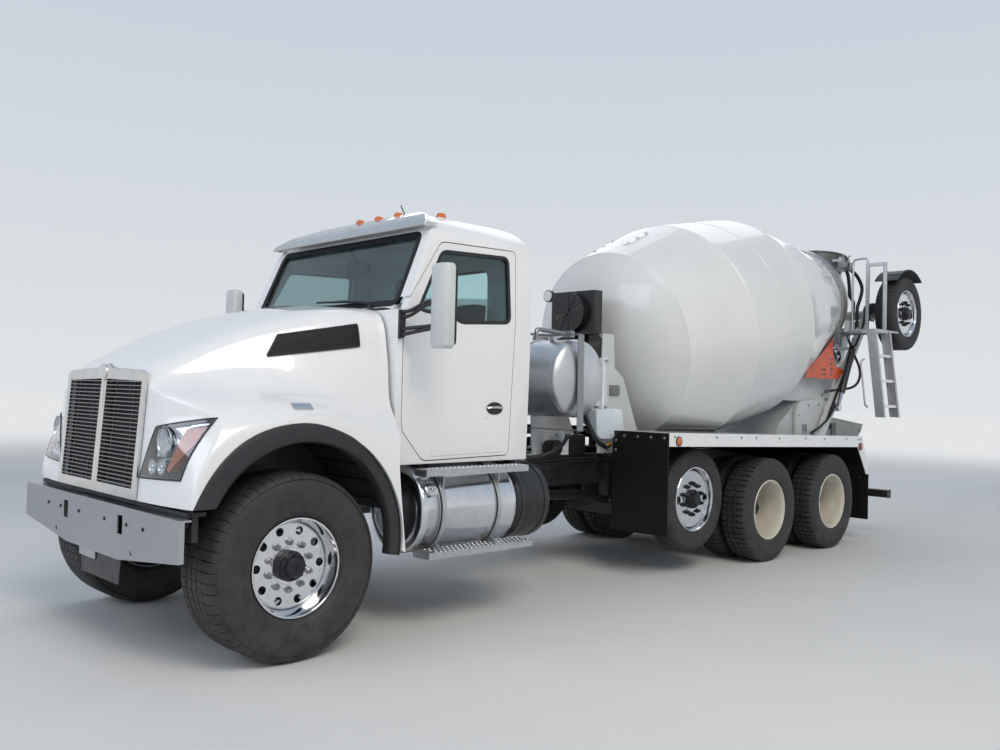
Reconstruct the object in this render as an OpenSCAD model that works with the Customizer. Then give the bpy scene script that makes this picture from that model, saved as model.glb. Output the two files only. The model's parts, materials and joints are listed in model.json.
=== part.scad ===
// Concrete mixer truck: conventional cab, four axles on the road, one lifted rear booster axle.
// Millimetres. Every piece is drawn with X measured forward from the front axle, Y to the left
// and Z up from the ground, and the whole is then moved so that its box is centred on the origin.

/* [Layout] */
// Distance of the front axle ahead of the model's middle
front_axle_x = 4400; // [4300:10:4500]
// Front axle to the first drive axle
wheelbase = 5440; // [5300:10:5600]
// Distance between the two drive axles
tandem_spacing = 1340; // [1300:10:1380]
// Distance of the lifted pusher axle ahead of the first drive axle
pusher_ahead = 1140; // [1120:10:1190]
// Height of the lifted pusher axle
pusher_z = 682; // [640:1:700]

/* [Tyres and wheels] */
// Radius of the wide steering tyres
front_tyre_r = 560; // [550:1:565]
// Width of the steering tyres
front_tyre_w = 420; // [400:5:425]
// Radius of the drive tyres
rear_tyre_r = 517; // [505:1:520]
// Width of one drive tyre
rear_tyre_w = 275; // [260:1:285]
// Radius of the pusher and booster tyres
small_tyre_r = 472; // [460:1:478]
// Width of the pusher and booster tyres
small_tyre_w = 252; // [240:1:256]
// Bead seat radius of every rim
bead_r = 285; // [280:1:287]
// Distance of the steering wheel's middle from the centre line
front_wheel_y = 1005; // [1000:1:1015]
// Distance of the dual pair's middle plane from the centre line
dual_y = 910; // [905:1:915]
// Distance between the two tyres of a dual pair
dual_spacing = 330; // [325:1:340]
// Distance of the pusher and booster wheel's middle from the centre line
small_wheel_y = 958; // [950:1:965]
// Holes in a disc
hand_holes = 10; // [8:1:12]
// Radius of a hand hole
hand_hole_r = 26; // [20:1:30]
// Wheel nuts
wheel_nuts = 10; // [8:1:10]
// Pitch circle of the wheel nuts
nut_circle = 285.75; // [280:0.25:290]

/* [Frame] */
// Distance between the outer faces of the two rails
rail_span = 864; // [850:1:870]
// Top of the rails above the ground
rail_top = 1085; // [1080:1:1090]
// Height of a rail
rail_h = 270; // [255:1:280]
// Width of a rail's flange
rail_flange = 89; // [80:1:95]
// Thickness of the rail's steel
rail_t = 11; // [9:0.5:13]
// Front end of the rails
rail_front = 560; // [540:5:600]
// Rear end of the rails behind the front axle
rail_rear = 7900; // [7860:5:7940]

/* [Hood] */
// Front of the grille
nose_x = 735; // [725:1:740]
// Rear edge of the hood behind the front axle
hood_rear = 780; // [775:1:785]
// Height of the hood's crown over the grille
nose_z = 1750; // [1740:1:1760]
// Height of the hood's crown at the cowl
cowl_z = 2215; // [2200:1:2230]
// Lower front edge of the hood
hood_z = 948; // [946:1:955]
// Half width over the fenders
fender_y = 1220; // [1215:1:1225]
// Radius of the opening over the wheel, outside the flare
arch_r = 740; // [730:1:745]
// Wall of the hood
hood_t = 24; // [20:1:30]

/* [Cab] */
// Half width of the cab
cab_y = 1050; // [1045:1:1055]
// Wall of the cab and of the doors
cab_t = 60; // [50:1:65]
// Gap round a door
door_gap = 7; // [6:0.5:10]
// Thickness of the glass
glass_t = 6; // [5:0.5:8]

/* [Mixer drum] */
// Tilt of the drum's axis
drum_tilt = 11.43; // [11:0.01:12]
// Where the axis leaves the front head, behind the front axle
drum_x = 4355; // [4340:1:4370]
// Height of the axis there
drum_z = 2119; // [2110:1:2130]
// Radius of the front head
head_r = 950; // [930:1:960]
// Radius of the belly at its front
belly_r = 1167; // [1150:1:1170]
// Length of the front cone
front_cone = 873; // [860:1:890]
// Length of the belly
belly_len = 1167; // [1150:1:1180]
// Length of the rear cone up to the mouth
rear_cone = 2110; // [2100:1:2130]
// Radius of the mouth
mouth_r = 560; // [550:1:570]
// Steel of the drum
drum_t = 10; // [8:1:14]
// Radius of the roller ring
ring_r = 705; // [700:1:712]
// Radius of a drum roller
roller_r = 125; // [115:1:130]

/* [Chute and booster] */
// Outer radius of the chute's trough
chute_r = 270; // [250:1:280]
// Length of the main chute
chute_len = 1150; // [1000:10:1180]
// Length of the booster's arms
arm_len = 2070; // [2060:5:2090]
// Angle of the raised arms above the rear horizon
arm_angle = 51.5; // [51:0.1:52]

/* [Hidden] */
$fn = 96;
// Clearance between seated pieces and round a running pin
seat_gap = 0.3;
pin_gap = 0.3;

// Shared places
rail_y = rail_span / 2;
drive1_x = -wheelbase;
drive2_x = -wheelbase - tandem_spacing;
pusher_x = drive1_x + pusher_ahead;
front_axle_z = front_tyre_r;
rear_axle_z = rear_tyre_r;
spindle_r = 42;

// Places an outline drawn in X and Z between two values of Y
module side_plate(outline, y0, y1) {
  translate([0, max(y0, y1), 0]) rotate([90, 0, 0])
    linear_extrude(height = abs(y1 - y0)) polygon(outline);
}

// A bar between two corners
module bar(low, high) {
  translate(low) cube([for (i = [0:2]) high[i] - low[i]]);
}

// A round bar between two points
module rod(a, b, r) {
  d = b - a;
  len = norm(d);
  translate(a) rotate([0, acos(d[2] / len), atan2(d[1], d[0])]) cylinder(r = r, h = len, $fn = 32);
}

// A square tube between two points that lie in one plane of constant Y
module strut(a, b, depth, y0, y1) {
  d = b - a;
  n = [-d[1], d[0]] / norm(d) * depth / 2;
  side_plate([a - n, b - n, b + n, a + n], y0, y1);
}

module both_sides() {
  children();
  mirror([0, 1, 0]) children();
}

module from_front_axle() {
  translate([front_axle_x, 0, 0]) children();
}

// A revolved outline of [radius, distance along Y], turned about the Y axis
module turned(outline) {
  rotate([-90, 0, 0]) rotate_extrude() polygon(outline);
}

// Tyres and wheels are drawn on the left with the axle at the origin, then mirrored for the right

// Cross-section of a tyre: bead, side wall, shoulder and crown
function tyre_outline(r, w) =
  let (h = r - bead_r, half = w / 2, b = 0.40 * w,
       side = [[0, b], [16 / h, b], [0.15, 0.46 * w], [0.32, 0.49 * w], [0.50, half], [0.70, 0.49 * w],
               [0.88, 0.455 * w], [0.96, 0.43 * w], [1.00, 0.37 * w]])
  concat([for (p = side) [bead_r + seat_gap + p[0] * (h - seat_gap), p[1]]],
         [for (i = [len(side) - 1:-1:0]) [bead_r + seat_gap + side[i][0] * (h - seat_gap), -side[i][1]]]);

module tyre(r, w, y) {
  translate([0, y, 0]) turned(tyre_outline(r, w));
}

// Rim with its two lips, centred on y, for a tyre of width w
module rim(w, y) {
  half = 0.40 * w;
  lip_r = bead_r + 14;
  lip = 14;
  wall = 13;
  translate([0, y, 0]) turned([
    [bead_r - wall, -half - lip], [lip_r, -half - lip], [lip_r, -half - 1], [bead_r, -half - 1],
    [bead_r, half + 1], [lip_r, half + 1], [lip_r, half + lip], [bead_r - wall, half + lip]]);
}

// Disc with its hand holes and wheel nuts, from y inwards by t, nuts pointing out
module disc(y, t, holes) {
  hole_circle = 430;
  difference() {
    translate([0, y, 0]) rotate([90, 0, 0]) cylinder(r = bead_r - 12, h = t);
    for (i = [0:holes - 1]) rotate([0, i * 360 / holes, 0]) translate([hole_circle / 2, y + 5, 0])
      rotate([90, 0, 0]) cylinder(r = hand_hole_r, h = t + 10, $fn = 24);
  }
  for (i = [0:wheel_nuts - 1]) rotate([0, (i + 0.5) * 360 / wheel_nuts, 0])
    translate([nut_circle / 2, y + 28, 0]) rotate([90, 0, 0]) cylinder(r = 17, h = 30, $fn = 6);
}

// Hub outside the disc, brake drum inside it, bored for the spindle
module hub_and_brake(disc_y, disc_t, hub_out, hub_r, brake_in) {
  brake_r = 208;
  difference() {
    union() {
      translate([0, disc_y + hub_out, 0]) rotate([90, 0, 0]) cylinder(r1 = hub_r - 12, r2 = hub_r, h = hub_out);
      translate([0, disc_y - disc_t, 0]) rotate([90, 0, 0]) cylinder(r = brake_r, h = disc_y - disc_t - brake_in);
      translate([0, disc_y, 0]) rotate([90, 0, 0]) cylinder(r = hub_r, h = disc_t);
    }
    translate([0, disc_y - disc_t, 0]) rotate([90, 0, 0])
      cylinder(r = spindle_r + pin_gap, h = disc_y - disc_t - brake_in + 1);
  }
}

front_disc_y = front_wheel_y + 85;
front_brake_in = 962;
module front_wheel() {
  rim(front_tyre_w, front_wheel_y);
  disc(front_disc_y, 24, hand_holes);
  hub_and_brake(front_disc_y, 24, 88, 92, front_brake_in);
}

small_disc_y = small_wheel_y + 78;
small_brake_in = 850;
module small_wheel() {
  rim(small_tyre_w, small_wheel_y);
  disc(small_disc_y, 24, hand_holes);
  hub_and_brake(small_disc_y, 24, 62, 88, small_brake_in);
}

dual_brake_in = 690;
module dual_wheels() {
  rim(rear_tyre_w, dual_y + dual_spacing / 2);
  rim(rear_tyre_w, dual_y - dual_spacing / 2);
  bell(dual_y, rear_tyre_w * 0.40 - dual_spacing / 2);
  disc(dual_y + 12, 24, hand_holes);
  hub_and_brake(dual_y + 12, 24, 120, 98, dual_brake_in);
}

// Ring that joins the two rims of a dual pair at the mating discs
module bell(y, reach) {
  translate([0, y, 0]) turned([[bead_r - 13, reach - 16], [bead_r, reach - 16], [bead_r, 14 - reach], [bead_r - 13, 14 - reach]]);
}

// Where each wheel stands: axle place and height
module at_axle(x, z) { from_front_axle() translate([x, 0, z]) children(); }

booster_pivot = [-7750, 1150];
booster_axle = booster_pivot + arm_len * [-cos(arm_angle), sin(arm_angle)];

module front_left() { at_axle(0, front_axle_z) children(); }
module front_right() { at_axle(0, front_axle_z) mirror([0, 1, 0]) children(); }
module pusher_left() { at_axle(pusher_x, pusher_z) children(); }
module pusher_right() { at_axle(pusher_x, pusher_z) mirror([0, 1, 0]) children(); }
module drive1_left() { at_axle(drive1_x, rear_axle_z) children(); }
module drive1_right() { at_axle(drive1_x, rear_axle_z) mirror([0, 1, 0]) children(); }
module drive2_left() { at_axle(drive2_x, rear_axle_z) children(); }
module drive2_right() { at_axle(drive2_x, rear_axle_z) mirror([0, 1, 0]) children(); }
module booster_left() { at_axle(booster_axle[0], booster_axle[1]) children(); }
module booster_right() { at_axle(booster_axle[0], booster_axle[1]) mirror([0, 1, 0]) children(); }

module front_tyre() { color([0.08, 0.08, 0.08]) tyre(front_tyre_r, front_tyre_w, front_wheel_y); }
module small_tyre() { color([0.08, 0.08, 0.08]) tyre(small_tyre_r, small_tyre_w, small_wheel_y); }
module dual_tyres() {
  color([0.08, 0.08, 0.08]) for (side = [-1, 1]) tyre(rear_tyre_r, rear_tyre_w, dual_y + side * dual_spacing / 2);
}

// Frame, axles and what hangs on the frame

// Front and rear ends of the fender strip's straight top, and the lower end of its sloping tail
fender_front = pusher_x + 640;
fender_rear = drive2_x - 670;
fender_tail = fender_rear - 170;
between_drives = (drive1_x + drive2_x) / 2;
behind_pusher = (pusher_x + drive1_x) / 2;

// Places of the crossmembers behind the front axle
crossmembers = [1765, 2300, 3300, -behind_pusher, -between_drives, -fender_rear - 50];

module frame() {
  color([0.07, 0.07, 0.08]) from_front_axle() {
    rail_low = rail_top - rail_h;
    both_sides() difference() {
      bar([-rail_rear, rail_y - rail_flange, rail_low], [rail_front, rail_y, rail_top]);
      bar([-rail_rear - 1, rail_y - rail_flange - 1, rail_low + rail_t],
          [rail_front + 1, rail_y - rail_t, rail_top - rail_t]);
    }
    for (x = crossmembers) difference() {
      bar([-x - 45, -rail_y + rail_t, rail_low + rail_t], [-x + 45, rail_y - rail_t, rail_top - rail_t]);
      bar([-x - 60, -rail_y + rail_flange + 20, rail_low + 40], [-x + 37, rail_y - rail_flange - 20, rail_top - 40]);
    }
    // Front end beam behind the bumper and the tail beam with the chute's pin
    bar([rail_front, -rail_y - 20, rail_low + 20], [rail_front + 60, rail_y + 20, rail_top - 110]);
    bar([-rail_rear - 30, -rail_y, rail_low], [-rail_rear, rail_y, rail_top - 20]);
    side_plate([[-rail_rear - 30, 820], [chute_x - 80, 900], [chute_x - 80, 945], [-rail_rear - 30, 1000]], -70, 70);
    translate([chute_x, 0, 900]) cylinder(r = 80, h = 60);
    translate([chute_x, 0, 900]) cylinder(r = chute_pin_r, h = 150);
  }
}

bumper_x = 757;
bumper_z0 = 580;
bumper_z1 = 900;
module bumper() {
  outline = [[-1230, 670], [-1190, 655], [-400, bumper_z0], [400, bumper_z0], [1190, 655], [1230, 670],
             [1230, bumper_z1], [-1230, bumper_z1]];
  thick = 10;
  color([0.75, 0.76, 0.78]) from_front_axle() {
    difference() {
      translate([bumper_x, 0, 0]) rotate([90, 0, 90]) translate([0, 0, -thick]) linear_extrude(height = thick) polygon(outline);
      for (side = [-1, 1]) {
        translate([bumper_x - thick - 1, side * 440, 760]) rotate([0, 90, 0]) cylinder(r = 22, h = thick + 2);
        translate([bumper_x - thick - 1, side * 440, 820]) rotate([0, 90, 0]) cylinder(r = 22, h = thick + 2);
        bar([bumper_x - thick - 1, side * 440 - 22, 760], [bumper_x + 1, side * 440 + 22, 820]);
        translate([bumper_x - thick - 1, side * 612, 644]) rotate([0, 90, 0]) cylinder(r = 15, h = thick + 2, $fn = 32);
      }
    }
    // Top and bottom returns, and the two brackets that reach the frame
    bar([bumper_x - 70, -1225, bumper_z1 - 10], [bumper_x - thick, 1225, bumper_z1]);
    bar([bumper_x - 60, -400, bumper_z0], [bumper_x - thick, 400, bumper_z0 + 10]);
    both_sides() bar([rail_front + 60, 300, 690], [bumper_x - thick, 330, bumper_z1 - 10]);
    both_sides() bar([bumper_x - 70, 1190, 700], [bumper_x - thick, 1200, bumper_z1 - 10]);
  }
}

// Pinion housing ahead of the first drive axle
pinion_reach = 240;
pinion_z = rear_axle_z + 60;
module engine() {
  color([0.25, 0.26, 0.27]) from_front_axle() {
    bar([-720, -330, rail_top - 190], [250, 330, 1620]);
    // Radiator and its fan shroud behind the grille
    bar([430, -480, rail_top], [560, 480, 1640]);
    bar([430, -330, 960], [560, 330, rail_top]);
    bar([250, -300, 1050], [430, 300, 1550]);
    // Mountings onto the rails, gearbox and drive shaft
    both_sides() bar([-300, 330, rail_top], [-180, rail_y - rail_t, rail_top + 50]);
    translate([-720, 0, 900]) rotate([0, -90, 0]) cylinder(r1 = 215, r2 = 180, h = 900);
    rod([-1600, 0, 765], [drive1_x + pinion_reach + 4, 0, pinion_z], 48);
  }
}

// Leaves of the front springs
module spring(x, y, z, half, leaves) {
  for (i = [0:leaves - 1]) {
    reach = half * (1 - 0.22 * i);
    rise = 105 * pow(reach / half, 2);
    side_plate([[x - reach, z - 16 * i + rise], [x, z - 16 * i], [x + reach, z - 16 * i + rise],
                [x + reach, z - 16 * i + rise - 13], [x, z - 16 * i - 16], [x - reach, z - 16 * i + rise - 13]],
               y - 40, y + 40);
  }
}

king_y = 880;
king_r = 22;
eye_r = 48;
module front_axle() {
  color([0.09, 0.09, 0.1]) from_front_axle() {
    drop = 470;
    half = [[0, drop - 55], [560, drop - 55], [740, front_axle_z - 50], [king_y - 40, front_axle_z - 50],
            [king_y - 40, front_axle_z + 50], [720, front_axle_z + 50], [540, drop + 45], [0, drop + 45]];
    difference() {
      union() {
        translate([45, 0, 0]) rotate([90, 0, -90]) linear_extrude(height = 90) union() {
          polygon(half);
          mirror([1, 0]) polygon(half);
        }
        both_sides() translate([0, king_y, front_axle_z - 50]) cylinder(r = eye_r, h = 100);
      }
      both_sides() translate([0, king_y, front_axle_z - 51]) cylinder(r = king_r + pin_gap, h = 102);
    }
    both_sides() {
      spring(0, 385, 630, 700, 3);
      bar([-60, 345, drop + 45], [60, 425, 582]);
      for (x = [-690, 690]) bar([x - 30, 350, 725], [x + 30, 420, rail_top - rail_h]);
    }
  }
}

module knuckle() {
  color([0.12, 0.12, 0.13]) from_front_axle() translate([0, 0, front_axle_z]) {
    translate([0, king_y, -85]) cylinder(r = king_r, h = 170);
    for (z = [-85, 53]) {
      translate([0, king_y, z]) cylinder(r = eye_r, h = 32);
      bar([-eye_r, king_y, z], [eye_r, 940, z + 32]);
    }
    translate([0, 955, 0]) rotate([90, 0, 0]) cylinder(r = 190, h = 20);
    translate([0, front_disc_y - 30, 0]) rotate([90, 0, 0]) cylinder(r = spindle_r, h = front_disc_y - 30 - 950);
    // Steering arm, kept clear of the axle beam
    bar([-190, king_y - 90, -85], [-30, king_y, -57]);
  }
}

// Housing, spindles and suspension of one drive axle
module drive_axle(x) {
  translate([x, 0, rear_axle_z]) {
    rotate([90, 0, 0]) translate([0, 0, -600]) cylinder(r = 70, h = 1200);
    sphere(r = 215, $fn = 48);
    rotate([90, 0, 0]) translate([0, 0, -620]) cylinder(r = spindle_r + 12, h = 1240);
    for (s = [-1, 1]) translate([0, s * 746, 0]) rotate([90, 0, 0]) translate([0, 0, -146]) cylinder(r = spindle_r, h = 292);
    for (s = [-1, 1]) translate([0, s * 680, 0]) rotate([90, 0, 0]) translate([0, 0, -6]) cylinder(r = 190, h = 12);
  }
}

module rear_axles() {
  color([0.09, 0.09, 0.1]) from_front_axle() {
    for (x = [drive1_x, drive2_x]) drive_axle(x);
    // Walking beams between the axles, their saddles and the hangers up to the rails
    mid = (drive1_x + drive2_x) / 2;
    both_sides() {
      side_plate([[drive1_x + 90, rear_axle_z - 120], [drive1_x + 90, rear_axle_z - 55], [mid + 120, rear_axle_z + 20],
                  [mid - 120, rear_axle_z + 20], [drive2_x - 90, rear_axle_z - 55], [drive2_x - 90, rear_axle_z - 120]],
                 460, 545);
      side_plate([[mid - 230, rear_axle_z + 10], [mid + 230, rear_axle_z + 10], [mid + 120, rail_top - rail_h + 60],
                  [mid - 120, rail_top - rail_h + 60]], rail_y, rail_y + 90);
    }
    translate([drive1_x, 0, pinion_z]) rotate([0, 90, 0]) cylinder(r = 75, h = pinion_reach);
    rod([drive1_x - 150, 0, pinion_z], [drive2_x + 150, 0, rear_axle_z + 40], 48);
  }
}

module pusher_axle() {
  color([0.09, 0.09, 0.1]) from_front_axle() {
    // Beam dropped in the middle to clear the drive shaft
    drop = pusher_z - 190;
    half = [[0, drop - 55], [400, drop - 55], [560, pusher_z - 55], [800, pusher_z - 55],
            [800, pusher_z + 55], [520, pusher_z + 55], [360, drop + 55], [0, drop + 55]];
    translate([pusher_x + 55, 0, 0]) rotate([90, 0, -90]) linear_extrude(height = 110) union() {
      polygon(half);
      mirror([1, 0]) polygon(half);
    }
    both_sides() {
      translate([pusher_x, small_disc_y - 30, pusher_z]) rotate([90, 0, 0]) cylinder(r = spindle_r, h = small_disc_y - 30 - 780);
      translate([pusher_x, 844, pusher_z]) rotate([90, 0, 0]) cylinder(r = 190, h = 12);
      // Trailing arm from its hanger on the rail back to the axle
      strut([pusher_x + 560, 760], [pusher_x, pusher_z], 90, 455, 530);
      side_plate([[pusher_x + 640, rail_top - 82], [pusher_x + 480, rail_top - 82], [pusher_x + 510, 700], [pusher_x + 610, 700]],
                 rail_y, rail_y + 98);
    }
  }
}

tank_r = 304;
tank_y = 880;
tank_z = 810;
tank_front = -940;
tank_rear = -1860;
tank_straps = [-1130, -1650];
strap_t = 6;
module fuel_tank() {
  color([0.8, 0.81, 0.82]) from_front_axle() {
    end = 45;
    translate([tank_rear, tank_y, tank_z]) rotate([0, 90, 0]) rotate_extrude()
      polygon([[0, 0], [tank_r - end, 0], [tank_r - 14, 14], [tank_r, end], [tank_r, tank_front - tank_rear - end],
               [tank_r - 14, tank_front - tank_rear - 14], [tank_r - end, tank_front - tank_rear], [0, tank_front - tank_rear]]);
    for (x = tank_straps) {
      translate([x - 30, tank_y, tank_z]) rotate([0, 90, 0]) difference() {
        cylinder(r = tank_r + strap_t, h = 60);
        translate([0, 0, -1]) cylinder(r = tank_r - 1, h = 62);
      }
      // Bracket from the rail under and behind the tank
      side_plate([[x - 30, tank_z - 160], [x + 30, tank_z - 160], [x + 30, tank_z + 150], [x - 30, tank_z + 150]],
                 rail_y, tank_y - 265);
    }
    // Filler neck on the outer side, between the steps
    translate([tank_front - 100, tank_y, tank_z]) rotate([-60, 0, 0]) cylinder(r = 55, h = tank_r + 25);
  }
}

step_y = 1215;
// Treads of the steps: rear end, front end, height, inner edge
treads = [[-1920, -950, 1055, 1088], [-1980, -990, 500, 1045]];
tread_h = 45;
box_low = 560;
box_high = 990;
box_y = 1180;
module side_steps() {
  color([0.78, 0.79, 0.8]) from_front_axle() {
    both_sides() for (p = treads) difference() {
      bar([p[0], p[3], p[2]], [p[1], step_y, p[2] + tread_h]);
      bar([p[0] + 15, p[3] + 15, p[2] - 1], [p[1] - 15, step_y - 15, p[2] + tread_h - 5]);
    }
    // Brackets that hug the tank's straps on the left, and stand on the box on the right
    for (x = tank_straps) {
      difference() {
        bar([x - 8, treads[1][3] - 40, treads[1][2]], [x + 8, step_y, treads[0][2] + 5]);
        translate([x - 9, tank_y, tank_z]) rotate([0, 90, 0]) cylinder(r = tank_r + strap_t + seat_gap, h = 18);
      }
      bar([x - 8, -step_y, treads[1][2]], [x + 8, -treads[1][3], box_low - seat_gap]);
      bar([x - 8, -step_y, box_high + seat_gap], [x + 8, -treads[0][3], treads[0][2] + 5]);
    }
  }
}

module chassis_boxes() {
  color([0.06, 0.06, 0.07]) from_front_axle() {
    // Fluid tank behind the fuel tank on the left
    translate([-2240, 870, 810]) rotate([0, 90, 0]) rotate_extrude()
      polygon([[0, 0], [265, 0], [290, 25], [290, 340], [265, 365], [0, 365]]);
    bar([-2100, rail_y, 740], [-2020, 600, 880]);
    translate([-2060, 870, 1080]) cylinder(r = 45, h = 38);
    // Exhaust treatment housing and battery box on the right, under the steps
    bar([-1880, -box_y, box_low], [-1010, -560, box_high]);
    for (x = [-1150, -1700]) bar([x - 40, -560, 820], [x + 40, -rail_y, 960]);
    translate([-2240, -870, 800]) rotate([0, 90, 0]) cylinder(r = 200, h = 340);
    bar([-2110, -700, 740], [-2030, -rail_y, 860]);
    // Air tanks between the rails
    air_tank_x = -crossmembers[2] + 45 + seat_gap;
    for (y = [-180, 180]) translate([air_tank_x, y, 940]) rotate([0, 90, 0]) cylinder(r = 110, h = 700);
  }
}

fender_inner = 665;
fender_top = [1312, 1222];
tail_z = 780;
brackets = [fender_front - 40, behind_pusher + 25, between_drives, fender_rear + 50];
function fender_z(x) = fender_top[0] + (fender_top[1] - fender_top[0]) * (x - fender_front) / (fender_rear - fender_front);
module fenders() {
  skirt = 120;
  plate = 6;
  color([0.93, 0.93, 0.92]) from_front_axle() both_sides() {
    z0 = fender_z(fender_front);
    z1 = fender_z(fender_rear);
    side_plate([[fender_front, z0 - plate], [fender_front, z0], [fender_rear, z1], [fender_rear, z1 - plate]],
               fender_inner, fender_y);
    side_plate([[fender_front, z0 - skirt], [fender_front, z0], [fender_rear, z1], [fender_tail, tail_z],
                [fender_tail + 60, tail_z], [fender_rear + 120, z1 - skirt]], fender_y, fender_y + plate);
    side_plate([[fender_rear, z1 - plate], [fender_rear, z1], [fender_tail, tail_z], [fender_tail + 8, tail_z]],
               fender_inner, fender_y);
    side_plate([[fender_front - 6, z0 - skirt], [fender_front - 6, z0], [fender_front, z0], [fender_front, z0 - skirt]],
               fender_inner, fender_y);
    for (x = brackets) bar([x - 28, rail_y, 1010], [x + 28, fender_inner, 1080]);
    for (x = brackets) bar([x - 28, fender_inner - 60, 1080], [x + 28, fender_inner, fender_z(x) - plate]);
    for (x = brackets) bar([x - 28, fender_inner, fender_z(x) - 60], [x + 28, fender_y, fender_z(x + 28) - plate - 6]);
  }
}

module mud_flaps() {
  color([0.03, 0.03, 0.03]) from_front_axle() both_sides() {
    bar([fender_front, 605, 405], [fender_front + 10, fender_y + 5, 1300]);
    bar([fender_tail - 10, 605, 250], [fender_tail, fender_y + 5, tail_z - seat_gap]);
  }
}

// Hood: one lofted shell with the grille's mouth, both fenders and their arches

// Half cross-sections from the crown down to the fender's lower edge.
// Columns: Y at the nose, halfway and at the cowl; Z at the same three; how far the row runs past the rear edge
hood_rows = [
  [0,    0,    0,    nose_z,       cowl_z - 110, cowl_z,       0],
  [430,  500,  560,  nose_z - 22,  cowl_z - 130, cowl_z - 25,  0],
  [600,  790,  880,  nose_z - 70,  cowl_z - 200, cowl_z - 85,  0],
  [655,  870,  975,  nose_z - 135, cowl_z - 415, cowl_z - 365, 0],
  [860,  980,  1010, nose_z - 190, cowl_z - 595, cowl_z - 655, 0],
  [1040, 1120, 1090, nose_z - 250, cowl_z - 685, cowl_z - 795, 8],
  [1150, 1195, 1180, nose_z - 350, cowl_z - 745, cowl_z - 875, 95],
  [fender_y - 22, fender_y, fender_y, nose_z - 500, cowl_z - 825, cowl_z - 975, 95],
  [fender_y - 12, fender_y, fender_y, hood_z, 850, 575, 95]
];
hood_stations = [0, 0.05, 0.14, 0.27, 0.42, 0.58, 0.74, 0.88, 1];
nose_columns = 14;
arch_x = -20;
arch_z = 660;

// A smooth curve through three values at 0, 0.5 and 1
function through(a, b, c, t) = a * (1 - t) * (1 - 2 * t) + 4 * b * t * (1 - t) + c * t * (2 * t - 1);
function clamped(v) = min(max(v, 0), 1);

// The nose leans back a little, and sweeps back further outboard and higher up
function nose_at(y, z) =
  let (sweep = 200 * pow(max(0, (abs(y) - 640) / 460), 2), lean = 0.2 + 0.8 * pow(clamped((z - 1000) / 440), 2))
  nose_x - 0.07 * (z - hood_z) - sweep * lean;

// Point of row k at station t, the skin moved inwards by d, side +1 left or -1 right
function hood_point(k, t, d, side, open) =
  let (r = hood_rows[k], y = through(r[0], r[1], r[2], t), z = through(r[3], r[4], r[5], t),
       low = k == len(hood_rows) - 1 ? open : 0,
       yd = max(0, y - d * (k == 0 ? 0 : 1)), zd = z - (k > 6 ? 0 : d) - low,
       rear = -hood_rear - r[6] - (d > 0 ? 40 : 0))
  [(nose_at(y, z) - d) * (1 - t) + rear * t, side * yd, zd];

module hood_form(d, open = 0) {
  rows = len(hood_rows) - 1;
  ring = 2 * rows + 1;
  n = len(hood_stations);
  loops = [for (t = hood_stations) for (j = [0:ring - 1])
             hood_point(abs(j - rows), t, d, j <= rows ? 1 : -1, open)];
  // Inner points of the nose, row by row from the crown's first pair down
  inner = [for (k = [1:rows]) for (m = [1:nose_columns - 1])
             let (p = hood_point(k, 0, d, 1, open), y = p[1] * (1 - 2 * m / nose_columns))
             [nose_at(y * hood_rows[k][0] / max(1, p[1]), hood_rows[k][3]) - d, y, p[2]]];
  base = n * ring;
  function nose_id(k, m) = k == 0 ? rows : m == 0 ? rows - k : m == nose_columns ? rows + k
                                         : base + (k - 1) * (nose_columns - 1) + m - 1;
  skin = [for (s = [0:n - 2]) for (j = [0:ring - 1])
            let (a = s * ring + j, b = s * ring + (j + 1) % ring, c = a + ring, e = b + ring)
            each [[a, b, e], [a, e, c]]];
  nose = [for (k = [0:rows - 1]) for (m = [0:nose_columns - 1])
            each concat(k == 0 ? [] : [[nose_id(k, m), nose_id(k + 1, m), nose_id(k, m + 1)]],
                        [[nose_id(k, m + 1), nose_id(k + 1, m), nose_id(k + 1, m + 1)]])];
  // Flat floor of the nose, up to the chord between its two lowest corners
  sill = [concat([nose_id(rows, nose_columns)], [for (m = [nose_columns - 1:-1:0]) nose_id(rows, m)])];
  last = (n - 1) * ring;
  rear = [for (k = [0:rows - 1])
            each concat(k == 0 ? [] : [[last + rows - k, last + rows + k, last + rows - k - 1]],
                        [[last + rows + k, last + rows + k + 1, last + rows - k - 1]])];
  polyhedron(points = concat(loops, inner), faces = concat(skin, nose, sill, rear));
}

// Corner points in Y and Z of a headlamp: inner low, outer low, outer high, inner high
lamp_corners = [[640, 1086], [1070, 1100], [1104, 1443], [770, 1380]];

// A patch that follows the nose, grown outwards by g, between two distances ahead of it
module lamp_patch(g, front, back) {
  n = 6;
  mid = [890, 1255];
  q = [for (c = lamp_corners) c + g * (c - mid) / norm(c - mid)];
  function at(u, v) = (q[0] * (1 - u) + q[1] * u) * (1 - v) + (q[3] * (1 - u) + q[2] * u) * v;
  function layer(dx) = [for (i = [0:n]) for (j = [0:n]) let (p = at(i / n, j / n)) [nose_at(p[0], p[1]) + dx, p[0], p[1]]];
  w = n + 1;
  top = w * w;
  grid = [for (i = [0:n - 1]) for (j = [0:n - 1]) i * w + j];
  polyhedron(
    points = concat(layer(front), layer(back)),
    faces = concat(
      [for (a = grid) each [[a, a + 1, a + w], [a + 1, a + w + 1, a + w]]],
      [for (a = grid) each [[top + a, top + a + w, top + a + 1], [top + a + 1, top + a + w, top + a + w + 1]]],
      [for (i = [0:n - 1]) each [
        [i * w, i * w + w, top + i * w], [i * w + w, top + i * w + w, top + i * w],
        [i * w + n, top + i * w + n, i * w + w + n], [i * w + w + n, top + i * w + n, top + i * w + w + n],
        [i, top + i, i + 1], [i + 1, top + i, top + i + 1],
        [n * w + i, n * w + i + 1, top + n * w + i], [n * w + i + 1, top + n * w + i + 1, top + n * w + i]]]));
}

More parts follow.
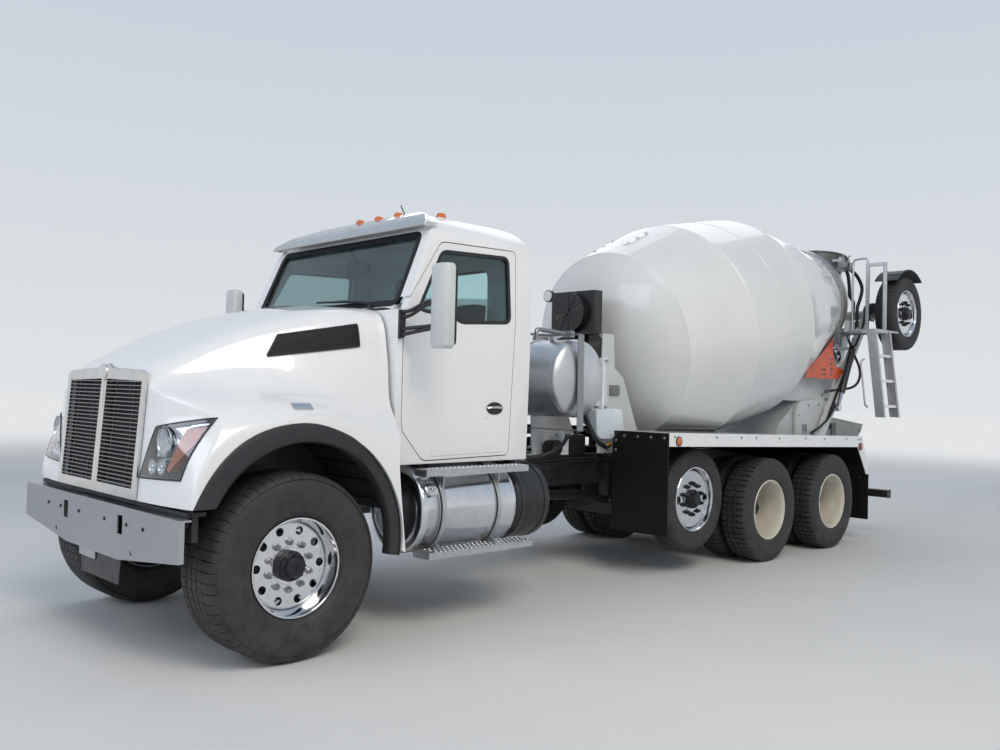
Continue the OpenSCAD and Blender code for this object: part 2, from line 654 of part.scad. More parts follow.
grille_y = 625;
grille_z0 = 950;
grille_z1 = 1735;
mouth_y = 575;
mouth_z0 = 1010;
mouth_z1 = 1650;
module hood() {
  color([0.95, 0.95, 0.95]) from_front_axle() difference() {
    hood_form(0);
    hood_form(hood_t, 300);
    both_sides() translate([arch_x, 700, arch_z]) rotate([-90, 0, 0]) cylinder(r = arch_r, h = 700);
    bar([500, -mouth_y, mouth_z0], [900, mouth_y, mouth_z1]);
    both_sides() lamp_patch(seat_gap, 60, -110);
  }
}

vent_outline = [[35, 1818], [-40, 1950], [-570, 2050], [-570, 1906]];
flare_in = 662;
module hood_trim() {
  color([0.05, 0.05, 0.05]) from_front_axle() {
    // Flares round the wheel openings
    both_sides() intersection() {
      translate([arch_x, fender_y - 60, arch_z]) rotate([-90, 0, 0]) difference() {
        cylinder(r = arch_r - 1, h = 68);
        translate([0, 0, -1]) cylinder(r = flare_in, h = 70);
      }
      side_plate([[arch_x, hood_z], [900, hood_z], [900, 1600], [-900, 1600], [-900, 590], [arch_x, 590]],
                 fender_y - 80, fender_y + 20);
    }
    // Air intakes let into the sides of the hood
    intersection() {
      difference() {
        hood_form(-8);
        hood_form(-seat_gap);
      }
      side_plate(vent_outline, -1200, 1200);
    }
  }
}

slat_pitch = 25;
module grille() {
  slab = [for (p = [[0.6, grille_z0], [0.6, grille_z1], [22, grille_z1], [22, grille_z0]]) [nose_at(0, p[1]) + p[0], p[1]]];
  color([0.7, 0.7, 0.72]) from_front_axle() {
    difference() {
      side_plate(slab, -grille_y, grille_y);
      both_sides() bar([500, 72, mouth_z0], [900, mouth_y, mouth_z1]);
    }
    both_sides() for (z = [mouth_z0 + 12:slat_pitch:mouth_z1 - 12]) {
      x = nose_at(0, z);
      side_plate([[x + 1, z - 4], [x + 18, z + 6], [x + 18, z + 9], [x + 1, z - 1]], 71, mouth_y + 1);
    }
  }
}

module headlamps() {
  color([0.85, 0.87, 0.9]) from_front_axle() both_sides() lamp_patch(0, 6, -60);
}

// Cab: one form, hollowed, then split into the shell, its doors and its glass

cab_side = [[-800, 1125], [-800, 2165], [-872, 2178], [-1120, 2757], [-1180, 2850], [-1300, 2925], [-1480, 2966],
            [-1700, 2972], [-1900, 2935], [-2020, 2860], [-2085, 2740], [-2092, 2600], [-2060, 1125]];
cab_front = [[1050, 1100], [1050, 2150], [1008, 2690], [965, 2780], [850, 2862], [600, 2930], [300, 2962], [0, 2974]];
cab_half = [for (p = cab_front) [p[0] - 1050 + cab_y, p[1]]];
door_outline = [[-850, 1360], [-850, 2180], [-1200, 2676], [-1940, 2695], [-1870, 1160], [-1040, 1143]];
glass_outline = [[-985, 2180], [-1210, 2603], [-1850, 2628], [-1850, 2150], [-1370, 2118], [-1300, 2153]];

module cab_form(d) {
  intersection() {
    translate([0, 1300, 0]) rotate([90, 0, 0]) linear_extrude(height = 2600) offset(delta = -d) polygon(cab_side);
    translate([-2300, 0, 0]) rotate([90, 0, 90]) linear_extrude(height = 1600) offset(delta = -d)
      polygon(concat(cab_half, [for (i = [len(cab_half) - 2:-1:0]) [-cab_half[i][0], cab_half[i][1]]]));
  }
}

module door_prism(d, side) {
  translate([0, side > 0 ? 1300 : -700, 0]) rotate([90, 0, 0]) linear_extrude(height = 600) offset(delta = -d) polygon(door_outline);
}

module glass_prism(d, side) {
  translate([0, side > 0 ? 1300 : -700, 0]) rotate([90, 0, 0]) linear_extrude(height = 600) offset(delta = -d) polygon(glass_outline);
}

module screen_prism(d) {
  front = [[-925, 2215], [925, 2215], [905, 2735], [-905, 2735]];
  translate([-1400, 0, 0]) rotate([90, 0, 90]) linear_extrude(height = 700) offset(delta = -d) polygon(front);
}

module rear_glass_prism(d) {
  translate([-2300, 0, 0]) rotate([90, 0, 90]) linear_extrude(height = 400) offset(delta = -d)
    polygon([[-620, 2150], [620, 2150], [600, 2600], [-600, 2600]]);
}

// Everything between the side walls, from end to end, d inside their outer faces
module between_walls(d) {
  translate([-2300, 0, 0]) rotate([90, 0, 90]) linear_extrude(height = 1600) offset(delta = -d)
    polygon(concat(cab_half, [for (i = [len(cab_half) - 2:-1:0]) [-cab_half[i][0], cab_half[i][1]]]));
  bar([-2300, d - cab_y, 1000], [-700, cab_y - d, 1300]);
}

module cab() {
  color([0.95, 0.95, 0.95]) from_front_axle() {
    difference() {
      cab_form(0);
      cab_form(cab_t);
      difference() {
        union() {
          door_prism(0, 1);
          door_prism(0, -1);
        }
        between_walls(cab_t + door_gap);
      }
      screen_prism(0);
      rear_glass_prism(0);
    }
    // Mounts down to the rails
    both_sides() for (x = [-900, -1980]) bar([x - 50, rail_y - 90, rail_top], [x + 50, rail_y - 10, 1125]);
  }
}

module windows() {
  color([0.1, 0.13, 0.15, 0.5]) from_front_axle() intersection() {
    difference() {
      cab_form(18);
      cab_form(18 + glass_t);
    }
    union() {
      screen_prism(seat_gap);
      rear_glass_prism(seat_gap);
    }
  }
}

module door(side) {
  color([0.95, 0.95, 0.95]) from_front_axle() {
    intersection() {
      difference() {
        cab_form(0);
        between_walls(cab_t);
        glass_prism(0, side);
      }
      door_prism(door_gap, side);
    }
    // Handle
    bar([-1800, min(side * (cab_y - 1), side * (cab_y + 28)), 1490], [-1620, max(side * (cab_y - 1), side * (cab_y + 28)), 1530]);
  }
}

module door_glass(side) {
  color([0.1, 0.13, 0.15, 0.5]) from_front_axle() intersection() {
    difference() {
      cab_form(18);
      cab_form(18 + glass_t);
    }
    glass_prism(seat_gap, side);
  }
}

// Y and the roof's height at each marker lamp
roof_lamps = [[-760, 2886], [-250, 2952], [0, 2952], [250, 2952], [760, 2886]];
module sun_visor() {
  color([0.95, 0.95, 0.95]) from_front_axle() {
    difference() {
      intersection() {
        side_plate([[-1050, 2768], [-1050, 2800], [-1160, 2880], [-1300, 2945], [-1330, 2940], [-1330, 2900], [-1120, 2768]],
                   -1000, 1000);
        translate([-2300, 0, 0]) rotate([90, 0, 90]) linear_extrude(height = 1600)
          polygon([[-1010, 2700], [1010, 2700], [1000, 2800], [860, 2885], [600, 2952], [0, 2990], [-600, 2952], [-860, 2885], [-1000, 2800]]);
      }
      cab_form(-seat_gap);
    }
    // Marker lamps on the roof
    for (p = roof_lamps) difference() {
      translate([-1420, p[0], p[1] - 30]) cylinder(r1 = 42, r2 = 30, h = 80, $fn = 32);
      cab_form(-seat_gap);
    }
  }
}

module mirrors() {
  color([0.6, 0.62, 0.63]) from_front_axle() both_sides() {
    // Head, then the two arms and their base on the cowl
    hull() for (y = [1320, 1450]) for (x = [-925, -885]) translate([x, y, 1930]) cylinder(r = 30, h = 495, $fn = 32);
    bar([-835, cab_y + 0.3, 1990], [-805, cab_y + 16, 2160]);
    rod([-820, cab_y + 10, 2140], [-880, 1380, 2200], 14);
    rod([-820, cab_y + 10, 2010], [-880, 1380, 2040], 14);
  }
}

module cab_interior() {
  floor_z = 1125 + cab_t;
  color([0.2, 0.2, 0.21]) from_front_axle() {
    // Dash
    side_plate([[-862, 1300], [-862, 2092], [-930, 2098], [-1010, 2130], [-1180, 2080], [-1200, 1900], [-1000, 1800], [-980, 1300]], -930, 930);
    for (y = [-500, 500]) {
      bar([-1950, y - 250, floor_z], [-1500, y + 250, floor_z + 260]);
      bar([-1970, y - 260, floor_z + 260], [-1440, y + 260, floor_z + 400]);
      strut([-1885, floor_z + 390], [-1950, floor_z + 1130], 110, y - 240, y + 240);
    }
    // Steering column and wheel
    rod([-1190, 500, 1950], [-1330, 500, 2040], 30);
    translate([-1330, 500, 2040]) rotate([0, -57, 0]) {
      rotate_extrude() translate([220, 0]) circle(r = 16, $fn = 24);
      for (a = [90, 210, 330]) rotate([0, 0, a]) bar([0, -18, -8], [222, 18, 8]);
      cylinder(r = 60, h = 20, center = true);
    }
  }
}

// Water tank, pedestals, drum and its drive

module water_tank() {
  x = -2930;
  z = 1760;
  r = 330;
  half = 800;
  dome = 90;
  color([0.93, 0.93, 0.92]) from_front_axle() {
    translate([x, 0, z]) rotate([90, 0, 0]) rotate_extrude()
      polygon([[0, -half - dome], [r * 0.5, -half - dome * 0.8], [r * 0.8, -half - dome * 0.45], [r - 8, -half],
               [r, -half + 20], [r, half - 20], [r - 8, half], [r * 0.8, half + dome * 0.45],
               [r * 0.5, half + dome * 0.8], [0, half + dome]]);
    // Legs and cradles onto the rails
    both_sides() {
      side_plate([[x - 60, rail_top], [x + 60, rail_top], [x + 60, z - 300], [x - 60, z - 300]], 330, 345);
      side_plate([[x - 120, rail_top], [x + 120, rail_top], [x + 120, rail_top + 14], [x - 120, rail_top + 14]], 330, rail_y - 4);
    }
    rod([x, 300, z + r - 5], [x, 300, z + r + 90], 25);
    rod([x, 300, z + r + 70], [x - 420, 300, z + r + 70], 18);
  }
}

ped_outline = [[-4280, 1085], [-4280, 1250], [-3985, 1790], [-3985, 2200], [-3700, 2200], [-3680, 1800], [-3650, 1250], [-3650, 1085]];
module front_pedestal() {
  wall = 14;
  half = 430;
  color([0.85, 0.86, 0.86]) from_front_axle() difference() {
    side_plate(ped_outline, -half, half);
    translate([0, half - wall, 0]) rotate([90, 0, 0]) linear_extrude(height = 2 * (half - wall)) offset(delta = -wall) polygon(ped_outline);
    // Oval holes through the side plates and the bore for the drive
    for (z = [1520, 1610]) translate([-3850, -half - 1, z]) rotate([-90, 0, 0]) cylinder(r = 70, h = 2 * half + 2);
    drum_place(-520) cylinder(r = 200, h = 400, center = true);
  }
}

// Moves to a place along the drum's axis, with +Z pointing to the rear along it
module drum_place(s) {
  translate([-drum_x, 0, drum_z]) rotate([0, drum_tilt - 90, 0]) translate([0, 0, s]) children();
}

head_bulge = 300;
module drum_drive() {
  color([0.12, 0.12, 0.13]) from_front_axle() {
    // Gearbox in the pedestal with the hydraulic motor ahead of it
    drum_place(-head_bulge - 25) cylinder(r = 150, h = 24.5);
    drum_place(-700) cylinder(r = 199, h = 375);
    drum_place(-880) cylinder(r = 110, h = 180);
    // Oil cooler on the pedestal's top, with its fan shroud and reservoir
    bar([-3830, -250, 2210], [-3720, 300, 2620]);
    translate([-3720, 20, 2415]) rotate([0, 90, 0]) cylinder(r = 190, h = 60);
    bar([-3870, -200, 2200.3], [-3700, 250, 2210]);
    rod([-3775, -250, 2560], [-3775, -330, 2600], 12);
    translate([-3775, -340, 2600]) rotate([0, 90, 0]) cylinder(r = 60, h = 40, center = true);
  }
}

// Radius and distance along the axis of the drum's outline
function drum_outline(d) =
  let (cone_end = front_cone + belly_len + rear_cone, bow = 1654)
  concat([for (i = [0:8]) let (r = (head_r - d * 0.8) * i / 8) [r, d - head_bulge + bow - sqrt(bow * bow - r * r)]],
         [[belly_r - d, front_cone + d * 0.1], [belly_r - 4 - d, front_cone + belly_len - d * 0.1], [mouth_r - d, cone_end + (d > 0 ? 1 : 0)]]);

ring_s = 3780;
module drum() {
  color([0.93, 0.93, 0.92]) from_front_axle() drum_place(0) {
    rotate_extrude() difference() {
      polygon(concat(drum_outline(0), [[0, front_cone + belly_len + rear_cone]]));
      polygon(concat(drum_outline(drum_t), [[0, front_cone + belly_len + rear_cone + 1]]));
    }
    // Roller ring on its seat, and the bead round the mouth
    cone_r = mouth_r + (belly_r - mouth_r) * (front_cone + belly_len + rear_cone - ring_s) / rear_cone;
    translate([0, 0, ring_s - 60]) rotate_extrude() polygon([[cone_r + 12, 0], [ring_r, 0], [ring_r, 110], [cone_r - 12, 110]]);
  }
}

ped_half = 425;
ped_wall = 14;
ped_rear_outline = [[-6800, 1085], [-7900, 1085], [-8100, 1450], [-8560, 2220], [-8560, 2360], [-8400, 2360], [-8355, 2110],
                    [-8335, 2035], [-8030, 1998], [-7450, 1620], [-7000, 1350]];
roller_angle = 33;
roller_reach = ring_r + roller_r + seat_gap;
module roller_place(side) {
  drum_place(ring_s - 5) rotate([0, 0, -side * roller_angle]) translate([-roller_reach, 0, 0]) children();
}

module roller(side) {
  color([0.3, 0.3, 0.32]) from_front_axle() roller_place(side) difference() {
    cylinder(r = roller_r, h = 100, center = true);
    cylinder(r = 30 + pin_gap, h = 102, center = true);
  }
}

barrel_y = 630;
barrel_base = [-8450, 2300];
module rear_pedestal() {
  half = ped_half;
  color([0.85, 0.86, 0.86]) from_front_axle() {
    both_sides() side_plate(ped_rear_outline, half - 14, half);
    // Cross webs: front, rear and a shelf below the rollers
    side_plate([[-6800, 1085], [-7000, 1350], [-7450, 1620], [-7462, 1610], [-7012, 1336], [-6814, 1085]], -half + ped_wall, half - ped_wall);
    side_plate([[-7900, 1085], [-8100, 1450], [-8088, 1456], [-7886, 1085]], -half + ped_wall, half - ped_wall);
    side_plate([[-8320, 1990], [-8320, 2004], [-8040, 2004], [-8040, 1990]], -560, 560);
    // Cheeks that hold each roller's pin
    for (side = [-1, 1]) roller_place(side) {
      for (z = [-78, 58]) bar([-175, -40, z], [45, 40, z + 20]);
      cylinder(r = 30, h = 156, center = true);
      bar([-175, -40, -78], [-roller_r - 8, 40, 78]);
    }
    // Pins for the booster's arms and for its two cylinders
    both_sides() {
      translate([booster_pivot[0], half - 2, booster_pivot[1]]) rotate([-90, 0, 0]) cylinder(r = 35, h = 180);
      translate([barrel_base[0], half - 2, barrel_base[1]]) rotate([-90, 0, 0]) cylinder(r = 22, h = 262);
      translate([booster_pivot[0], half, booster_pivot[1]]) rotate([-90, 0, 0]) cylinder(r = 60, h = 70);
    }
  }
}

// Funnel with flat walls between an upper and a lower rectangle [x low, x high, half width, z at x low, z at x high]
module funnel(top, low, wall) {
  module block(d) {
    hull() for (q = [[top, d > 0 ? 5 : 0], [low, d > 0 ? -5 : 0]]) {
      r = q[0];
      side_plate([[r[0] + d, r[3] + q[1]], [r[1] - d, r[4] + q[1]], [r[1] - d, r[4] + q[1] + 1], [r[0] + d, r[3] + q[1] + 1]], -r[2] + d, r[2] - d);
    }
  }
  difference() {
    block(0);
    block(wall);
  }
}

module hopper() {
  color([0.75, 0.77, 0.78]) from_front_axle() {
    funnel([-8950, -8400, 430, 3620, 3620], [-8620, -8360, 300, 2960, 3080], 8);
    funnel([-8930, -8390, 400, 2600, 2300], [-8760, -8480, 165, 1455, 1455], 8);
    // Posts inside the pedestal's side plates, up to the hopper's rim
    both_sides() bar([-8560, 385, 2240], [-8520, ped_half - ped_wall - seat_gap, 3600]);
  }
}

chute_x = -8610;
chute_pin_r = 40;
hinge_z = 1290;
module chute_post() {
  color([0.2, 0.2, 0.22]) from_front_axle() translate([chute_x, 0, 0]) {
    difference() {
      translate([0, 0, 962]) cylinder(r = 85, h = 88);
      translate([0, 0, 960]) cylinder(r = chute_pin_r + pin_gap, h = 100);
    }
    translate([0, 0, 1050.3]) cylinder(r = 85, h = 14);
    bar([-60, -chute_r - 45, 1064], [60, chute_r + 45, 1078]);
    both_sides() {
      bar([-60, chute_r + 30, 1064], [60, chute_r + 45, hinge_z + 40]);
      translate([0, chute_r + 4, hinge_z]) rotate([-90, 0, 0]) cylinder(r = 20, h = 40);
    }
  }
}

chute_slope = 6;
module chute() {
  wall = 5;
  color([0.8, 0.81, 0.82]) from_front_axle() translate([chute_x, 0, hinge_z]) rotate([0, -chute_slope, 0]) {
    translate([210, 0, 110]) rotate([0, -90, 0]) difference() {
      cylinder(r = chute_r, h = chute_len);
      translate([0, 0, -1]) cylinder(r = chute_r - wall, h = chute_len + 2);
      translate([0, -400, -1]) cube([400, 800, chute_len + 2]);
    }
    // Rims, and the bosses round the hinge pins
    both_sides() {
      bar([210 - chute_len, chute_r - 8, 104], [210, chute_r + 14, 116]);
      difference() {
        union() {
          translate([0, chute_r - 12, 0]) rotate([-90, 0, 0]) cylinder(r = 40, h = 36);
          bar([-40, chute_r - 8, 0], [40, chute_r + 4, 106]);
        }
        translate([0, chute_r - 13, 0]) rotate([-90, 0, 0]) cylinder(r = 20 + pin_gap, h = 60);
      }
    }
  }
}

ladder_x = -8300;
module ladder() {
  rail_low = 1450;
  deck_z = 2500;
  post_top = 3360;
  color([0.78, 0.79, 0.8]) from_front_axle() {
    for (y = [835, 1115]) bar([ladder_x - 40, y - 13, rail_low], [ladder_x + 40, y + 13, deck_z]);
    for (i = [0:3]) bar([ladder_x - 28, 846, rail_low + 60 + i * 280], [ladder_x + 28, 1104, rail_low + 85 + i * 280]);
    // Deck with its side plate, carried from the pedestal
    bar([-8620, 500, deck_z - 20], [ladder_x + 40, 1128, deck_z]);
    bar([-8620, ped_half + seat_gap, deck_z - 20], [-8525, 500, deck_z]);
    bar([-8620, 600, deck_z], [ladder_x + 40, 606, deck_z + 200]);
    bar([-8555, ped_half + seat_gap, 2330], [-8525, ped_half + 12, deck_z - 20]);
    for (y = [835, 1055]) bar([ladder_x - 110, y - 20, deck_z], [ladder_x - 70, y + 20, post_top]);
    bar([ladder_x - 110, 835, post_top - 40], [ladder_x - 70, 1055, post_top]);
  }
}

arm_y0 = 500;
arm_y1 = 570;
module booster_frame() {
  a = booster_pivot;
  b = booster_axle;
  d = (b - a) / arm_len;
  pin = a + 500 * d;
  color([0.85, 0.86, 0.86]) from_front_axle() {
    both_sides() {
      difference() {
        union() {
          strut(a, b, 130, arm_y0, arm_y1);
          translate([a[0], arm_y0, a[1]]) rotate([-90, 0, 0]) cylinder(r = 85, h = arm_y1 - arm_y0);
        }
        translate([a[0], arm_y0 - 1, a[1]]) rotate([-90, 0, 0]) cylinder(r = 35 + pin_gap, h = 80);
      }
      // Spindle outside the axle beam
      translate([b[0], small_disc_y - 30, b[1]]) rotate([90, 0, 0]) cylinder(r = spindle_r, h = small_disc_y - 30 - 780);
      translate([b[0], 844, b[1]]) rotate([90, 0, 0]) cylinder(r = 190, h = 12);
      // Quarter fender over the raised tyre, on two stays
      translate([b[0], 0, b[1]]) intersection() {
        translate([0, 815, 0]) rotate([-90, 0, 0]) difference() {
          cylinder(r = 560, h = 290);
          translate([0, 0, -1]) cylinder(r = 553, h = 292);
        }
        side_plate([[0, 0], [470, 470], [470, 700], [-520, 700], [-520, 300]], 700, 1200);
      }
      rod([b[0], 770, b[1]], [b[0] + 200, 822, b[1] + 520], 16);
      rod([b[0], 770, b[1]], [b[0] - 300, 822, b[1] + 466], 16);
    }
    translate([b[0], 0, b[1]]) rotate([90, 0, 0]) cylinder(r = 62, h = 1590, center = true);
  }
}

barrel_pin = booster_pivot + 500 * [-cos(arm_angle), sin(arm_angle)];
cylinder_rest = norm(barrel_pin - barrel_base);
cylinder_turn = atan2(barrel_pin[0] - barrel_base[0], barrel_pin[1] - barrel_base[1]);
module along_cylinder() {
  from_front_axle() both_sides() translate([barrel_base[0], barrel_y, barrel_base[1]]) rotate([0, cylinder_turn, 0]) children();
}

barrel_len = 640;
module booster_barrels() {
  color([0.2, 0.2, 0.21]) along_cylinder() difference() {
    union() {
      rotate([90, 0, 0]) cylinder(r = 42, h = 60, center = true);
      translate([0, 0, 30]) cylinder(r = 40, h = barrel_len - 30);
    }
    rotate([90, 0, 0]) cylinder(r = 22 + pin_gap, h = 62, center = true);
    translate([0, 0, 90]) cylinder(r = 25 + pin_gap, h = barrel_len);
  }
}

module booster_rods() {
  color([0.8, 0.8, 0.82]) along_cylinder() {
    translate([0, 0, 120]) cylinder(r = 25, h = cylinder_rest - 120 - 20);
    translate([0, 0, cylinder_rest]) rotate([90, 0, 0]) cylinder(r = 45, h = 60, center = true);
    translate([0, -barrel_y + arm_y1 + seat_gap, cylinder_rest]) rotate([-90, 0, 0]) cylinder(r = 28, h = 40);
  }
}

frame();
bumper();
engine();
front_axle();
knuckle();  // knuckle_left
mirror([0, 1, 0]) knuckle();  // knuckle_right
rear_axles();
pusher_axle();
fuel_tank();
side_steps();
chassis_boxes();
fenders();
mud_flaps();
front_left() front_tyre();  // tyre_front_left
front_right() front_tyre();  // tyre_front_right
front_left() color([0.85, 0.86, 0.88]) front_wheel();  // wheel_front_left
front_right() color([0.85, 0.86, 0.88]) front_wheel();  // wheel_front_right
pusher_left() small_tyre();  // tyre_pusher_left
pusher_right() small_tyre();  // tyre_pusher_right
pusher_left() color([0.85, 0.86, 0.88]) small_wheel();  // wheel_pusher_left
pusher_right() color([0.85, 0.86, 0.88]) small_wheel();  // wheel_pusher_right
drive1_left() dual_tyres();  // tyres_drive1_left
drive1_right() dual_tyres();  // tyres_drive1_right
drive1_left() color([0.92, 0.91, 0.87]) dual_wheels();  // wheels_drive1_left
drive1_right() color([0.92, 0.91, 0.87]) dual_wheels();  // wheels_drive1_right
drive2_left() dual_tyres();  // tyres_drive2_left
drive2_right() dual_tyres();  // tyres_drive2_right
drive2_left() color([0.92, 0.91, 0.87]) dual_wheels();  // wheels_drive2_left
drive2_right() color([0.92, 0.91, 0.87]) dual_wheels();  // wheels_drive2_right
booster_left() small_tyre();  // tyre_booster_left
booster_right() small_tyre();  // tyre_booster_right
booster_left() color([0.85, 0.86, 0.88]) small_wheel();  // wheel_booster_left
booster_right() color([0.85, 0.86, 0.88]) small_wheel();  // wheel_booster_right
hood();
hood_trim();
grille();
headlamps();
cab();
windows();
door(1);  // door_left
door(-1);  // door_right
door_glass(1);  // door_glass_left
door_glass(-1);  // door_glass_right
sun_visor();
mirrors();
cab_interior();
water_tank();
front_pedestal();
drum_drive();
drum();
rear_pedestal();
roller(1);  // roller_left
roller(-1);  // roller_right
hopper();
chute_post();
chute();
ladder();
booster_frame();
booster_barrels();
booster_rods();
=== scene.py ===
import bmesh
import bpy
import json
from math import acos, asin, atan2, copysign, cos, degrees, pi, radians, sin, sqrt
from mathutils import Matrix, Vector, geometry
from mathutils.bvhtree import BVHTree

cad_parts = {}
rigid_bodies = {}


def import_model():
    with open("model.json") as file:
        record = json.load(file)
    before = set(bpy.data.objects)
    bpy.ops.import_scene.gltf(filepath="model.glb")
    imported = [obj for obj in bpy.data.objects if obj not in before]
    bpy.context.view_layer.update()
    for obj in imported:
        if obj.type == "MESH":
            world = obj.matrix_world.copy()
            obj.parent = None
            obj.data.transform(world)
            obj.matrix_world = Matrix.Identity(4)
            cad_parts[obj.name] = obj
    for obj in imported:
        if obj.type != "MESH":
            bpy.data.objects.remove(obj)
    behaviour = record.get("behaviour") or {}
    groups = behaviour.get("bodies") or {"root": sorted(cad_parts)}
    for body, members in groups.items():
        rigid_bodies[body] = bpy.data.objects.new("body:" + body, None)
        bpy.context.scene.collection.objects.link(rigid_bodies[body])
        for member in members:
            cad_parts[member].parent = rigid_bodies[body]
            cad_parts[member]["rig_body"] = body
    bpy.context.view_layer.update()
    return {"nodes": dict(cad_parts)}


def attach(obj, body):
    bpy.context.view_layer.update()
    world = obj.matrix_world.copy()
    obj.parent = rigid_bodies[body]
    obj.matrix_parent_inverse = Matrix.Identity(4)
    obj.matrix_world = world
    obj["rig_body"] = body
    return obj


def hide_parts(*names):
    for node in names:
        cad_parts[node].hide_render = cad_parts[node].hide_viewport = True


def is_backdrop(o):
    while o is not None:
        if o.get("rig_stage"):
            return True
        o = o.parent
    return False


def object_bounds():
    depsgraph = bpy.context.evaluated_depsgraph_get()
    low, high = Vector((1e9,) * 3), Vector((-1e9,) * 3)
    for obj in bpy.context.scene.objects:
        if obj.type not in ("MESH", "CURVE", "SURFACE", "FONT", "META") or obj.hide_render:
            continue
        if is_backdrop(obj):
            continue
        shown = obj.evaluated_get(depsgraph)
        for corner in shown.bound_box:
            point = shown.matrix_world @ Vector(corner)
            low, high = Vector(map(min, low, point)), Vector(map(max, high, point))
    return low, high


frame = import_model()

# Pieces are drawn in metres from the front axle: X forward, Y to the driver's left, Z up.
FRONT_AXLE = 4.4
SIDES = {"left": 1, "right": -1}
BOTH = (-1, 1)
STILL = Matrix.Identity(4)
PLANES = {"xz": lambda u, v, t: (u, t, v), "yz": lambda u, v, t: (t, u, v), "xy": lambda u, v, t: (u, v, t)}


# Places and outlines

def moved(x, y, z=0.0):
    return Matrix.Translation((x, y, z))


def spun(angle, axis):
    return Matrix.Rotation(radians(angle), 4, axis)


def along_y(x, z, y=0.0):
    """Places a turned shape on an axle that runs to the left."""
    return moved(x, y, z) @ spun(-90, "X")


def along_x(y, z, x=0.0):
    return moved(x, y, z) @ spun(90, "Y")


def steps_of(n, whole=2 * pi):
    return [whole * i / n for i in range(n)]


def circle(u, v, r, n=24):
    return [(u + r * cos(a), v + r * sin(a)) for a in steps_of(n)]


def rect(u0, v0, u1, v1):
    return [(u0, v0), (u1, v0), (u1, v1), (u0, v1)]


def head(r, h, crown=0.002):
    """Half section of a bolt head or a plug."""
    return [(0, 0), (r, 0), (r, h), (0, h + crown)]


def slot_hole(u, v, half_u, half_v, n=6):
    """A rounded slot, longer in v than in u."""
    return [(u + half_u * cos(turn + pi * i / n), v + sign * (half_v - half_u) + half_u
        * sin(turn + pi * i / n)) for sign, turn in ((1, 0), (-1, pi)) for i in range(n + 1)]


def rounded(outline, r, n=5):
    """A closed outline with its corners rounded by r."""
    made = []
    for i, b in enumerate(outline):
        a, b, c = Vector(outline[i - 1]), Vector(b), Vector(outline[(i + 1) % len(outline)])
        reach = min(r, (a - b).length / 2.2, (c - b).length / 2.2)
        p, q = b + (a - b).normalized() * reach, b + (c - b).normalized() * reach
        made += [tuple(p.lerp(b, k / n).lerp(b.lerp(q, k / n), k / n)) for k in range(n + 1)]
    return made


def offset(outline, d):
    """A closed outline with every edge moved inwards by d."""
    points = [Vector(p) for p in outline]
    area = sum(a.x * b.y - b.x * a.y for a, b in zip(points, points[1:] + points[:1]))
    sign = 1 if area > 0 else -1
    made = []
    for a, b, c in zip(points[-1:] + points, points, points[1:] + points[:1]):
        u, v = (b - a).normalized(), (c - b).normalized()
        p, q = Vector((-u.y, u.x)) * sign, Vector((-v.y, v.x)) * sign
        bisect = (p + q).normalized()
        made.append(tuple(b + bisect * d / max(0.3, bisect.dot(p))))
    return made


def smooth_path(points, per_span=6):
    """Catmull-Rom curve through the points."""
    p = [Vector(q) for q in points]
    p = [2 * p[0] - p[1], *p, 2 * p[-1] - p[-2]]
    made = []
    for a, b, c, d in zip(p, p[1:], p[2:], p[3:]):
        for t in (k / per_span for k in range(per_span)):
            made.append(0.5 * (2 * b + (c - a) * t + (2 * a - 5 * b + 4 * c - d) * t * t
                + (3 * b - a - 3 * c + d) * t * t * t))
    return [*made, p[-2]]


def smooth_line(pairs, per_span):
    return [tuple(p) for p in smooth_path(pairs, per_span)]


def corner_mix(c, u, v):
    """The place at u, v between four corners."""
    a, b, c, d = (Vector(p) for p in c)
    return (a * (1 - u) + b * u) * (1 - v) + (d * (1 - u) + c * u) * v


# Shapes and pieces

def as_object(bm, name):
    mesh = bpy.data.meshes.new(name)
    bm.to_mesh(mesh)
    bm.free()
    obj = bpy.data.objects.new(name, mesh)
    bpy.context.scene.collection.objects.link(obj)
    return obj


def discard(obj):
    mesh = obj.data
    bpy.data.objects.remove(obj)
    bpy.data.meshes.remove(mesh)


def baked(obj):
    """The mesh that an object's modifiers give, and the object is taken away."""
    graph = bpy.context.evaluated_depsgraph_get()
    mesh = bpy.data.meshes.new_from_object(obj.evaluated_get(graph), depsgraph=graph)
    discard(obj)
    return mesh


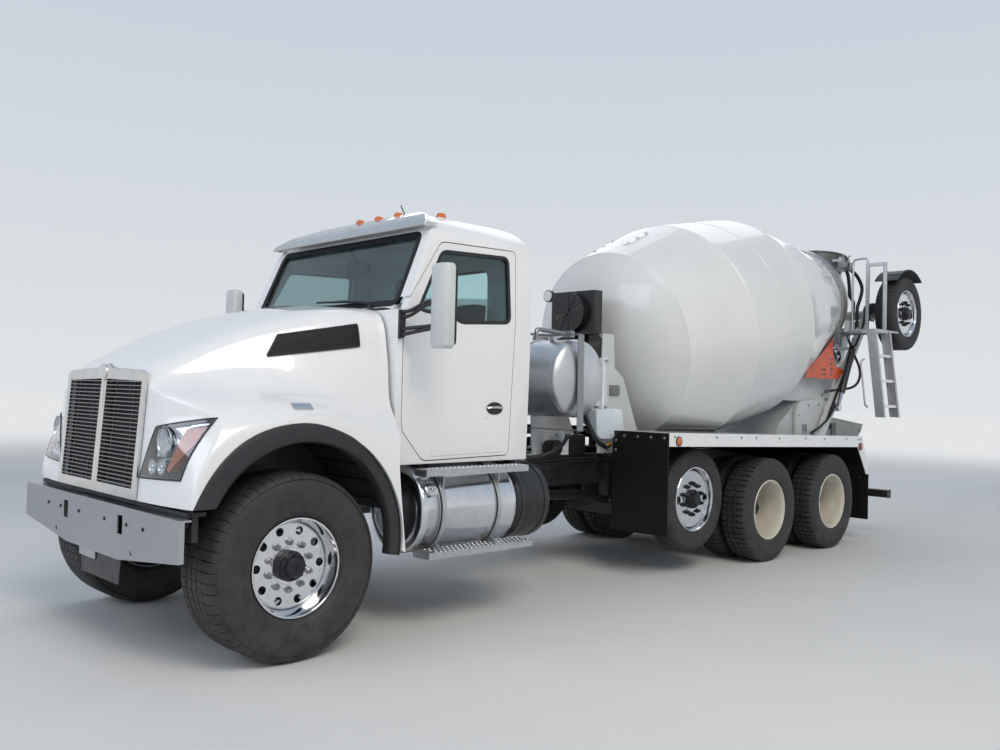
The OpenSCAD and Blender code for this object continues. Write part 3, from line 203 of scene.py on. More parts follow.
class Shape:
    """A piece in the making: forms are added until it is hung on its body."""

    def __init__(self, mesh=None, keep=False):
        self.bm = bmesh.new()
        if mesh:
            self.bm.from_mesh(mesh)
            if not keep:
                bpy.data.meshes.remove(mesh)

    def merged(self):
        bmesh.ops.remove_doubles(self.bm, verts=self.bm.verts, dist=1e-5)
        bmesh.ops.recalc_face_normals(self.bm, faces=self.bm.faces)
        return self

    def box(self, low, high, place=STILL):
        low, high = Vector(low), Vector(high)
        size = Matrix.Diagonal((*(high - low), 1))
        bmesh.ops.create_cube(self.bm, size=1, matrix=place @ Matrix.Translation((low + high) / 2) @ size)
        return self

    def plate(self, outline, low, high, plane="xz", holes=()):
        """A flat plate with any holes, between two values of the third axis."""
        put, new = PLANES[plane], self.bm.faces.new
        loops = [list(outline), *[list(h) for h in holes]]
        near, far = ([self.bm.verts.new(put(*p, t)) for loop in loops for p in loop] for t in (low, high))
        if holes:
            for t in geometry.tessellate_polygon([[Vector((*p, 0)) for p in loop] for loop in loops]):
                new([near[i] for i in t])
                new([far[i] for i in reversed(t)])
        else:
            new(near)
            new(far[::-1])
        start = 0
        for loop in loops:
            n = len(loop)
            for a in range(n):
                b = start + (a + 1) % n
                new((near[start + a], near[b], far[b], far[start + a]))
            start += n
        return self

    def turned(self, outline, place=STILL, steps=96, turn=360, start=0):
        """Revolves a closed outline of (radius, height) about its own Z axis."""
        full = turn == 360
        rings = []
        for i in range(steps if full else steps + 1):
            a = radians(start + turn * i / steps)
            rings.append([self.bm.verts.new(place @ Vector((r * cos(a), r * sin(a), h))) for r, h in outline])
        n = len(outline)
        for i in range(steps):
            a, b = rings[i], rings[(i + 1) % len(rings)]
            for k in range(n):
                m = (k + 1) % n
                if max(outline[k][0], outline[m][0]) >= 1e-7:
                    self.bm.faces.new((a[k], a[m], b[m], b[k]))
        if not full:
            self.bm.faces.new(rings[0])
            self.bm.faces.new(rings[-1][::-1])
        return self

    def skin(self, rings, looped=False):
        """Joins rings of points; unless the last meets the first, both ends get a lid."""
        made = [[self.bm.verts.new(p) for p in ring] for ring in rings]
        n = len(made[0])
        for a, b in zip(made, made[1:] + (made[:1] if looped else [])):
            for k in range(n):
                m = (k + 1) % n
                self.bm.faces.new((a[k], a[m], b[m], b[k]))
        if not looped:
            self.bm.faces.new(made[0][::-1])
            self.bm.faces.new(made[-1])
        return self

    def sheet(self, a, b):
        """Closes two grids of points into one thin sheet."""
        a, b = ([[self.bm.verts.new(p) for p in row] for row in grid] for grid in (a, b))
        rows, columns, new = len(a) - 1, len(a[0]) - 1, self.bm.faces.new
        for i in range(rows):
            for j in range(columns):
                new((a[i][j], a[i + 1][j], a[i + 1][j + 1], a[i][j + 1]))
                new((b[i][j], b[i][j + 1], b[i + 1][j + 1], b[i + 1][j]))
            for j in (0, columns):
                new((a[i][j], b[i][j], b[i + 1][j], a[i + 1][j]))
        for j in range(columns):
            for i in (0, rows):
                new((a[i][j], b[i][j], b[i][j + 1], a[i][j + 1]))
        return self

    def tube(self, points, radius, sides=10):
        """A round bar, pipe or hose along a list of points."""
        p = [Vector(q) for q in points]
        heading = (p[1] - p[0]).normalized()
        side = heading.orthogonal().normalized()
        rings = []
        for i, q in enumerate(p):
            ahead = (p[min(i + 1, len(p) - 1)] - p[max(i - 1, 0)]).normalized()
            side = heading.rotation_difference(ahead) @ side
            heading = ahead
            other = heading.cross(side)
            rings.append([q + radius * (cos(a) * side + sin(a) * other) for a in steps_of(sides)])
        return self.skin(rings)

    def strut(self, a, b, depth, y0, y1):
        """A flat bar between two points of the XZ plane."""
        a, b = Vector(a), Vector(b)
        n = Vector((-(b - a).y, (b - a).x)).normalized() * depth / 2
        return self.plate([tuple(a - n), tuple(b - n), tuple(b + n), tuple(a + n)], y0, y1)

    def both(self):
        """Adds the mirror image across the truck's middle plane."""
        made = bmesh.ops.duplicate(self.bm, geom=[*self.bm.verts, *self.bm.edges, *self.bm.faces])["geom"]
        bmesh.ops.scale(self.bm, vec=(1, -1, 1), verts=[g for g in made if isinstance(g, bmesh.types.BMVert)])
        bmesh.ops.reverse_faces(self.bm, faces=[g for g in made if isinstance(g, bmesh.types.BMFace)])
        return self

    def put(self, matrix):
        self.bm.transform(matrix)
        return self

    def add(self, other):
        mesh = bpy.data.meshes.new("added")
        other.bm.to_mesh(mesh)
        other.bm.free()
        self.bm.from_mesh(mesh)
        bpy.data.meshes.remove(mesh)
        return self

    def cut(self, *cutters, operation="DIFFERENCE"):
        """Cuts closed shapes out of this one, or keeps what they share."""
        body = as_object(self.merged().bm, "body")
        tools = [as_object(c.merged().bm, "cutter") for c in cutters]
        for tool in tools:
            m = body.modifiers.new("cut", "BOOLEAN")
            m.operation, m.solver, m.object = operation, "EXACT", tool
        made = Shape(baked(body))
        for tool in tools:
            discard(tool)
        return made

    def shared(self, other):
        return self.cut(other, operation="INTERSECT")

    def repeated(self, tree, part, values, place):
        """Runs a repeat tree on one part and adds the result."""
        part = as_object(Shape().add_copy(part).merged().bm, "part")
        host = as_object(bmesh.new(), "host")
        m = host.modifiers.new("repeat", "NODES")
        m.node_group = tree
        sockets = {s.name: s.identifier for s in tree.interface.items_tree if s.in_out == "INPUT"}
        for key, value in {"Part": part, **values}.items():
            m[sockets[key]] = value
        mesh = baked(host)
        mesh.transform(place)
        self.bm.from_mesh(mesh)
        bpy.data.meshes.remove(mesh)
        discard(part)
        return self

    def add_copy(self, other):
        copy = Shape()
        copy.bm = other.bm.copy()
        return self.add(copy)

    def ring(self, part, count, place, phase=0.0):
        """Copies of a part round the Z axis of its place; the part is drawn out along +X."""
        return self.repeated(RING, part, {"Count": count, "Phase": float(phase)}, place)

    def row(self, part, count, start, step, place=STILL):
        values = {"Count": count, "Start": tuple(map(float, start)), "Step": tuple(map(float, step))}
        return self.repeated(ROW, part, values, place)

    def piece(self, name, material, body="chassis", replaces=(), bevel=0.0, crease=35, tidy=True):
        """Finishes the shape as one piece of the truck and hangs it on its body."""
        if tidy:
            self.merged()
        obj = as_object(self.put(moved(FRONT_AXLE, 0)).bm, name)
        obj.data.shade_smooth()
        obj.data.set_sharp_from_angle(angle=radians(crease))
        obj.data.materials.append(material)
        if bevel:
            m = obj.modifiers.new("eased edges", "BEVEL")
            m.width, m.segments, m.limit_method, m.angle_limit = bevel, 2, "ANGLE", radians(40)
            m.harden_normals = True
        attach(obj, body)
        for n in [replaces] if isinstance(replaces, str) else replaces:
            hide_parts(n)
        return obj


def cad_shape(node_name):
    """A CAD node's own shape with its triangles joined."""
    made = Shape(frame["nodes"][node_name].data, keep=True)
    bmesh.ops.remove_doubles(made.bm, verts=made.bm.verts, dist=1e-5)
    bmesh.ops.dissolve_limit(made.bm, angle_limit=radians(0.4), verts=made.bm.verts, edges=made.bm.edges)
    return made.put(moved(-FRONT_AXLE, 0))


def softened(width, **materials):
    """CAD nodes that keep their own shape with its sharp edges eased."""
    for name, material in materials.items():
        body = frame["nodes"][name]["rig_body"]
        cad_shape(name).piece(name + "_finished", material, body, name, bevel=width, tidy=False)


# Node trees for what repeats

def node(tree, kind, settings=None, inputs=None):
    """Adds one node with its settings, values and links."""
    made = tree.nodes.new(kind)
    for key, value in (settings or {}).items():
        setattr(made, key, value)
    for key, value in (inputs or {}).items():
        if isinstance(value, bpy.types.NodeSocket):
            tree.links.new(value, made.inputs[key])
        else:
            made.inputs[key].default_value = value
    return made


def repeat_tree(name, inputs, points_and_turn):
    """A tree that puts one part on points, makes it real and gives it its material."""
    tree = bpy.data.node_groups.new(name, "GeometryNodeTree")
    sockets = {"Geometry": "Geometry", "Part": "Object", **inputs, "Finish": "Material"}
    for label, kind in sockets.items():
        tree.interface.new_socket(label, in_out="INPUT", socket_type="NodeSocket" + kind)
    tree.interface.new_socket("Geometry", in_out="OUTPUT", socket_type="NodeSocketGeometry")
    given = node(tree, "NodeGroupInput").outputs
    part = node(tree, "GeometryNodeObjectInfo", inputs={"Object": given["Part"]}).outputs["Geometry"]
    points, turn = points_and_turn(tree, given)
    placed = node(tree, "GeometryNodeInstanceOnPoints", inputs={"Points": points, "Instance": part,
        "Rotation": turn}).outputs[0]
    real = node(tree, "GeometryNodeRealizeInstances", inputs={"Geometry": placed}).outputs[0]
    done = node(tree, "GeometryNodeSetMaterial", inputs={"Geometry": real, "Material": given["Finish"]})
    node(tree, "NodeGroupOutput", inputs={"Geometry": done.outputs[0]})
    return tree


def ring_points(tree, given):
    """All points on the axis; each copy is turned by its share of a full turn."""
    line = node(tree, "GeometryNodeMeshLine", inputs={"Count": given["Count"], "Offset": (0, 0, 0)})
    share = node(tree, "ShaderNodeMath", {"operation": "DIVIDE"}, {0: 2 * pi, 1: given["Count"]})
    index = node(tree, "GeometryNodeInputIndex")
    angle = node(tree, "ShaderNodeMath", {"operation": "MULTIPLY_ADD"}, {0: index.outputs[0],
        1: share.outputs[0], 2: given["Phase"]})
    return line.outputs[0], node(tree, "ShaderNodeCombineXYZ", inputs={"Z": angle.outputs[0]}).outputs[0]


def row_points(tree, given):
    line = node(tree, "GeometryNodeMeshLine",
        inputs={"Count": given["Count"], "Start Location": given["Start"], "Offset": given["Step"]})
    return line.outputs[0], node(tree, "ShaderNodeCombineXYZ").outputs[0]


RING = repeat_tree("copies round an axle", {"Count": "Int", "Phase": "Float"}, ring_points)
ROW = repeat_tree("copies in a row", {"Count": "Int", "Start": "Vector", "Step": "Vector"}, row_points)


# Finishes. Each material is the real one's common name.


def linear(code):
    """An sRGB hex colour as linear RGBA."""
    parts = [int(code[i:i + 2], 16) / 255 for i in (1, 3, 5)]
    return (*[c / 12.92 if c <= 0.04045 else ((c + 0.055) / 1.055) ** 2.4 for c in parts], 1)


def noise(tree, place, scale, detail, roughness=0.5):
    inputs = {"Vector": place, "Scale": scale, "Detail": detail, "Roughness": roughness}
    return node(tree, "ShaderNodeTexNoise", inputs=inputs).outputs["Fac"]


def ranged(tree, value, low, high, to_low=0.0, to_high=1.0):
    inputs = {"Value": value, "From Min": low, "From Max": high, "To Min": to_low, "To Max": to_high}
    return node(tree, "ShaderNodeMapRange", inputs=inputs).outputs[0]


def blend(tree, amount, first, second):
    return node(tree, "ShaderNodeMix", {"data_type": "RGBA"}, {0: amount, 6: first, 7: second}).outputs[2]


def finish(name, slot, colour, second=None, patch_mm=400, roughness=0.4, rough_spread=0.06, grain_mm=3.0,
    bump_mm=0.0, stretch=(1, 1, 1), dust=None, dust_top=1.2, dust_most=0.5, **sockets):
    """A surface whose colour and gloss drift over patch_mm, with a relief of bump_mm at grain_mm."""
    mat = bpy.data.materials.new(name)
    mat.use_nodes = True
    tree = mat.node_tree
    shader = tree.nodes["Principled BSDF"]
    place = node(tree, "ShaderNodeTexCoord").outputs["Object"]
    scaled = node(tree, "ShaderNodeMapping", inputs={"Vector": place, "Scale": stretch}).outputs[0]
    patches = noise(tree, place, 1000 / patch_mm, 5.0, 0.6)
    colour_now = blend(tree, ranged(tree, patches, 0.32, 0.68), linear(colour), linear(second or colour))
    if dust:
        # Dust thrown up by the wheels thins out with height
        height = node(tree, "ShaderNodeSeparateXYZ", inputs={0: place}).outputs[2]
        low = ranged(tree, height, 0.0, dust_top, dust_most, 0.0)
        speck = ranged(tree, noise(tree, place, 9.0, 8.0, 0.75), 0.4, 0.75)
        amount = node(tree, "ShaderNodeMath", {"operation": "MULTIPLY"}, {0: low, 1: speck}).outputs[0]
        colour_now = blend(tree, amount, colour_now, linear(dust))
    tree.links.new(colour_now, shader.inputs["Base Color"])
    rough = ranged(tree, patches, 0.3, 0.7, max(0.02, roughness - rough_spread), roughness + rough_spread)
    tree.links.new(rough, shader.inputs["Roughness"])
    if bump_mm:
        grain = noise(tree, scaled, 1000 / grain_mm, 3.0)
        relief = node(tree, "ShaderNodeBump", inputs={"Height": grain, "Strength": 1.0,
            "Distance": bump_mm / 1000})
        tree.links.new(relief.outputs[0], shader.inputs["Normal"])
    for key, value in sockets.items():
        shader.inputs[key.replace("_", " ")].default_value = value
    return mat


# Two-pack white enamel, sprayed over primer: a wet-looking clear skin over a faint orange peel.
white_enamel = finish("white enamel", "white_paint", "#E6E8E9", "#E1E3E5", roughness=0.3, grain_mm=6,
    bump_mm=0.02, Coat_Weight=0.9, Coat_Roughness=0.05)
# The drum's enamel is thicker and less flat over rolled and welded plate.
drum_enamel = finish("drum enamel", "white_paint", "#E0E2E1", "#D6D8D7", patch_mm=900, roughness=0.34,
    grain_mm=180, bump_mm=0.9, Coat_Weight=0.7, Coat_Roughness=0.08)
# Light grey machine enamel on the pedestals and the booster: satin, with a little grime.
grey_enamel = finish("light grey machine enamel", "pedestal_grey", "#C9CDCF", "#BEC2C3", patch_mm=250,
    roughness=0.42, grain_mm=8, bump_mm=0.03, Coat_Weight=0.3, Coat_Roughness=0.2)
# Chassis enamel: a soft black that picks up road dust low down.
chassis_enamel = finish("black chassis enamel", "chassis_black", "#121315", "#1B1C1E", patch_mm=120,
    roughness=0.45, grain_mm=5, bump_mm=0.04, dust="#6E6454", dust_top=0.9, Coat_Weight=0.2)
machine_black = finish("black machine enamel", "machine_black", "#141517", "#1D1E20", patch_mm=90,
    roughness=0.42, grain_mm=4, bump_mm=0.03, Coat_Weight=0.3)
# Brushed stainless sheet: long fine lines across the bumper, smears where it was wiped.
brushed_stainless = finish("brushed stainless", "satin_steel", "#B9BBBE", "#B1B3B7", patch_mm=700,
    roughness=0.33, rough_spread=0.02, grain_mm=1.2, bump_mm=0.012, stretch=(1, 0.02, 1), Metallic=1.0)
# Polished aluminium: near mirror, with a haze of fine turned lines.
polished_aluminium = finish("polished aluminium", "polished_aluminium", "#E4E5E7", "#D5D7D9", patch_mm=70,
    roughness=0.13, rough_spread=0.04, grain_mm=3, bump_mm=0.01, Metallic=1.0)
tank_aluminium = finish("bright rolled aluminium", "polished_aluminium", "#DFE0E1", "#CFD1D3", patch_mm=130,
    roughness=0.19, rough_spread=0.05, grain_mm=2, bump_mm=0.01, stretch=(0.03, 1, 1), Metallic=1.0)
# Mill-finish aluminium: extruded rails and pressed treads, dull silver.
mill_aluminium = finish("mill aluminium", "plain_aluminium", "#C6C8CA", "#B6B8BA", patch_mm=60,
    roughness=0.36, grain_mm=2, bump_mm=0.02, Metallic=0.9)
bright_plate = finish("bright plated steel", "bright_trim", "#DDDCDA", "#CFCECC", patch_mm=90, roughness=0.12,
    rough_spread=0.03, Metallic=1.0)
slat_steel = finish("stainless slats", "bright_trim", "#9C9A97", "#8C8A88", patch_mm=30, roughness=0.28,
    Metallic=1.0)
rod_chrome = finish("ground chrome", "rod_chrome", "#D9DBDD", "#CDCFD1", roughness=0.08, rough_spread=0.02,
    Metallic=1.0)
zinc_plate = finish("zinc plated fasteners", "bright_trim", "#A6A7A9", "#8E8F92", patch_mm=15, roughness=0.34,
    Metallic=1.0)
# Dark phosphated steel of nuts and hubs.
black_iron = finish("oiled black iron", "machine_black", "#232427", "#303135", patch_mm=25, roughness=0.42,
    grain_mm=2, bump_mm=0.05, Metallic=0.5)
# Natural rubber and carbon black, matt, greyed by dust on the tread.
tyre_rubber = finish("tyre rubber", "tyre_rubber", "#2A2A2C", "#333334", patch_mm=300, roughness=0.66,
    grain_mm=2.5, bump_mm=0.06, dust="#6A655C", dust_top=1.6, dust_most=0.4, Specular_IOR_Level=0.4)
flap_rubber = finish("flap rubber", "flap_rubber", "#0D0D0F", "#151517", patch_mm=200, roughness=0.55,
    grain_mm=4, bump_mm=0.08, Specular_IOR_Level=0.3)
hose_rubber = finish("hose rubber", "flap_rubber", "#151618", "#1E1F21", patch_mm=30, roughness=0.5,
    grain_mm=2, bump_mm=0.05)
# Moulded polyolefin of the wheel flares: dark grey with a leather-like grain.
moulded_black = finish("moulded black plastic", "black_plastic", "#2A2B2E", "#323336", patch_mm=150,
    roughness=0.52, grain_mm=1.8, bump_mm=0.06, Specular_IOR_Level=0.4)
cast_black = finish("black housing plastic", "black_plastic", "#1B1C1F", "#242528", patch_mm=120,
    roughness=0.4, grain_mm=3, bump_mm=0.05)
engine_paint = finish("engine paint", "engine_grey", "#35373A", "#2A2B2E", patch_mm=60, roughness=0.5,
    grain_mm=5, bump_mm=0.1)
cream_enamel = finish("cream wheel enamel", "rim_cream", "#DAD6C9", "#CFCABB", patch_mm=80, roughness=0.34,
    grain_mm=6, bump_mm=0.03, dust="#9A927F", dust_top=0.9, dust_most=0.35, Coat_Weight=0.4)
orange_enamel = finish("orange enamel", "pedestal_grey", "#D9531C", "#C24615", patch_mm=70, roughness=0.4,
    Coat_Weight=0.4)
# Scoured trough steel, bright where the concrete slides.
trough_steel = finish("scoured trough steel", "worn_steel", "#8E8F8D", "#B2B2AE", patch_mm=90, roughness=0.45,
    rough_spread=0.12, grain_mm=4, bump_mm=0.08, stretch=(0.08, 1, 1), Metallic=0.7)
vinyl = finish("cab vinyl", "interior_grey", "#34363A", "#2B2D31", patch_mm=90, roughness=0.6, grain_mm=1.5,
    bump_mm=0.1)
amber_lens = finish("amber lens", "lamp_lens", "#E8781A", "#DF6A10", patch_mm=20, roughness=0.12,
    Coat_Weight=0.8, Transmission_Weight=0.25)
red_lens = finish("red lens", "lamp_lens", "#A8181A", "#97100F", patch_mm=20, roughness=0.15, Coat_Weight=0.8)
reflector = finish("vapour-plated reflector", "lamp_lens", "#D4D8DC", "#C5CACF", patch_mm=12, roughness=0.1,
    rough_spread=0.03, Metallic=1.0)
clear_lens = finish("clear polycarbonate", "lamp_lens", "#F4F7F9", patch_mm=200, roughness=0.03,
    rough_spread=0.01, Transmission_Weight=1.0, IOR=1.58)
# Laminated glass with a faint green-blue body tint.
glass = finish("tinted glass", "window_glass", "#B7CBCC", patch_mm=900, roughness=0.02, rough_spread=0.005,
    Transmission_Weight=1.0, IOR=1.45)
mirror_glass = finish("mirror glass", "bright_trim", "#DCE3E6", roughness=0.03, rough_spread=0.01,
    Metallic=1.0)


# Tyres and wheels are drawn on the left with the axle at the origin, then copied and mirrored

BEAD = 0.285
LIP = 0.014
NUT_CIRCLE = 0.28575 / 2
HAND_CIRCLE = 0.215
AXLE = along_y(0, 0)


def tyre_outline(r, w, skin):
    """Section of a casing: beads, side walls with raised rings, the crown skin below r."""
    h = r - BEAD
    wall = smooth_path([(16 / 1000 / h, 0.4), (0.09, 0.428), (0.15, 0.46), (0.32, 0.49), (0.5, 0.5),
        (0.7, 0.49), (0.84, 0.462), (0.92, 0.43)], 5)
    rings = ((0.16, 0.2, 0.003), (0.56, 0.575, 0.0018), (0.74, 0.757, 0.0022), (0.78, 0.787, 0.0014))
    half = [(BEAD, 0.4 * w)]
    half += [(BEAD + p.x * h, p.y * w + sum(rise for a, b, rise in rings if a <= p.x <= b)) for p in wall]
    half += [(r - skin - 0.004, 0.395 * w), (r - skin, 0.36 * w)]
    return half + [(a, -b) for a, b in reversed(half)]


def add_block(part, r, depth, along, mid, half, zig):
    """A block of the tread: its cuts across are straight and its long edges turn by zig."""
    low, high = mid - half, mid + half
    outline = [(-along, low), (0, low + zig), (along, low), (along, high), (0, high + zig), (-along, high)]
    part.plate(outline, r - depth, r, "yz")


def add_lug(part, r, w, along, inner, drop):
    """A lug at the edge of the tread that wraps down the shoulder."""
    outline = [(r - 0.02, inner * w), (r, inner * w), (r - 0.001, 0.365 * w), (r - 0.008, 0.415 * w),
        (r - drop * 0.6, 0.452 * w), (r - drop, 0.474 * w), (r - drop - 0.006, 0.45 * w),
        (r - 0.034, 0.4 * w)]
    for s in BOTH:
        part.plate([(a, s * b) for a, b in outline], -along, along)


def steer_tread(r, w, pitch):
    part = Shape()
    for k in (-1, 0, 1):
        add_block(part, r, 0.018, pitch - 0.0016, k * 0.145 * w, 0.062 * w, 0.007)
    add_lug(part, r, w, pitch - 0.003, 0.225, 0.034)
    return part


def lug_tread(r, w, pitch):
    part = Shape()
    for k in BOTH:
        add_block(part, r, 0.02, pitch - 0.005, k * 0.105 * w, 0.078 * w, 0.01)
    add_lug(part, r, w, pitch - 0.0065, 0.215, 0.048)
    return part


def tyre(r, w, y, tread, count):
    place = along_y(0, 0, y)
    return Shape().turned(tyre_outline(r, w, 0.015), place, 128).ring(tread(r, w, pi * r / count), count,
        place)


def add_rim(shape, w, y, seat):
    """Rim with its two rolled lips, its bead seats and its well; seat is where the disc meets it."""
    half = 0.4 * w
    edge = BEAD + LIP
    well = 0.268
    outer = [(edge - 0.01, half + LIP), (edge - 0.003, half + LIP - 0.001), (edge, half + LIP - 0.005),
        (edge, half + 0.004), (edge - 0.004, half + 0.001), (BEAD - 0.002, half - 0.002),
        (BEAD - 0.004, half - 0.03)]
    inner = [(edge - 0.013, half + LIP - 0.002), (edge - 0.016, half + 0.004), (BEAD - 0.01, half - 0.012),
        (BEAD - 0.0125, half - 0.045)]
    outer += [(well + 0.006, half - 0.055), (well + 0.006, -half + 0.055)] + [(a, -b) for a,
        b in reversed(outer)]
    inner += [(well - 0.003, min(half - 0.06, seat + 0.02)), (well - 0.003, -half + 0.06),
        *[(a, -b) for a, b in reversed(inner)]]
    shape.turned(outer + inner[::-1], along_y(0, 0, y), 128)


def add_disc(shape, y, holes, hole_r, thick=0.024):
    """Wheel disc with its hand holes: a flat face, a rolled edge at the rim, and the hub's ring."""
    cut = [circle(u, v, hole_r, 20) for u, v in circle(0, 0, HAND_CIRCLE, holes)]
    shape.plate(circle(0, 0, 0.2485, 96), y - thick, y, holes=cut)
    shape.turned([(0.248, y - thick), (0.248, y), (0.256, y - 0.003), (0.263, y - 0.012), (0.2655, y - 0.03),
        (0.2655, y - 0.045), (0.258, y - 0.045), (0.252, y - thick)], AXLE)
    shape.turned([(0.1, y - 0.002), (0.1, y + 0.003), (0.112, y + 0.004), (0.115, y - 0.002)], AXLE, 64)


def add_nuts(shape, y, size=0.0165, h=0.03):
    """Ten flanged nuts on their studs, standing on a disc at y."""
    here = moved(NUT_CIRCLE, 0)
    part = Shape().turned([(0, 0), (size * 1.35, 0), (size * 1.3, h * 0.16), (size, h * 0.22), (0, h * 0.22)],
        here, 16)
    part.turned([(0, 0), (size * 1.1, h * 0.1), (size * 1.1, h * 0.88), (size * 0.9, h), (0, h)], here, 6)
    part.turned([(0, h * 0.9), (size * 0.6, h * 0.9), (size * 0.6, h * 1.2), (size * 0.5, h * 1.3),
        (0, h * 1.3)], here, 12)
    shape.ring(part, 10, along_y(0, 0, y), pi / 10)


def add_hub(shape, y, out, r, brake_in):
    """Hub outside the disc with its flange bolts and cap, and the ribbed brake drum inside."""
    profile = ((0, 0), (1, 0), (1, 0.32), (0.93, 0.38), (0.9, 0.62), (0.72, 0.7), (0.66, 0.93), (0.58, 1),
        (0.2, 1), (0.16, 0.94), (0, 0.94))
    shape.turned([(a * r, b * out) for a, b in profile], along_y(0, 0, y), 48)
    bolt = Shape().turned([(0, 0), (0.0085, 0), (0.0085, 0.01), (0.0065, 0.012), (0, 0.012)],
        moved(r * 0.8, 0), 6)
    shape.ring(bolt, 8, along_y(0, 0, y + out * 0.65))
    inner = y - 0.024
    drum = [(0.05, brake_in), (0.185, brake_in), (0.208, brake_in + 0.006)]
    ribs = 5
    for i in range(ribs):
        at = brake_in + 0.02 + (inner - 0.05 - brake_in) * i / ribs
        drum += [(0.208, at), (0.202, at + 0.004), (0.202, at + 0.018), (0.208, at + 0.022)]
    drum += [(0.205, inner - 0.012), (0.19, inner - 0.0005), (0.05, inner - 0.0005)]
    shape.turned(drum, AXLE, 64)


def copies(name, shape, material, places, node_name=None):
    """One shape drawn on the left, copied to each side of each (tag, body, x, z)."""
    mesh = bpy.data.meshes.new(name)
    shape.merged().bm.to_mesh(mesh)
    for tag, body, x, z in places:
        for side, s in SIDES.items():
            copy = Shape(mesh, keep=True)
            if s < 0:
                bmesh.ops.scale(copy.bm, vec=(1, -1, 1), verts=copy.bm.verts)
                bmesh.ops.reverse_faces(copy.bm, faces=copy.bm.faces)
            replaced = [f"{node_name}_{tag}_{side}"] if node_name else []
            copy.put(moved(x, 0, z)).piece(f"{name}_{tag}_{side}", material, f"{body}_{side}", replaced,
                tidy=False)
    bpy.data.meshes.remove(mesh)


PIVOT = Vector((-7.75, 1.15))
BOOSTER_ARM, BOOSTER_TURN = 2.07, radians(51.5)
BOOSTER_AXLE = PIVOT + BOOSTER_ARM * Vector((-cos(BOOSTER_TURN), sin(BOOSTER_TURN)))
FRONT_PLACES = [("front", "front_wheel", 0, 0.56)]
SMALL_PLACES = [("pusher", "pusher_wheel", -4.3, 0.682), ("booster", "booster_wheel", *BOOSTER_AXLE)]
DRIVE_PLACES = [("drive1", "drive1_wheels", -5.44, 0.517), ("drive2", "drive2_wheels", -6.78, 0.517)]
FRONT_Y, SMALL_Y, DUAL_Y, DUAL_HALF = 1.005, 0.958, 0.91, 0.165
FRONT_DISC, SMALL_DISC, DUAL_DISC = FRONT_Y + 0.085, SMALL_Y + 0.078, DUAL_Y + 0.012

copies("tyre", tyre(0.56, 0.42, FRONT_Y, steer_tread, 58), tyre_rubber, FRONT_PLACES, "tyre")
copies("tyre", tyre(0.472, 0.252, SMALL_Y, steer_tread, 52), tyre_rubber, SMALL_PLACES, "tyre")
pair = [tyre(0.517, 0.275, DUAL_Y + s * DUAL_HALF, lug_tread, 54) for s in (1, -1)]
copies("tyres", pair[0].add(pair[1]), tyre_rubber, DRIVE_PLACES, "tyres")

shape = Shape()
add_rim(shape, 0.42, FRONT_Y, 0.085)
add_disc(shape, FRONT_DISC, 10, 0.026)
copies("wheel", shape, polished_aluminium, FRONT_PLACES, "wheel")
shape = Shape()
add_hub(shape, FRONT_DISC, 0.088, 0.092, 0.962)
copies("hub", shape, black_iron, FRONT_PLACES)
shape = Shape()
add_nuts(shape, FRONT_DISC)
copies("nuts", shape, zinc_plate, FRONT_PLACES)

shape = Shape()
add_rim(shape, 0.252, SMALL_Y, 0.078)
add_disc(shape, SMALL_DISC, 2, 0.038)
copies("wheel", shape, polished_aluminium, SMALL_PLACES, "wheel")
shape = Shape()
add_hub(shape, SMALL_DISC, 0.062, 0.088, 0.85)
add_nuts(shape, SMALL_DISC)
copies("hub", shape, black_iron, SMALL_PLACES)

shape = Shape()
for s in BOTH:
    add_rim(shape, 0.275, DUAL_Y + s * DUAL_HALF, -s * 0.153)
add_disc(shape, DUAL_DISC, 5, 0.034)
shape.turned(rect(0.2655, DUAL_Y - 0.069, 0.276, DUAL_Y + 0.069), AXLE)
copies("wheels", shape, cream_enamel, DRIVE_PLACES, "wheels")
shape = Shape()
add_hub(shape, DUAL_DISC, 0.12, 0.098, 0.69)
add_nuts(shape, DUAL_DISC)
copies("hubs", shape, black_iron, DRIVE_PLACES)

# Hood: one smooth shell through the measured sections

NOSE_Z, COWL_Z, HOOD_Z, FENDER_Y = 1.75, 2.215, 0.948, 1.22
# Y at the nose, halfway and at the cowl; Z at the same three; how far the row runs past the rear edge
HOOD_ROWS = [(0.0, 0.0, 0.0, NOSE_Z, COWL_Z - 0.11, COWL_Z, 0), (0.43, 0.5, 0.56, NOSE_Z - 0.022, COWL_Z
    - 0.13, COWL_Z - 0.025, 0), (0.6, 0.79, 0.88, NOSE_Z - 0.07, COWL_Z - 0.2, COWL_Z - 0.085, 0),
    (0.655, 0.87, 0.975, NOSE_Z - 0.135, COWL_Z - 0.415, COWL_Z - 0.365, 0), (0.86, 0.98, 1.01, NOSE_Z - 0.19,
    COWL_Z - 0.595, COWL_Z - 0.655, 0), (1.04, 1.12, 1.09, NOSE_Z - 0.25, COWL_Z - 0.685, COWL_Z - 0.795, 0),
    (1.15, 1.195, 1.18, NOSE_Z - 0.35, COWL_Z - 0.745, COWL_Z - 0.915, -0.03), (FENDER_Y - 0.022, FENDER_Y,
    FENDER_Y, NOSE_Z - 0.5, COWL_Z - 0.825, COWL_Z - 1.095, -0.06), (FENDER_Y - 0.012, FENDER_Y, FENDER_Y,
    HOOD_Z, 0.85, 0.575, 0.005), ]
HOOD_REAR, NOSE_EDGE = 0.78, 0.022
ARCH, ARCH_R = Vector((-0.02, 0.66)), 0.74
ARCH_AXLE = along_y(*ARCH)


def through(a, b, c, t):
    """A smooth curve through three values at 0, 0.5 and 1."""
    return a * (1 - t) * (1 - 2 * t) + 4 * b * t * (1 - t) + c * t * (2 * t - 1)


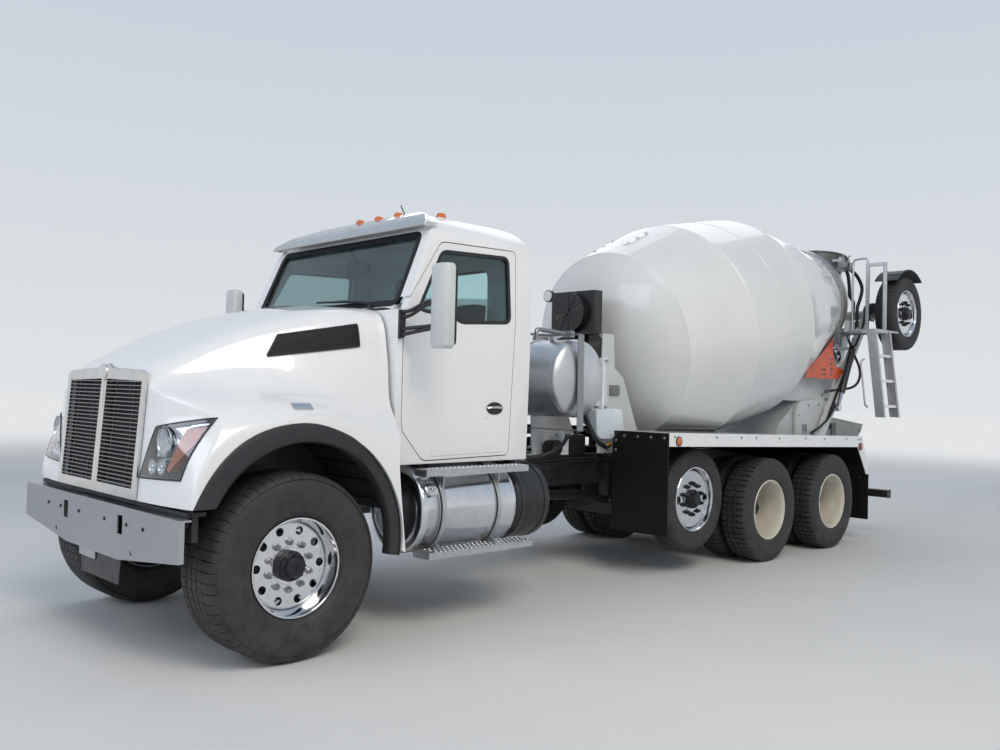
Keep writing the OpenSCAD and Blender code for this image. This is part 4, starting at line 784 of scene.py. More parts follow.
def nose_at(y, z):
    """The nose leans back a little, and sweeps back further outboard and higher up."""
    sweep = 0.2 * max(0, (abs(y) - 0.64) / 0.46) ** 2
    lean = 0.2 + 0.8 * min(max((z - 1.0) / 0.44, 0), 1) ** 2
    return 0.735 - 0.07 * (z - HOOD_Z) - sweep * lean


def hood_section(t, fine=4):
    """Half section at t as points (y, z, rear offset) from the crown to the fender's lower edge."""
    knots = [Vector((through(*r[0:3], t), through(*r[3:6], t), r[6])) for r in HOOD_ROWS]
    points = smooth_path([(-knots[1].x, knots[1].y, 0), *knots], fine)[fine:]
    return [Vector((min(max(p.x, 0), FENDER_Y + 0.002), p.y, p.z)) for p in points]


def inward(points, d):
    """Moves a half section towards its inside by d."""
    if not d:
        return points
    made = []
    for a, p, b in zip(points[:1] + points, points, points[1:] + points[-1:]):
        run = Vector((b.x - a.x, b.y - a.y)).normalized()
        made.append(Vector((max(p.x + run.y * d, 0), p.y - run.x * d, p.z)))
    made[0].x = 0
    return made


def hood_form(d=0.0, low=0.0):
    """The hood's outside moved inwards by d, its lower edge dropped by low."""
    shape = Shape()
    sections = []
    for a in steps_of(5, pi / 2):
        back = NOSE_EDGE * (1 - cos(a))
        outline = inward(hood_section(0), d + NOSE_EDGE * (1 - sin(a)))
        sections.append([Vector((nose_at(p.x, p.y) - d - back, p.x, p.y)) for p in outline])
    for i in range(27):
        t = 0.035 + 0.965 * i / 26
        rear = [-HOOD_REAR - p.z - (0.04 if d else 0) for p in hood_section(t)]
        outline = inward(hood_section(t), d)
        sections.append([Vector(((nose_at(p.x, p.y) - d) * (1 - t) + x * t, p.x, p.y)) for p,
            x in zip(outline, rear)])
    grid = []
    vert, face = shape.bm.verts.new, shape.bm.faces.new
    for s in sections:
        s[-1].z -= low
        left = [vert(p) for p in s]
        grid.append((left, [left[0], *[vert((p.x, -p.y, p.z)) for p in s[1:]]]))
    rows = len(sections[0])
    for a, b in zip(grid, grid[1:]):
        for p, q in zip(a, b):
            for k in range(rows - 1):
                face((p[k], p[k + 1], q[k + 1], q[k]))
    left, right = grid[-1]
    face((left[0], left[1], right[1]))
    for k in range(1, rows - 1):
        face((left[k], left[k + 1], right[k + 1], right[k]))
    # The nose between its two edges, row by row
    left, right = grid[0]
    columns = 24
    lines = []
    for k in range(1, rows):
        p = left[k].co
        z = p.z + (low if k == rows - 1 else 0)
        across = [p.y * (1 - 2 * m / columns) for m in range(1, columns)]
        lines.append([left[k], *[vert((nose_at(y, z) - d, y, p.z)) for y in across], right[k]])
    for m in range(columns):
        face((left[0], lines[0][m], lines[0][m + 1]))
        for a, b in zip(lines, lines[1:]):
            face((a[m], b[m], b[m + 1], a[m + 1]))
    # Floor between the lower edges
    face([s[0][-1] for s in grid[::-1]] + lines[-1][1:-1] + [s[1][-1] for s in grid])
    return shape


LAMP_CORNERS = [(0.64, 1.086), (1.07, 1.1), (1.104, 1.443), (0.77, 1.38)]
LAMP_MID = Vector((0.89, 1.255))


def lamp_at(u, v, grow=0.0):
    corners = [Vector(c) + grow * (Vector(c) - LAMP_MID).normalized() for c in LAMP_CORNERS]
    return corner_mix(corners, u, v)


def lamp_layer(shape, front, back, side, corners=None, grow=0.0, n=10):
    """A patch of the nose between two distances ahead of it, cut to four corners in u and v."""
    corners = corners or rect(0, 0, 1, 1)

    def grid(dx):
        rows = []
        for i in range(n + 1):
            places = [lamp_at(*corner_mix(corners, i / n, j / n), grow) for j in range(n + 1)]
            rows.append([(nose_at(p.x, p.y) + dx, side * p.x, p.y) for p in places])
        return rows

    return shape.sheet(grid(front), grid(back))


GRILLE_Y, MOUTH_Y, MOUTH_LOW, MOUTH_HIGH = 0.625, 0.575, 1.01, 1.65
arches, lamp_sockets = Shape(), Shape()
for s in BOTH:
    arches.turned([(0, 0), (ARCH_R, 0), (ARCH_R, 0.7), (0, 0.7)], along_y(*ARCH, 0.7 if s > 0 else -1.4), 128)
    lamp_layer(lamp_sockets, 0.06, -0.11, s, grow=0.004)
mouth = Shape().box((0.5, -MOUTH_Y, MOUTH_LOW), (0.9, MOUTH_Y, MOUTH_HIGH))
hood = hood_form().cut(hood_form(0.024, 0.3), arches, mouth, lamp_sockets)
hood.piece("hood_shell", white_enamel, "hood_body", "hood", crease=32)
HOOD_SKIN = BVHTree.FromBMesh(hood_form().merged().bm)


def hood_side(x, z):
    """Point and outward normal of the hood's left side at a place in X and Z."""
    point, normal, _, _ = HOOD_SKIN.ray_cast(Vector((x, 2.0, z)), Vector((0, -1, 0)))
    return point, normal if normal.y > 0 else -normal


def add_side_line(shape, a, b, radius, rise, steps=10):
    """A thin bar that follows the hood's left side between two places in X and Z."""
    path = []
    for i in range(steps + 1):
        at, normal = hood_side(*Vector(a).lerp(Vector(b), i / steps))
        path.append(at + normal * rise)
    shape.tube(path, radius, 4)


# Black flares: a broad band over the front of each opening that slips under the white edge behind.
# Columns: angle above the horizon ahead, outer and inner radius, how far both edges stand off the skin, crown
FLARE = [(22, 0.748, 0.622, 0.002, -0.002, 0.011), (60, 0.766, 0.632, 0.002, -0.002, 0.011),
    (88, 0.758, 0.642, 0.002, -0.003, 0.01), (112, 0.744, 0.65, 0.001, -0.008, 0.007),
    (136, 0.737, 0.662, -0.018, -0.05, 0.003), (188, 0.737, 0.664, -0.022, -0.055, 0.003)]
FLARE_FOOT, FLARE_STEPS = 0.949, 96
FLARE_START, FLARE_TURN = FLARE[0][0], FLARE[-1][0] - FLARE[0][0]


def flare_at(angle):
    """The flare's sizes at an angle, eased between the rows of its table."""
    a, b = next((a, b) for a, b in zip(FLARE, FLARE[1:]) if angle <= b[0])
    t = min(max((angle - a[0]) / (b[0] - a[0]), 0), 1)
    t = t * t * (3 - 2 * t)
    return [p * (1 - t) + q * t for p, q in zip(a[1:], b[1:])]


def flare_ring(angle):
    """The flare's section as points, its front end cut level with the hood's lower edge."""
    outer, inner, high, low, crown = flare_at(angle)
    probe = radians(min(max(angle, 29), 150))
    skin_y = hood_side(ARCH.x + 0.762 * cos(probe), ARCH.y + 0.762 * sin(probe))[0].y
    mid = (outer + inner) / 2
    loop = [(outer, high - 0.005), (outer, high + 0.002), (outer - 0.006, high + 0.006),
        (mid + 0.03, (high * 3 + low) / 4 + crown), (mid, (high + low) / 2 + crown),
        (mid - 0.03, (high + low * 3) / 4 + crown), (inner + 0.008, low + 0.006), (inner, low - 0.002),
        (inner, low - 0.06), (inner + 0.005, low - 0.064), (inner + 0.009, low - 0.012),
        (min(outer - 0.02, 0.728), high - 0.014), (min(outer - 0.006, 0.735), high - 0.01)]
    ring = []
    for r, off in loop:
        start = degrees(asin((FLARE_FOOT - ARCH.y) / r))
        a = radians(start + (angle - FLARE_START) * (FLARE_START + FLARE_TURN - start) / FLARE_TURN)
        ring.append((ARCH.x + r * cos(a), skin_y + off, ARCH.y + r * sin(a)))
    return ring


flares = Shape().skin([flare_ring(FLARE_START + FLARE_TURN * i / FLARE_STEPS) for i in range(FLARE_STEPS
    + 1)])
flares.both().piece("wheel_flares", moulded_black, "hood_body", "hood_trim", crease=50)

# Moulded liners inside the wheel openings, ribbed across
shape = Shape().turned(rect(0.716, 0.505, 0.722, 1.14), ARCH_AXLE, 64, 150, -165)
shape.turned(rect(0.34, 0.498, 0.722, 0.504), ARCH_AXLE, 64, 120, -150)
for i in range(14):
    rib = [(0.708, 0.53), (0.716, 0.52), (0.716, 1.13), (0.708, 1.12)]
    shape.turned(rib, ARCH_AXLE, 2, 2.4, -162 + i * 11.1)
shape.both().piece("wheel_housing_liners", cast_black, "hood_body", crease=40)

# Side intakes: backing, frame and a diamond mesh
VENT = [(0.035, 1.818), (-0.57, 1.906), (-0.57, 2.05), (-0.04, 1.95)]


def vent_grid(rise):
    rows = []
    for i in range(17):
        places = [hood_side(*corner_mix(VENT, i / 16, j / 6)) for j in range(7)]
        rows.append([at + normal * rise for at, normal in places])
    return rows


Shape().sheet(vent_grid(0.0015), vent_grid(-0.0025)).both().piece("intake_backing", flap_rubber, "hood_body")
shape = Shape()
for a, b in zip(VENT[1:] + VENT[:1], VENT):
    add_side_line(shape, a, b, 0.0095, 0.003, 14)
shape.both().piece("intake_frame", cast_black, "hood_body", crease=60)
shape = Shape()
MESH_BARS, MESH_LEAN = 26, 7
for i in range(-MESH_LEAN, MESH_BARS):
    for u0, u1 in ((i, i + MESH_LEAN), (i + MESH_LEAN, i)):
        # A bar runs across the opening while its u moves by its lean, and is cut off at both ends
        u0, run = u0 / MESH_BARS, (u1 - u0) / MESH_BARS
        v0, v1 = sorted(min(max((limit - u0) / run, 0), 1) for limit in (0, 1))
        if v1 - v0 > 0.05:
            a, b = (corner_mix(VENT, u0 + run * v, v) for v in (v0, v1))
            add_side_line(shape, a, b, 0.0022, 0.0035, 6)
shape.both().piece("intake_mesh", cast_black, "hood_body", crease=60, tidy=False)

# Side marker lamps on the fenders, and the hood's rear seal
at, normal = hood_side(-0.024, 1.511)
facing = Matrix.Translation(at) @ normal.to_track_quat("Z", "X").to_matrix().to_4x4()
for name, low, high, material in (("marker_bezel", (-0.032, -0.066, -0.004), (0.032, 0.066, 0.008),
    bright_plate), ("marker_lens", (-0.022, -0.048, 0.0), (0.022, 0.048, 0.013), reflector)):
    Shape().box(low, high, facing).both().piece(name, material, "hood_body", bevel=0.004)
REAR = 0.985
rear_line = inward(hood_section(REAR), 0.012)[:24]
path = [(nose_at(p.x, p.y) * (1 - REAR) + (-HOOD_REAR - p.z) * REAR, p.x, p.y) for p in rear_line]
Shape().tube(path, 0.008, 6).both().piece("hood_seal", flap_rubber, "hood_body")


# Grille: plated surround with its centre bar and raised middle, slats, a dark screen behind

def grille_piece(shape, *details, **more):
    """Leans a shape back with the nose and hangs it on the hood."""
    for v in shape.bm.verts:
        v.co.x += nose_at(0, v.co.z)
    shape.piece(*details, **more)


surround = [(-GRILLE_Y, 0.95), (GRILLE_Y, 0.95), (GRILLE_Y, 1.69), (0.56, 1.708), (0.11, 1.722),
    (0.06, 1.748), (-0.06, 1.748), (-0.11, 1.722), (-0.56, 1.708), (-GRILLE_Y, 1.69)]
openings = [[(s * 0.04, 1.012), (s * 0.572, 1.012), (s * 0.572, 1.64), (s * 0.04, 1.652)] for s in BOTH]
grille_piece(Shape().plate(surround, 0.002, 0.02, "yz", openings), "grille_surround", bright_plate,
    "hood_body", "grille", bevel=0.004)
shape = Shape()
SLATS, SLAT_PITCH = 26, 0.0245
blade = Shape().plate([(0.001, -0.005), (0.016, 0.001), (0.0175, 0.005), (0.016, 0.008), (0.001, -0.001)],
    -0.266, 0.266)
for s in BOTH:
    shape.row(blade, SLATS, (nose_at(0, 1.022), s * 0.306, 1.022), (-0.07 * SLAT_PITCH, 0, SLAT_PITCH))
low, high = nose_at(0, 1.01), nose_at(0, 1.65)
for y in (-0.44, -0.17, 0.17, 0.44):
    shape.plate([(low - 0.006, 1.01), (low + 0.002, 1.01), (high + 0.002, 1.65), (high - 0.006, 1.65)], y
        - 0.002, y + 0.002)
shape.piece("grille_slats", slat_steel, "hood_body", bevel=0.0006, tidy=False)
screen = Shape().plate(rect(-MOUTH_Y - 0.02, 0.99, MOUTH_Y + 0.02, 1.67), -0.034, -0.03, "yz")
grille_piece(screen, "grille_screen", flap_rubber, "hood_body")
shape = Shape().plate([(0.04 * sin(a), 1.69 + 0.052 * cos(a)) for a in steps_of(32)], 0.018, 0.026, "yz")
shape.plate([(-0.02, 1.46), (0.02, 1.46), (0.014, 1.64), (-0.014, 1.64)], 0.018, 0.023, "yz")
grille_piece(shape, "grille_centre_plate", bright_plate, "hood_body", bevel=0.003)

# Headlamps: dark tray, plated reflectors, amber turn lamp and a clear cover
for side, s in SIDES.items():
    shape = lamp_layer(Shape(), -0.052, -0.06, s)
    for sizes in ((0, 0, 1, 0.035), (0, 0.965, 1, 1), (0, 0, 0.03, 1), (0.97, 0, 1, 1)):
        lamp_layer(shape, 0.002, -0.056, s, rect(*sizes), n=6)
    shape.piece(f"lamp_tray_{side}", cast_black, "hood_body", "headlamps" if s > 0 else ())
    shape = Shape()
    for corners, back in (([(0.05, 0.06), (0.56, 0.06), (0.6, 0.36), (0.05, 0.36)], -0.036),
        ([(0.05, 0.4), (0.6, 0.4), (0.64, 0.93), (0.05, 0.93)], -0.03), ([(0.66, 0.88), (0.96, 0.9),
        (0.96, 0.955), (0.66, 0.955)], -0.02)):
        lamp_layer(shape, back, -0.054, s, corners)
    for u, v, r, deep in ((0.34, 0.67, 0.085, 0.034), (0.2, 0.21, 0.042, 0.022), (0.44, 0.21, 0.042, 0.022)):
        p = lamp_at(u, v)
        x = nose_at(p.x, p.y) - 0.034
        bowl = [(r * sin(a), deep * (1 - cos(a)) * 1.1) for a in (pi / 2 * i / 8 for i in range(1, 9))]
        edge = bowl[-1][1]
        bowl = [(0.0, -0.002), *[(a, b - 0.002) for a, b in bowl], (r + 0.006, edge),
            (r + 0.006, edge - 0.006), (0, -0.006)]
        shape.turned(bowl, along_x(s * p.x, p.y, x - deep * 0.1), 32)
        shape.turned([(0, 0), (0.013, 0), (0.013, 0.012), (0.009, 0.022), (0, 0.024)],
            along_x(s * p.x, p.y, x), 16)
    shape.piece(f"lamp_reflectors_{side}", reflector, "hood_body", bevel=0.002, crease=30)
    shape = lamp_layer(Shape(), -0.004, -0.05, s, [(0.63, 0.17), (0.7, 0.12), (0.965, 0.6), (0.965, 0.86)])
    lamp_layer(shape, -0.006, -0.05, s, [(0.64, 0.2), (0.965, 0.84), (0.965, 0.86), (0.66, 0.86)])
    shape.piece(f"lamp_turn_{side}", amber_lens, "hood_body", bevel=0.002)
    lamp_layer(Shape(), 0.006, 0.0025, s, n=16).piece(f"lamp_cover_{side}", clear_lens, "hood_body",
        crease=60)
    walk = [((0, 0), (1, 0)), ((1, 0), (0, 1)), ((1, 1), (-1, 0)), ((0, 1), (0, -1))]
    places = [(a[0] + d[0] * i / 12, a[1] + d[1] * i / 12) for a, d in walk for i in range(12)] + [(0, 0)]
    edge = [lamp_at(u, v, 0.003) for u, v in places]
    shape = Shape().tube([(nose_at(p.x, p.y) + 0.003, s * p.x, p.y) for p in edge], 0.005, 6)
    shape.piece(f"lamp_gasket_{side}", cast_black, "hood_body", crease=60)

# Bumper: brushed plate with its slots, returns, brackets, bolts and the blank plate below
BUMPER_X, BUMPER_LOW, BUMPER_HIGH, BUMPER_THICK = 0.757, 0.58, 0.9, 0.01
BUMPER_BACK = BUMPER_X - BUMPER_THICK


def box_hole(u, v, half_u, half_v, r=0.01):
    """An oblong hole with small round corners."""
    corners = ((1, 1), (-1, 1), (-1, -1), (1, -1))
    return [(u + su * (half_u - r) + r * cos(pi / 2 * (k + i / 4)), v + sv * (half_v - r) + r
        * sin(pi / 2 * (k + i / 4))) for k, (su, sv) in enumerate(corners) for i in range(5)]


outline = [(-1.23, 0.668), (-0.42, BUMPER_LOW), (0.42, BUMPER_LOW), (1.23, 0.668), (1.23, BUMPER_HIGH),
    (-1.23, BUMPER_HIGH)]
holes = [box_hole(s * 0.444, 0.79, 0.038, 0.056) for s in BOTH] + [circle(s * 0.612, 0.644, 0.015)
    for s in BOTH]
plate = Shape().plate(outline, BUMPER_BACK, BUMPER_X, "yz", holes)
plate.box((BUMPER_X - 0.07, -1.225, BUMPER_HIGH - 0.01), (BUMPER_BACK, 1.225, BUMPER_HIGH))
plate.box((BUMPER_X - 0.06, -0.4, BUMPER_LOW), (BUMPER_BACK, 0.4, BUMPER_LOW + 0.01))
brackets, strip, bolts = Shape(), Shape(), Shape()
strip.box((0.56, -1.14, BUMPER_HIGH + 0.001), (0.68, 1.14, BUMPER_HIGH + 0.028))
for s in BOTH:
    plate.box((BUMPER_X - 0.03, s * 1.225 - 0.005, 0.669), (BUMPER_BACK, s * 1.225 + 0.005, 0.89))
    brackets.box((0.62, s * 0.315 - 0.015, 0.69), (BUMPER_BACK, s * 0.315 + 0.015, 0.89))
    # Tow pins behind the slots, and the dark gap filler above the plate
    brackets.box((0.7, s * 0.44 - 0.05, 0.72), (0.712, s * 0.44 + 0.05, 0.86))
    strip.box((0.6, s * 0.93 - 0.2, 0.76), (0.64, s * 0.93 + 0.2, BUMPER_HIGH + 0.002))
    for y in (0.77, 0.21, 0.54):
        bolts.turned([(0, 0), (0.012, 0), (0.0115, 0.004), (0.007, 0.007), (0, 0.008)],
            along_x(s * y, 0.8, BUMPER_X - 0.0005), 16)
# Air dam plate below the middle
brackets.plate([(-0.3, 0.4), (0.3, 0.4), (0.33, 0.59), (-0.33, 0.59)], 0.69, 0.696, "yz")
plate.piece("bumper_plate", brushed_stainless, replaces="bumper", bevel=0.0025)
brackets.piece("bumper_brackets", chassis_enamel, bevel=0.003)
strip.piece("bumper_gap_strip", moulded_black, bevel=0.004)
bolts.piece("bumper_bolts", black_iron)
Shape().box((0.7, -0.33, 0.505), (0.704, -0.06, 0.572)).piece("blank_plate", mill_aluminium, bevel=0.001)

# Cab: one form from its side and front outlines, then hollowed and cut into shell and doors

CAB_SIDE = [(-0.8, 1.125), (-0.8, 2.165), (-0.872, 2.178), *smooth_line([(-1.12, 2.757), (-1.18, 2.85),
    (-1.3, 2.925), (-1.48, 2.966), (-1.7, 2.972), (-1.9, 2.935), (-2.02, 2.86), (-2.085, 2.74),
    (-2.092, 2.6)], 3), (-2.06, 1.125)]
CAB_HALF = [(1.05, 1.1), (1.05, 2.15), *smooth_line([(1.008, 2.69), (0.965, 2.78), (0.85, 2.862), (0.6, 2.93),
    (0.3, 2.962), (0.0, 2.974)], 3)]
CAB_FRONT = CAB_HALF + [(-y, z) for y, z in CAB_HALF[-2::-1]]
CAB_WALL, EASE, DOOR_GAP, DOOR_Y = 0.06, 0.042, 0.007, 1.05
DOOR = rounded([(-0.85, 1.36), (-0.85, 2.18), (-1.2, 2.676), (-1.94, 2.695), (-1.87, 1.16), (-1.04, 1.143)],
    0.045)
SIDE_GLASS = rounded([(-0.985, 2.18), (-1.21, 2.603), (-1.85, 2.628), (-1.85, 2.15), (-1.37, 2.118),
    (-1.3, 2.153)], 0.05)
SCREEN = rounded([(-0.925, 2.215), (0.925, 2.215), (0.905, 2.735), (-0.905, 2.735)], 0.07)
REAR_GLASS = rounded([(-0.62, 2.15), (0.62, 2.15), (0.6, 2.6), (-0.6, 2.6)], 0.08)


def cab_form(d=0.0, ease=0.0):
    """The cab's outside moved inwards by d, with its long edges rounded by ease."""
    shape = Shape().plate(offset(CAB_SIDE, d), -1.3, 1.3).shared(between_walls(d)).merged()
    bmesh.ops.dissolve_limit(shape.bm, angle_limit=radians(0.5), verts=shape.bm.verts, edges=shape.bm.edges)
    if not ease:
        return shape
    obj = as_object(shape.bm, "cab form")
    m = obj.modifiers.new("eased", "BEVEL")
    m.width, m.segments, m.limit_method, m.angle_limit = ease, 4, "ANGLE", radians(38)
    return Shape(baked(obj))


def between_walls(d):
    """All that lies inside the side walls, from end to end."""
    return Shape().plate(offset(CAB_FRONT, d), -2.3, -0.7, "yz")


def through_side(outline, s, holes=()):
    return Shape().plate(outline, *sorted((s * 0.9, s * 1.3)), holes=holes)


def through_front(outline, holes=()):
    return Shape().plate(outline, -1.4, -0.7, "yz", holes)


def through_back(outline, holes=()):
    return Shape().plate(outline, -2.3, -1.95, "yz", holes)


shell = cab_form(0, EASE).cut(cab_form(CAB_WALL), *[through_side(DOOR, s) for s in (1, -1)],
    through_front(SCREEN), through_back(REAR_GLASS))
for s in BOTH:
    for x in (-0.9, -1.98):
        shell.box((x - 0.05, s * 0.382 - 0.04, 1.085), (x + 0.05, s * 0.382 + 0.04, 1.126))
shell.piece("cab_shell", white_enamel, replaces="cab", bevel=0.002, crease=32)

for side, s in SIDES.items():
    body = f"door_{side}_body"
    panel = cab_form(0, EASE).shared(through_side(offset(DOOR, DOOR_GAP), s))
    panel = panel.cut(between_walls(CAB_WALL), through_side(SIDE_GLASS, s))
    panel.piece(f"door_panel_{side}", white_enamel, body, f"door_{side}", bevel=0.003, crease=32)
    # Seal round the side glass, and the rubber run in the door's gap
    ring = through_side(offset(SIDE_GLASS, -0.016), s, [offset(SIDE_GLASS, 0.01)]).shared(cab_form(-0.003))
    ring.cut(between_walls(0.026)).piece(f"glass_seal_{side}", hose_rubber, body, bevel=0.002)
    run = through_side(offset(DOOR, 0.002), s, [offset(DOOR, DOOR_GAP - 0.001)]).shared(cab_form(0.012))
    run.cut(between_walls(0.04)).piece(f"door_seal_{side}", flap_rubber)
    # Handle: black bowl with a bright bar across it; pressed panel low on the door, and the lock barrel
    bowl = [(-1.715 + 0.082 * cos(a), 1.508 + 0.046 * sin(a)) for a in steps_of(32)]
    shape = Shape().plate(bowl, *sorted((s * (DOOR_Y - 0.001), s * (DOOR_Y + 0.006))))
    shape.piece(f"handle_bowl_{side}", cast_black, body, bevel=0.003)
    bar = [(-1.79, 0.006, 1.51), (-1.76, 0.022, 1.514), (-1.715, 0.026, 1.516), (-1.67, 0.022, 1.514),
        (-1.64, 0.006, 1.51)]
    path = smooth_path([(x, s * (DOOR_Y + out), z) for x, out, z in bar], 4)
    Shape().tube(path, 0.0085).piece(f"handle_bar_{side}", bright_plate, body)
    low, high = sorted((s * (DOOR_Y - 0.001), s * (DOOR_Y + 0.004)))
    pressing = rounded([(-1.13, 1.175), (-1.11, 1.222), (-1.79, 1.246), (-1.815, 1.19)], 0.012)
    shape = Shape().plate(pressing, low, high).plate(circle(-1.64, 1.44, 0.012), low, high)
    shape.piece(f"door_pressing_{side}", white_enamel, body, bevel=0.003)

# Black borders of the windscreen and the rear glass, wipers and the cowl grille
border = through_front(offset(SCREEN, -0.014), [offset(SCREEN, 0.03)]).shared(cab_form(-0.002))
border.cut(cab_form(0.022)).piece("screen_border", flap_rubber)
border = through_back(offset(REAR_GLASS, -0.016), [offset(REAR_GLASS, 0.014)]).shared(cab_form(-0.003))
border.cut(cab_form(0.026)).piece("rear_glass_border", flap_rubber)
SCREEN_FOOT, SCREEN_HEAD = Vector((-0.872, 2.178)), Vector((-1.12, 2.757))


def screen_point(y, up, out):
    """A place on the windscreen's plane, a distance up it from its foot and out from it."""
    run = (SCREEN_HEAD - SCREEN_FOOT).normalized()
    p = SCREEN_FOOT + run * up + Vector((run.y, -run.x)) * out
    return (p.x, y, p.y)


shape = Shape()
for y0, y1 in ((0.64, 0.16), (-0.16, -0.64)):
    mid = (y0 + y1) / 2
    arm = ((y0, 0.03, 0.02), (y0, 0.04, 0.04), (mid - 0.06, 0.075, 0.034), (y1, 0.085, 0.022))
    shape.tube([screen_point(*p) for p in arm], 0.009, 8)
    blade = ((y0 - 0.1, 0.07, 0.012), (mid - 0.2, 0.088, 0.014), (y1 - 0.24, 0.1, 0.012))
    shape.tube([screen_point(*p) for p in blade], 0.008, 6)
    shape.turned([(0, 0), (0.022, 0), (0.02, 0.03), (0, 0.034)], moved(*screen_point(y0, 0.005, 0.0)), 16)
shape.piece("wipers", cast_black, crease=60)
shape = Shape().box((-0.87, -0.88, 2.1655), (-0.805, 0.88, 2.182))
rib = Shape().box((-0.862, -0.004, 2.181), (-0.812, 0.004, 2.186))
shape.row(rib, 80, (0, -0.86, 0), (0, 0.0218, 0)).piece("cowl_grille", cast_black, tidy=False)

# Sun visor over the windscreen, and the row of marker lamps on the roof
visor_side = [(-1.05, 2.768), (-1.046, 2.78), (-1.08, 2.82), (-1.16, 2.882), (-1.3, 2.945), (-1.33, 2.94),
    (-1.33, 2.9), (-1.18, 2.8), (-1.12, 2.768)]
visor_half = [(1.01, 2.7), (1.0, 2.8), (0.86, 2.885), (0.6, 2.952)]
visor_front = [(-1.01, 2.7), *visor_half, (0, 2.99), *[(-y, z) for y, z in visor_half[:0:-1]]]
visor_inside = [(-1.062, 2.76), (-1.09, 2.806), (-1.168, 2.868), (-1.3, 2.93), (-1.4, 2.9), (-1.18, 2.74)]
visor = Shape().plate(visor_side, -1.0, 1.0).shared(Shape().plate(visor_front, -2.3, -0.7, "yz"))
visor = visor.cut(cab_form(-0.0005), Shape().plate(visor_inside, -0.985, 0.985))
visor.piece("sun_visor_shell", bright_plate, replaces="sun_visor", bevel=0.003, crease=30)


def wedge(y, front, half, back, rear_half, r):
    """A roof lamp's outline, narrower at its rear."""
    return rounded([(front, y - half), (front, y + half), (back, y + rear_half), (back, y - rear_half)], r)


lens, base = Shape(), Shape()
for y, z in ((-0.76, 2.882), (-0.25, 2.948), (0.0, 2.948), (0.25, 2.948), (0.76, 2.882)):
    base.plate(wedge(y, -1.35, 0.036, -1.49, 0.02, 0.016), z - 0.03, z + 0.014, "xy")
    foot, top = wedge(y, -1.362, 0.03, -1.44, 0.026, 0.01), wedge(y, -1.378, 0.018, -1.43, 0.016, 0.008)
    lens.skin([[(*p, h) for p in loop] for loop, h in ((foot, z + 0.012), (top, z + 0.05))])
base.piece("roof_lamp_bases", white_enamel, bevel=0.003)
lens.piece("roof_lamp_lenses", amber_lens, bevel=0.003)
shape = Shape().turned([(0, 0), (0.022, 0), (0.018, 0.012), (0.008, 0.022), (0, 0.024)],
    moved(-1.56, 0.15, 2.96), 16)
shape.tube([(-1.56, 0.15, 2.975), (-1.545, 0.15, 3.01), (-1.5, 0.15, 3.085)], 0.005, 6)
shape.piece("antenna", cast_black)

# Mirrors: grey heads with black backs, two arms and a bracket on the cowl
MIRROR_HEAD = rounded([(-0.868, 1.3), (-0.856, 1.385), (-0.868, 1.47), (-0.944, 1.478), (-0.944, 1.292)],
    0.026)
MIRROR_MID = Vector((-0.905, 1.385))
MIRROR_LEVELS = [(1.902, 0.8), (1.912, 0.93), (1.935, 1.0), (2.42, 1.0), (2.443, 0.93), (2.453, 0.8)]
for side, s in SIDES.items():
    rows = [[(p.x, s * p.y, z) for p in (MIRROR_MID.lerp(Vector(q), f) for q in MIRROR_HEAD)] for z,
        f in MIRROR_LEVELS]
    shape = Shape().skin(rows)
    shape.piece(f"mirror_head_{side}", grey_enamel, replaces="mirrors" if s > 0 else (), crease=50)
    panes = [rounded(rect(s * 1.312, z0, s * 1.458, z1), 0.02) for z0, z1 in ((2.085, 2.415), (1.94, 2.07))]
    shape = Shape().plate(rounded(rect(s * 1.298, 1.925, s * 1.472, 2.43), 0.03), -0.954, -0.943, "yz", panes)
    shape.piece(f"mirror_back_{side}", cast_black, bevel=0.002)
    shape = Shape()
    for pane in panes:
        shape.plate(pane, -0.95, -0.944, "yz")
    shape.piece(f"mirror_glass_{side}", mirror_glass)
    foot = rounded([(-0.806, 1.965), (-0.806, 2.166), (-0.852, 2.15), (-0.852, 1.98)], 0.01)
    shape = Shape().plate(foot, *sorted((s * 1.0503, s * 1.072)))
    for z0, z1 in ((2.128, 2.205), (2.01, 2.045)):
        for dz in (-0.016, 0.016):
            arm = [(-0.826, s * 1.06, z0 + dz), (-0.84, s * 1.14, z0 + 0.012 + dz),
                (-0.868, s * 1.26, z1 - 0.01 + dz * 0.6), (-0.884, s * 1.345, z1 + dz * 0.5)]
            shape.tube(smooth_path(arm, 4), 0.0135, 8)
    shape.piece(f"mirror_arms_{side}", cast_black, crease=60)

# Cab interior: dash with its hood, steering wheel, inside mirror, seats as padded pieces
dash = [(-0.862, 1.3), (-0.862, 2.092), (-0.93, 2.098), (-1.01, 2.13), (-1.1, 2.122), (-1.18, 2.08),
    (-1.2, 1.9), (-1.0, 1.8), (-0.98, 1.3)]
Shape().plate(dash, -0.93, 0.93).piece("dash", vinyl, replaces="cab_interior", bevel=0.012)
shape = Shape().tube([(-1.19, 0.5, 1.95), (-1.33, 0.5, 2.04)], 0.03, 16)
tilt = moved(-1.33, 0.5, 2.04) @ spun(-57, "Y")
shape.turned(circle(0.22, 0, 0.016, 12), tilt, 48)
for a in (90, 210, 330):
    shape.box((0, -0.018, -0.006), (0.215, 0.018, 0.006), tilt @ spun(a, "Z"))
shape.turned([(0, -0.012), (0.06, -0.012), (0.06, 0.012), (0.04, 0.02), (0, 0.022)], tilt, 24)
shape.piece("steering_wheel", cast_black, crease=40)
shape = Shape().turned([(0, 0), (0.16, 0), (0.155, 0.02), (0, 0.03)], moved(-1.225, 0.0, 2.56) @ spun(90, "Y")
    @ Matrix.Diagonal((0.45, 1, 1, 1)), 32)
shape.tube([(-1.212, 0, 2.575), (-1.165, 0, 2.66), (-1.15, 0, 2.7)], 0.008, 8)
shape.piece("rear_view_mirror", cast_black, crease=40)


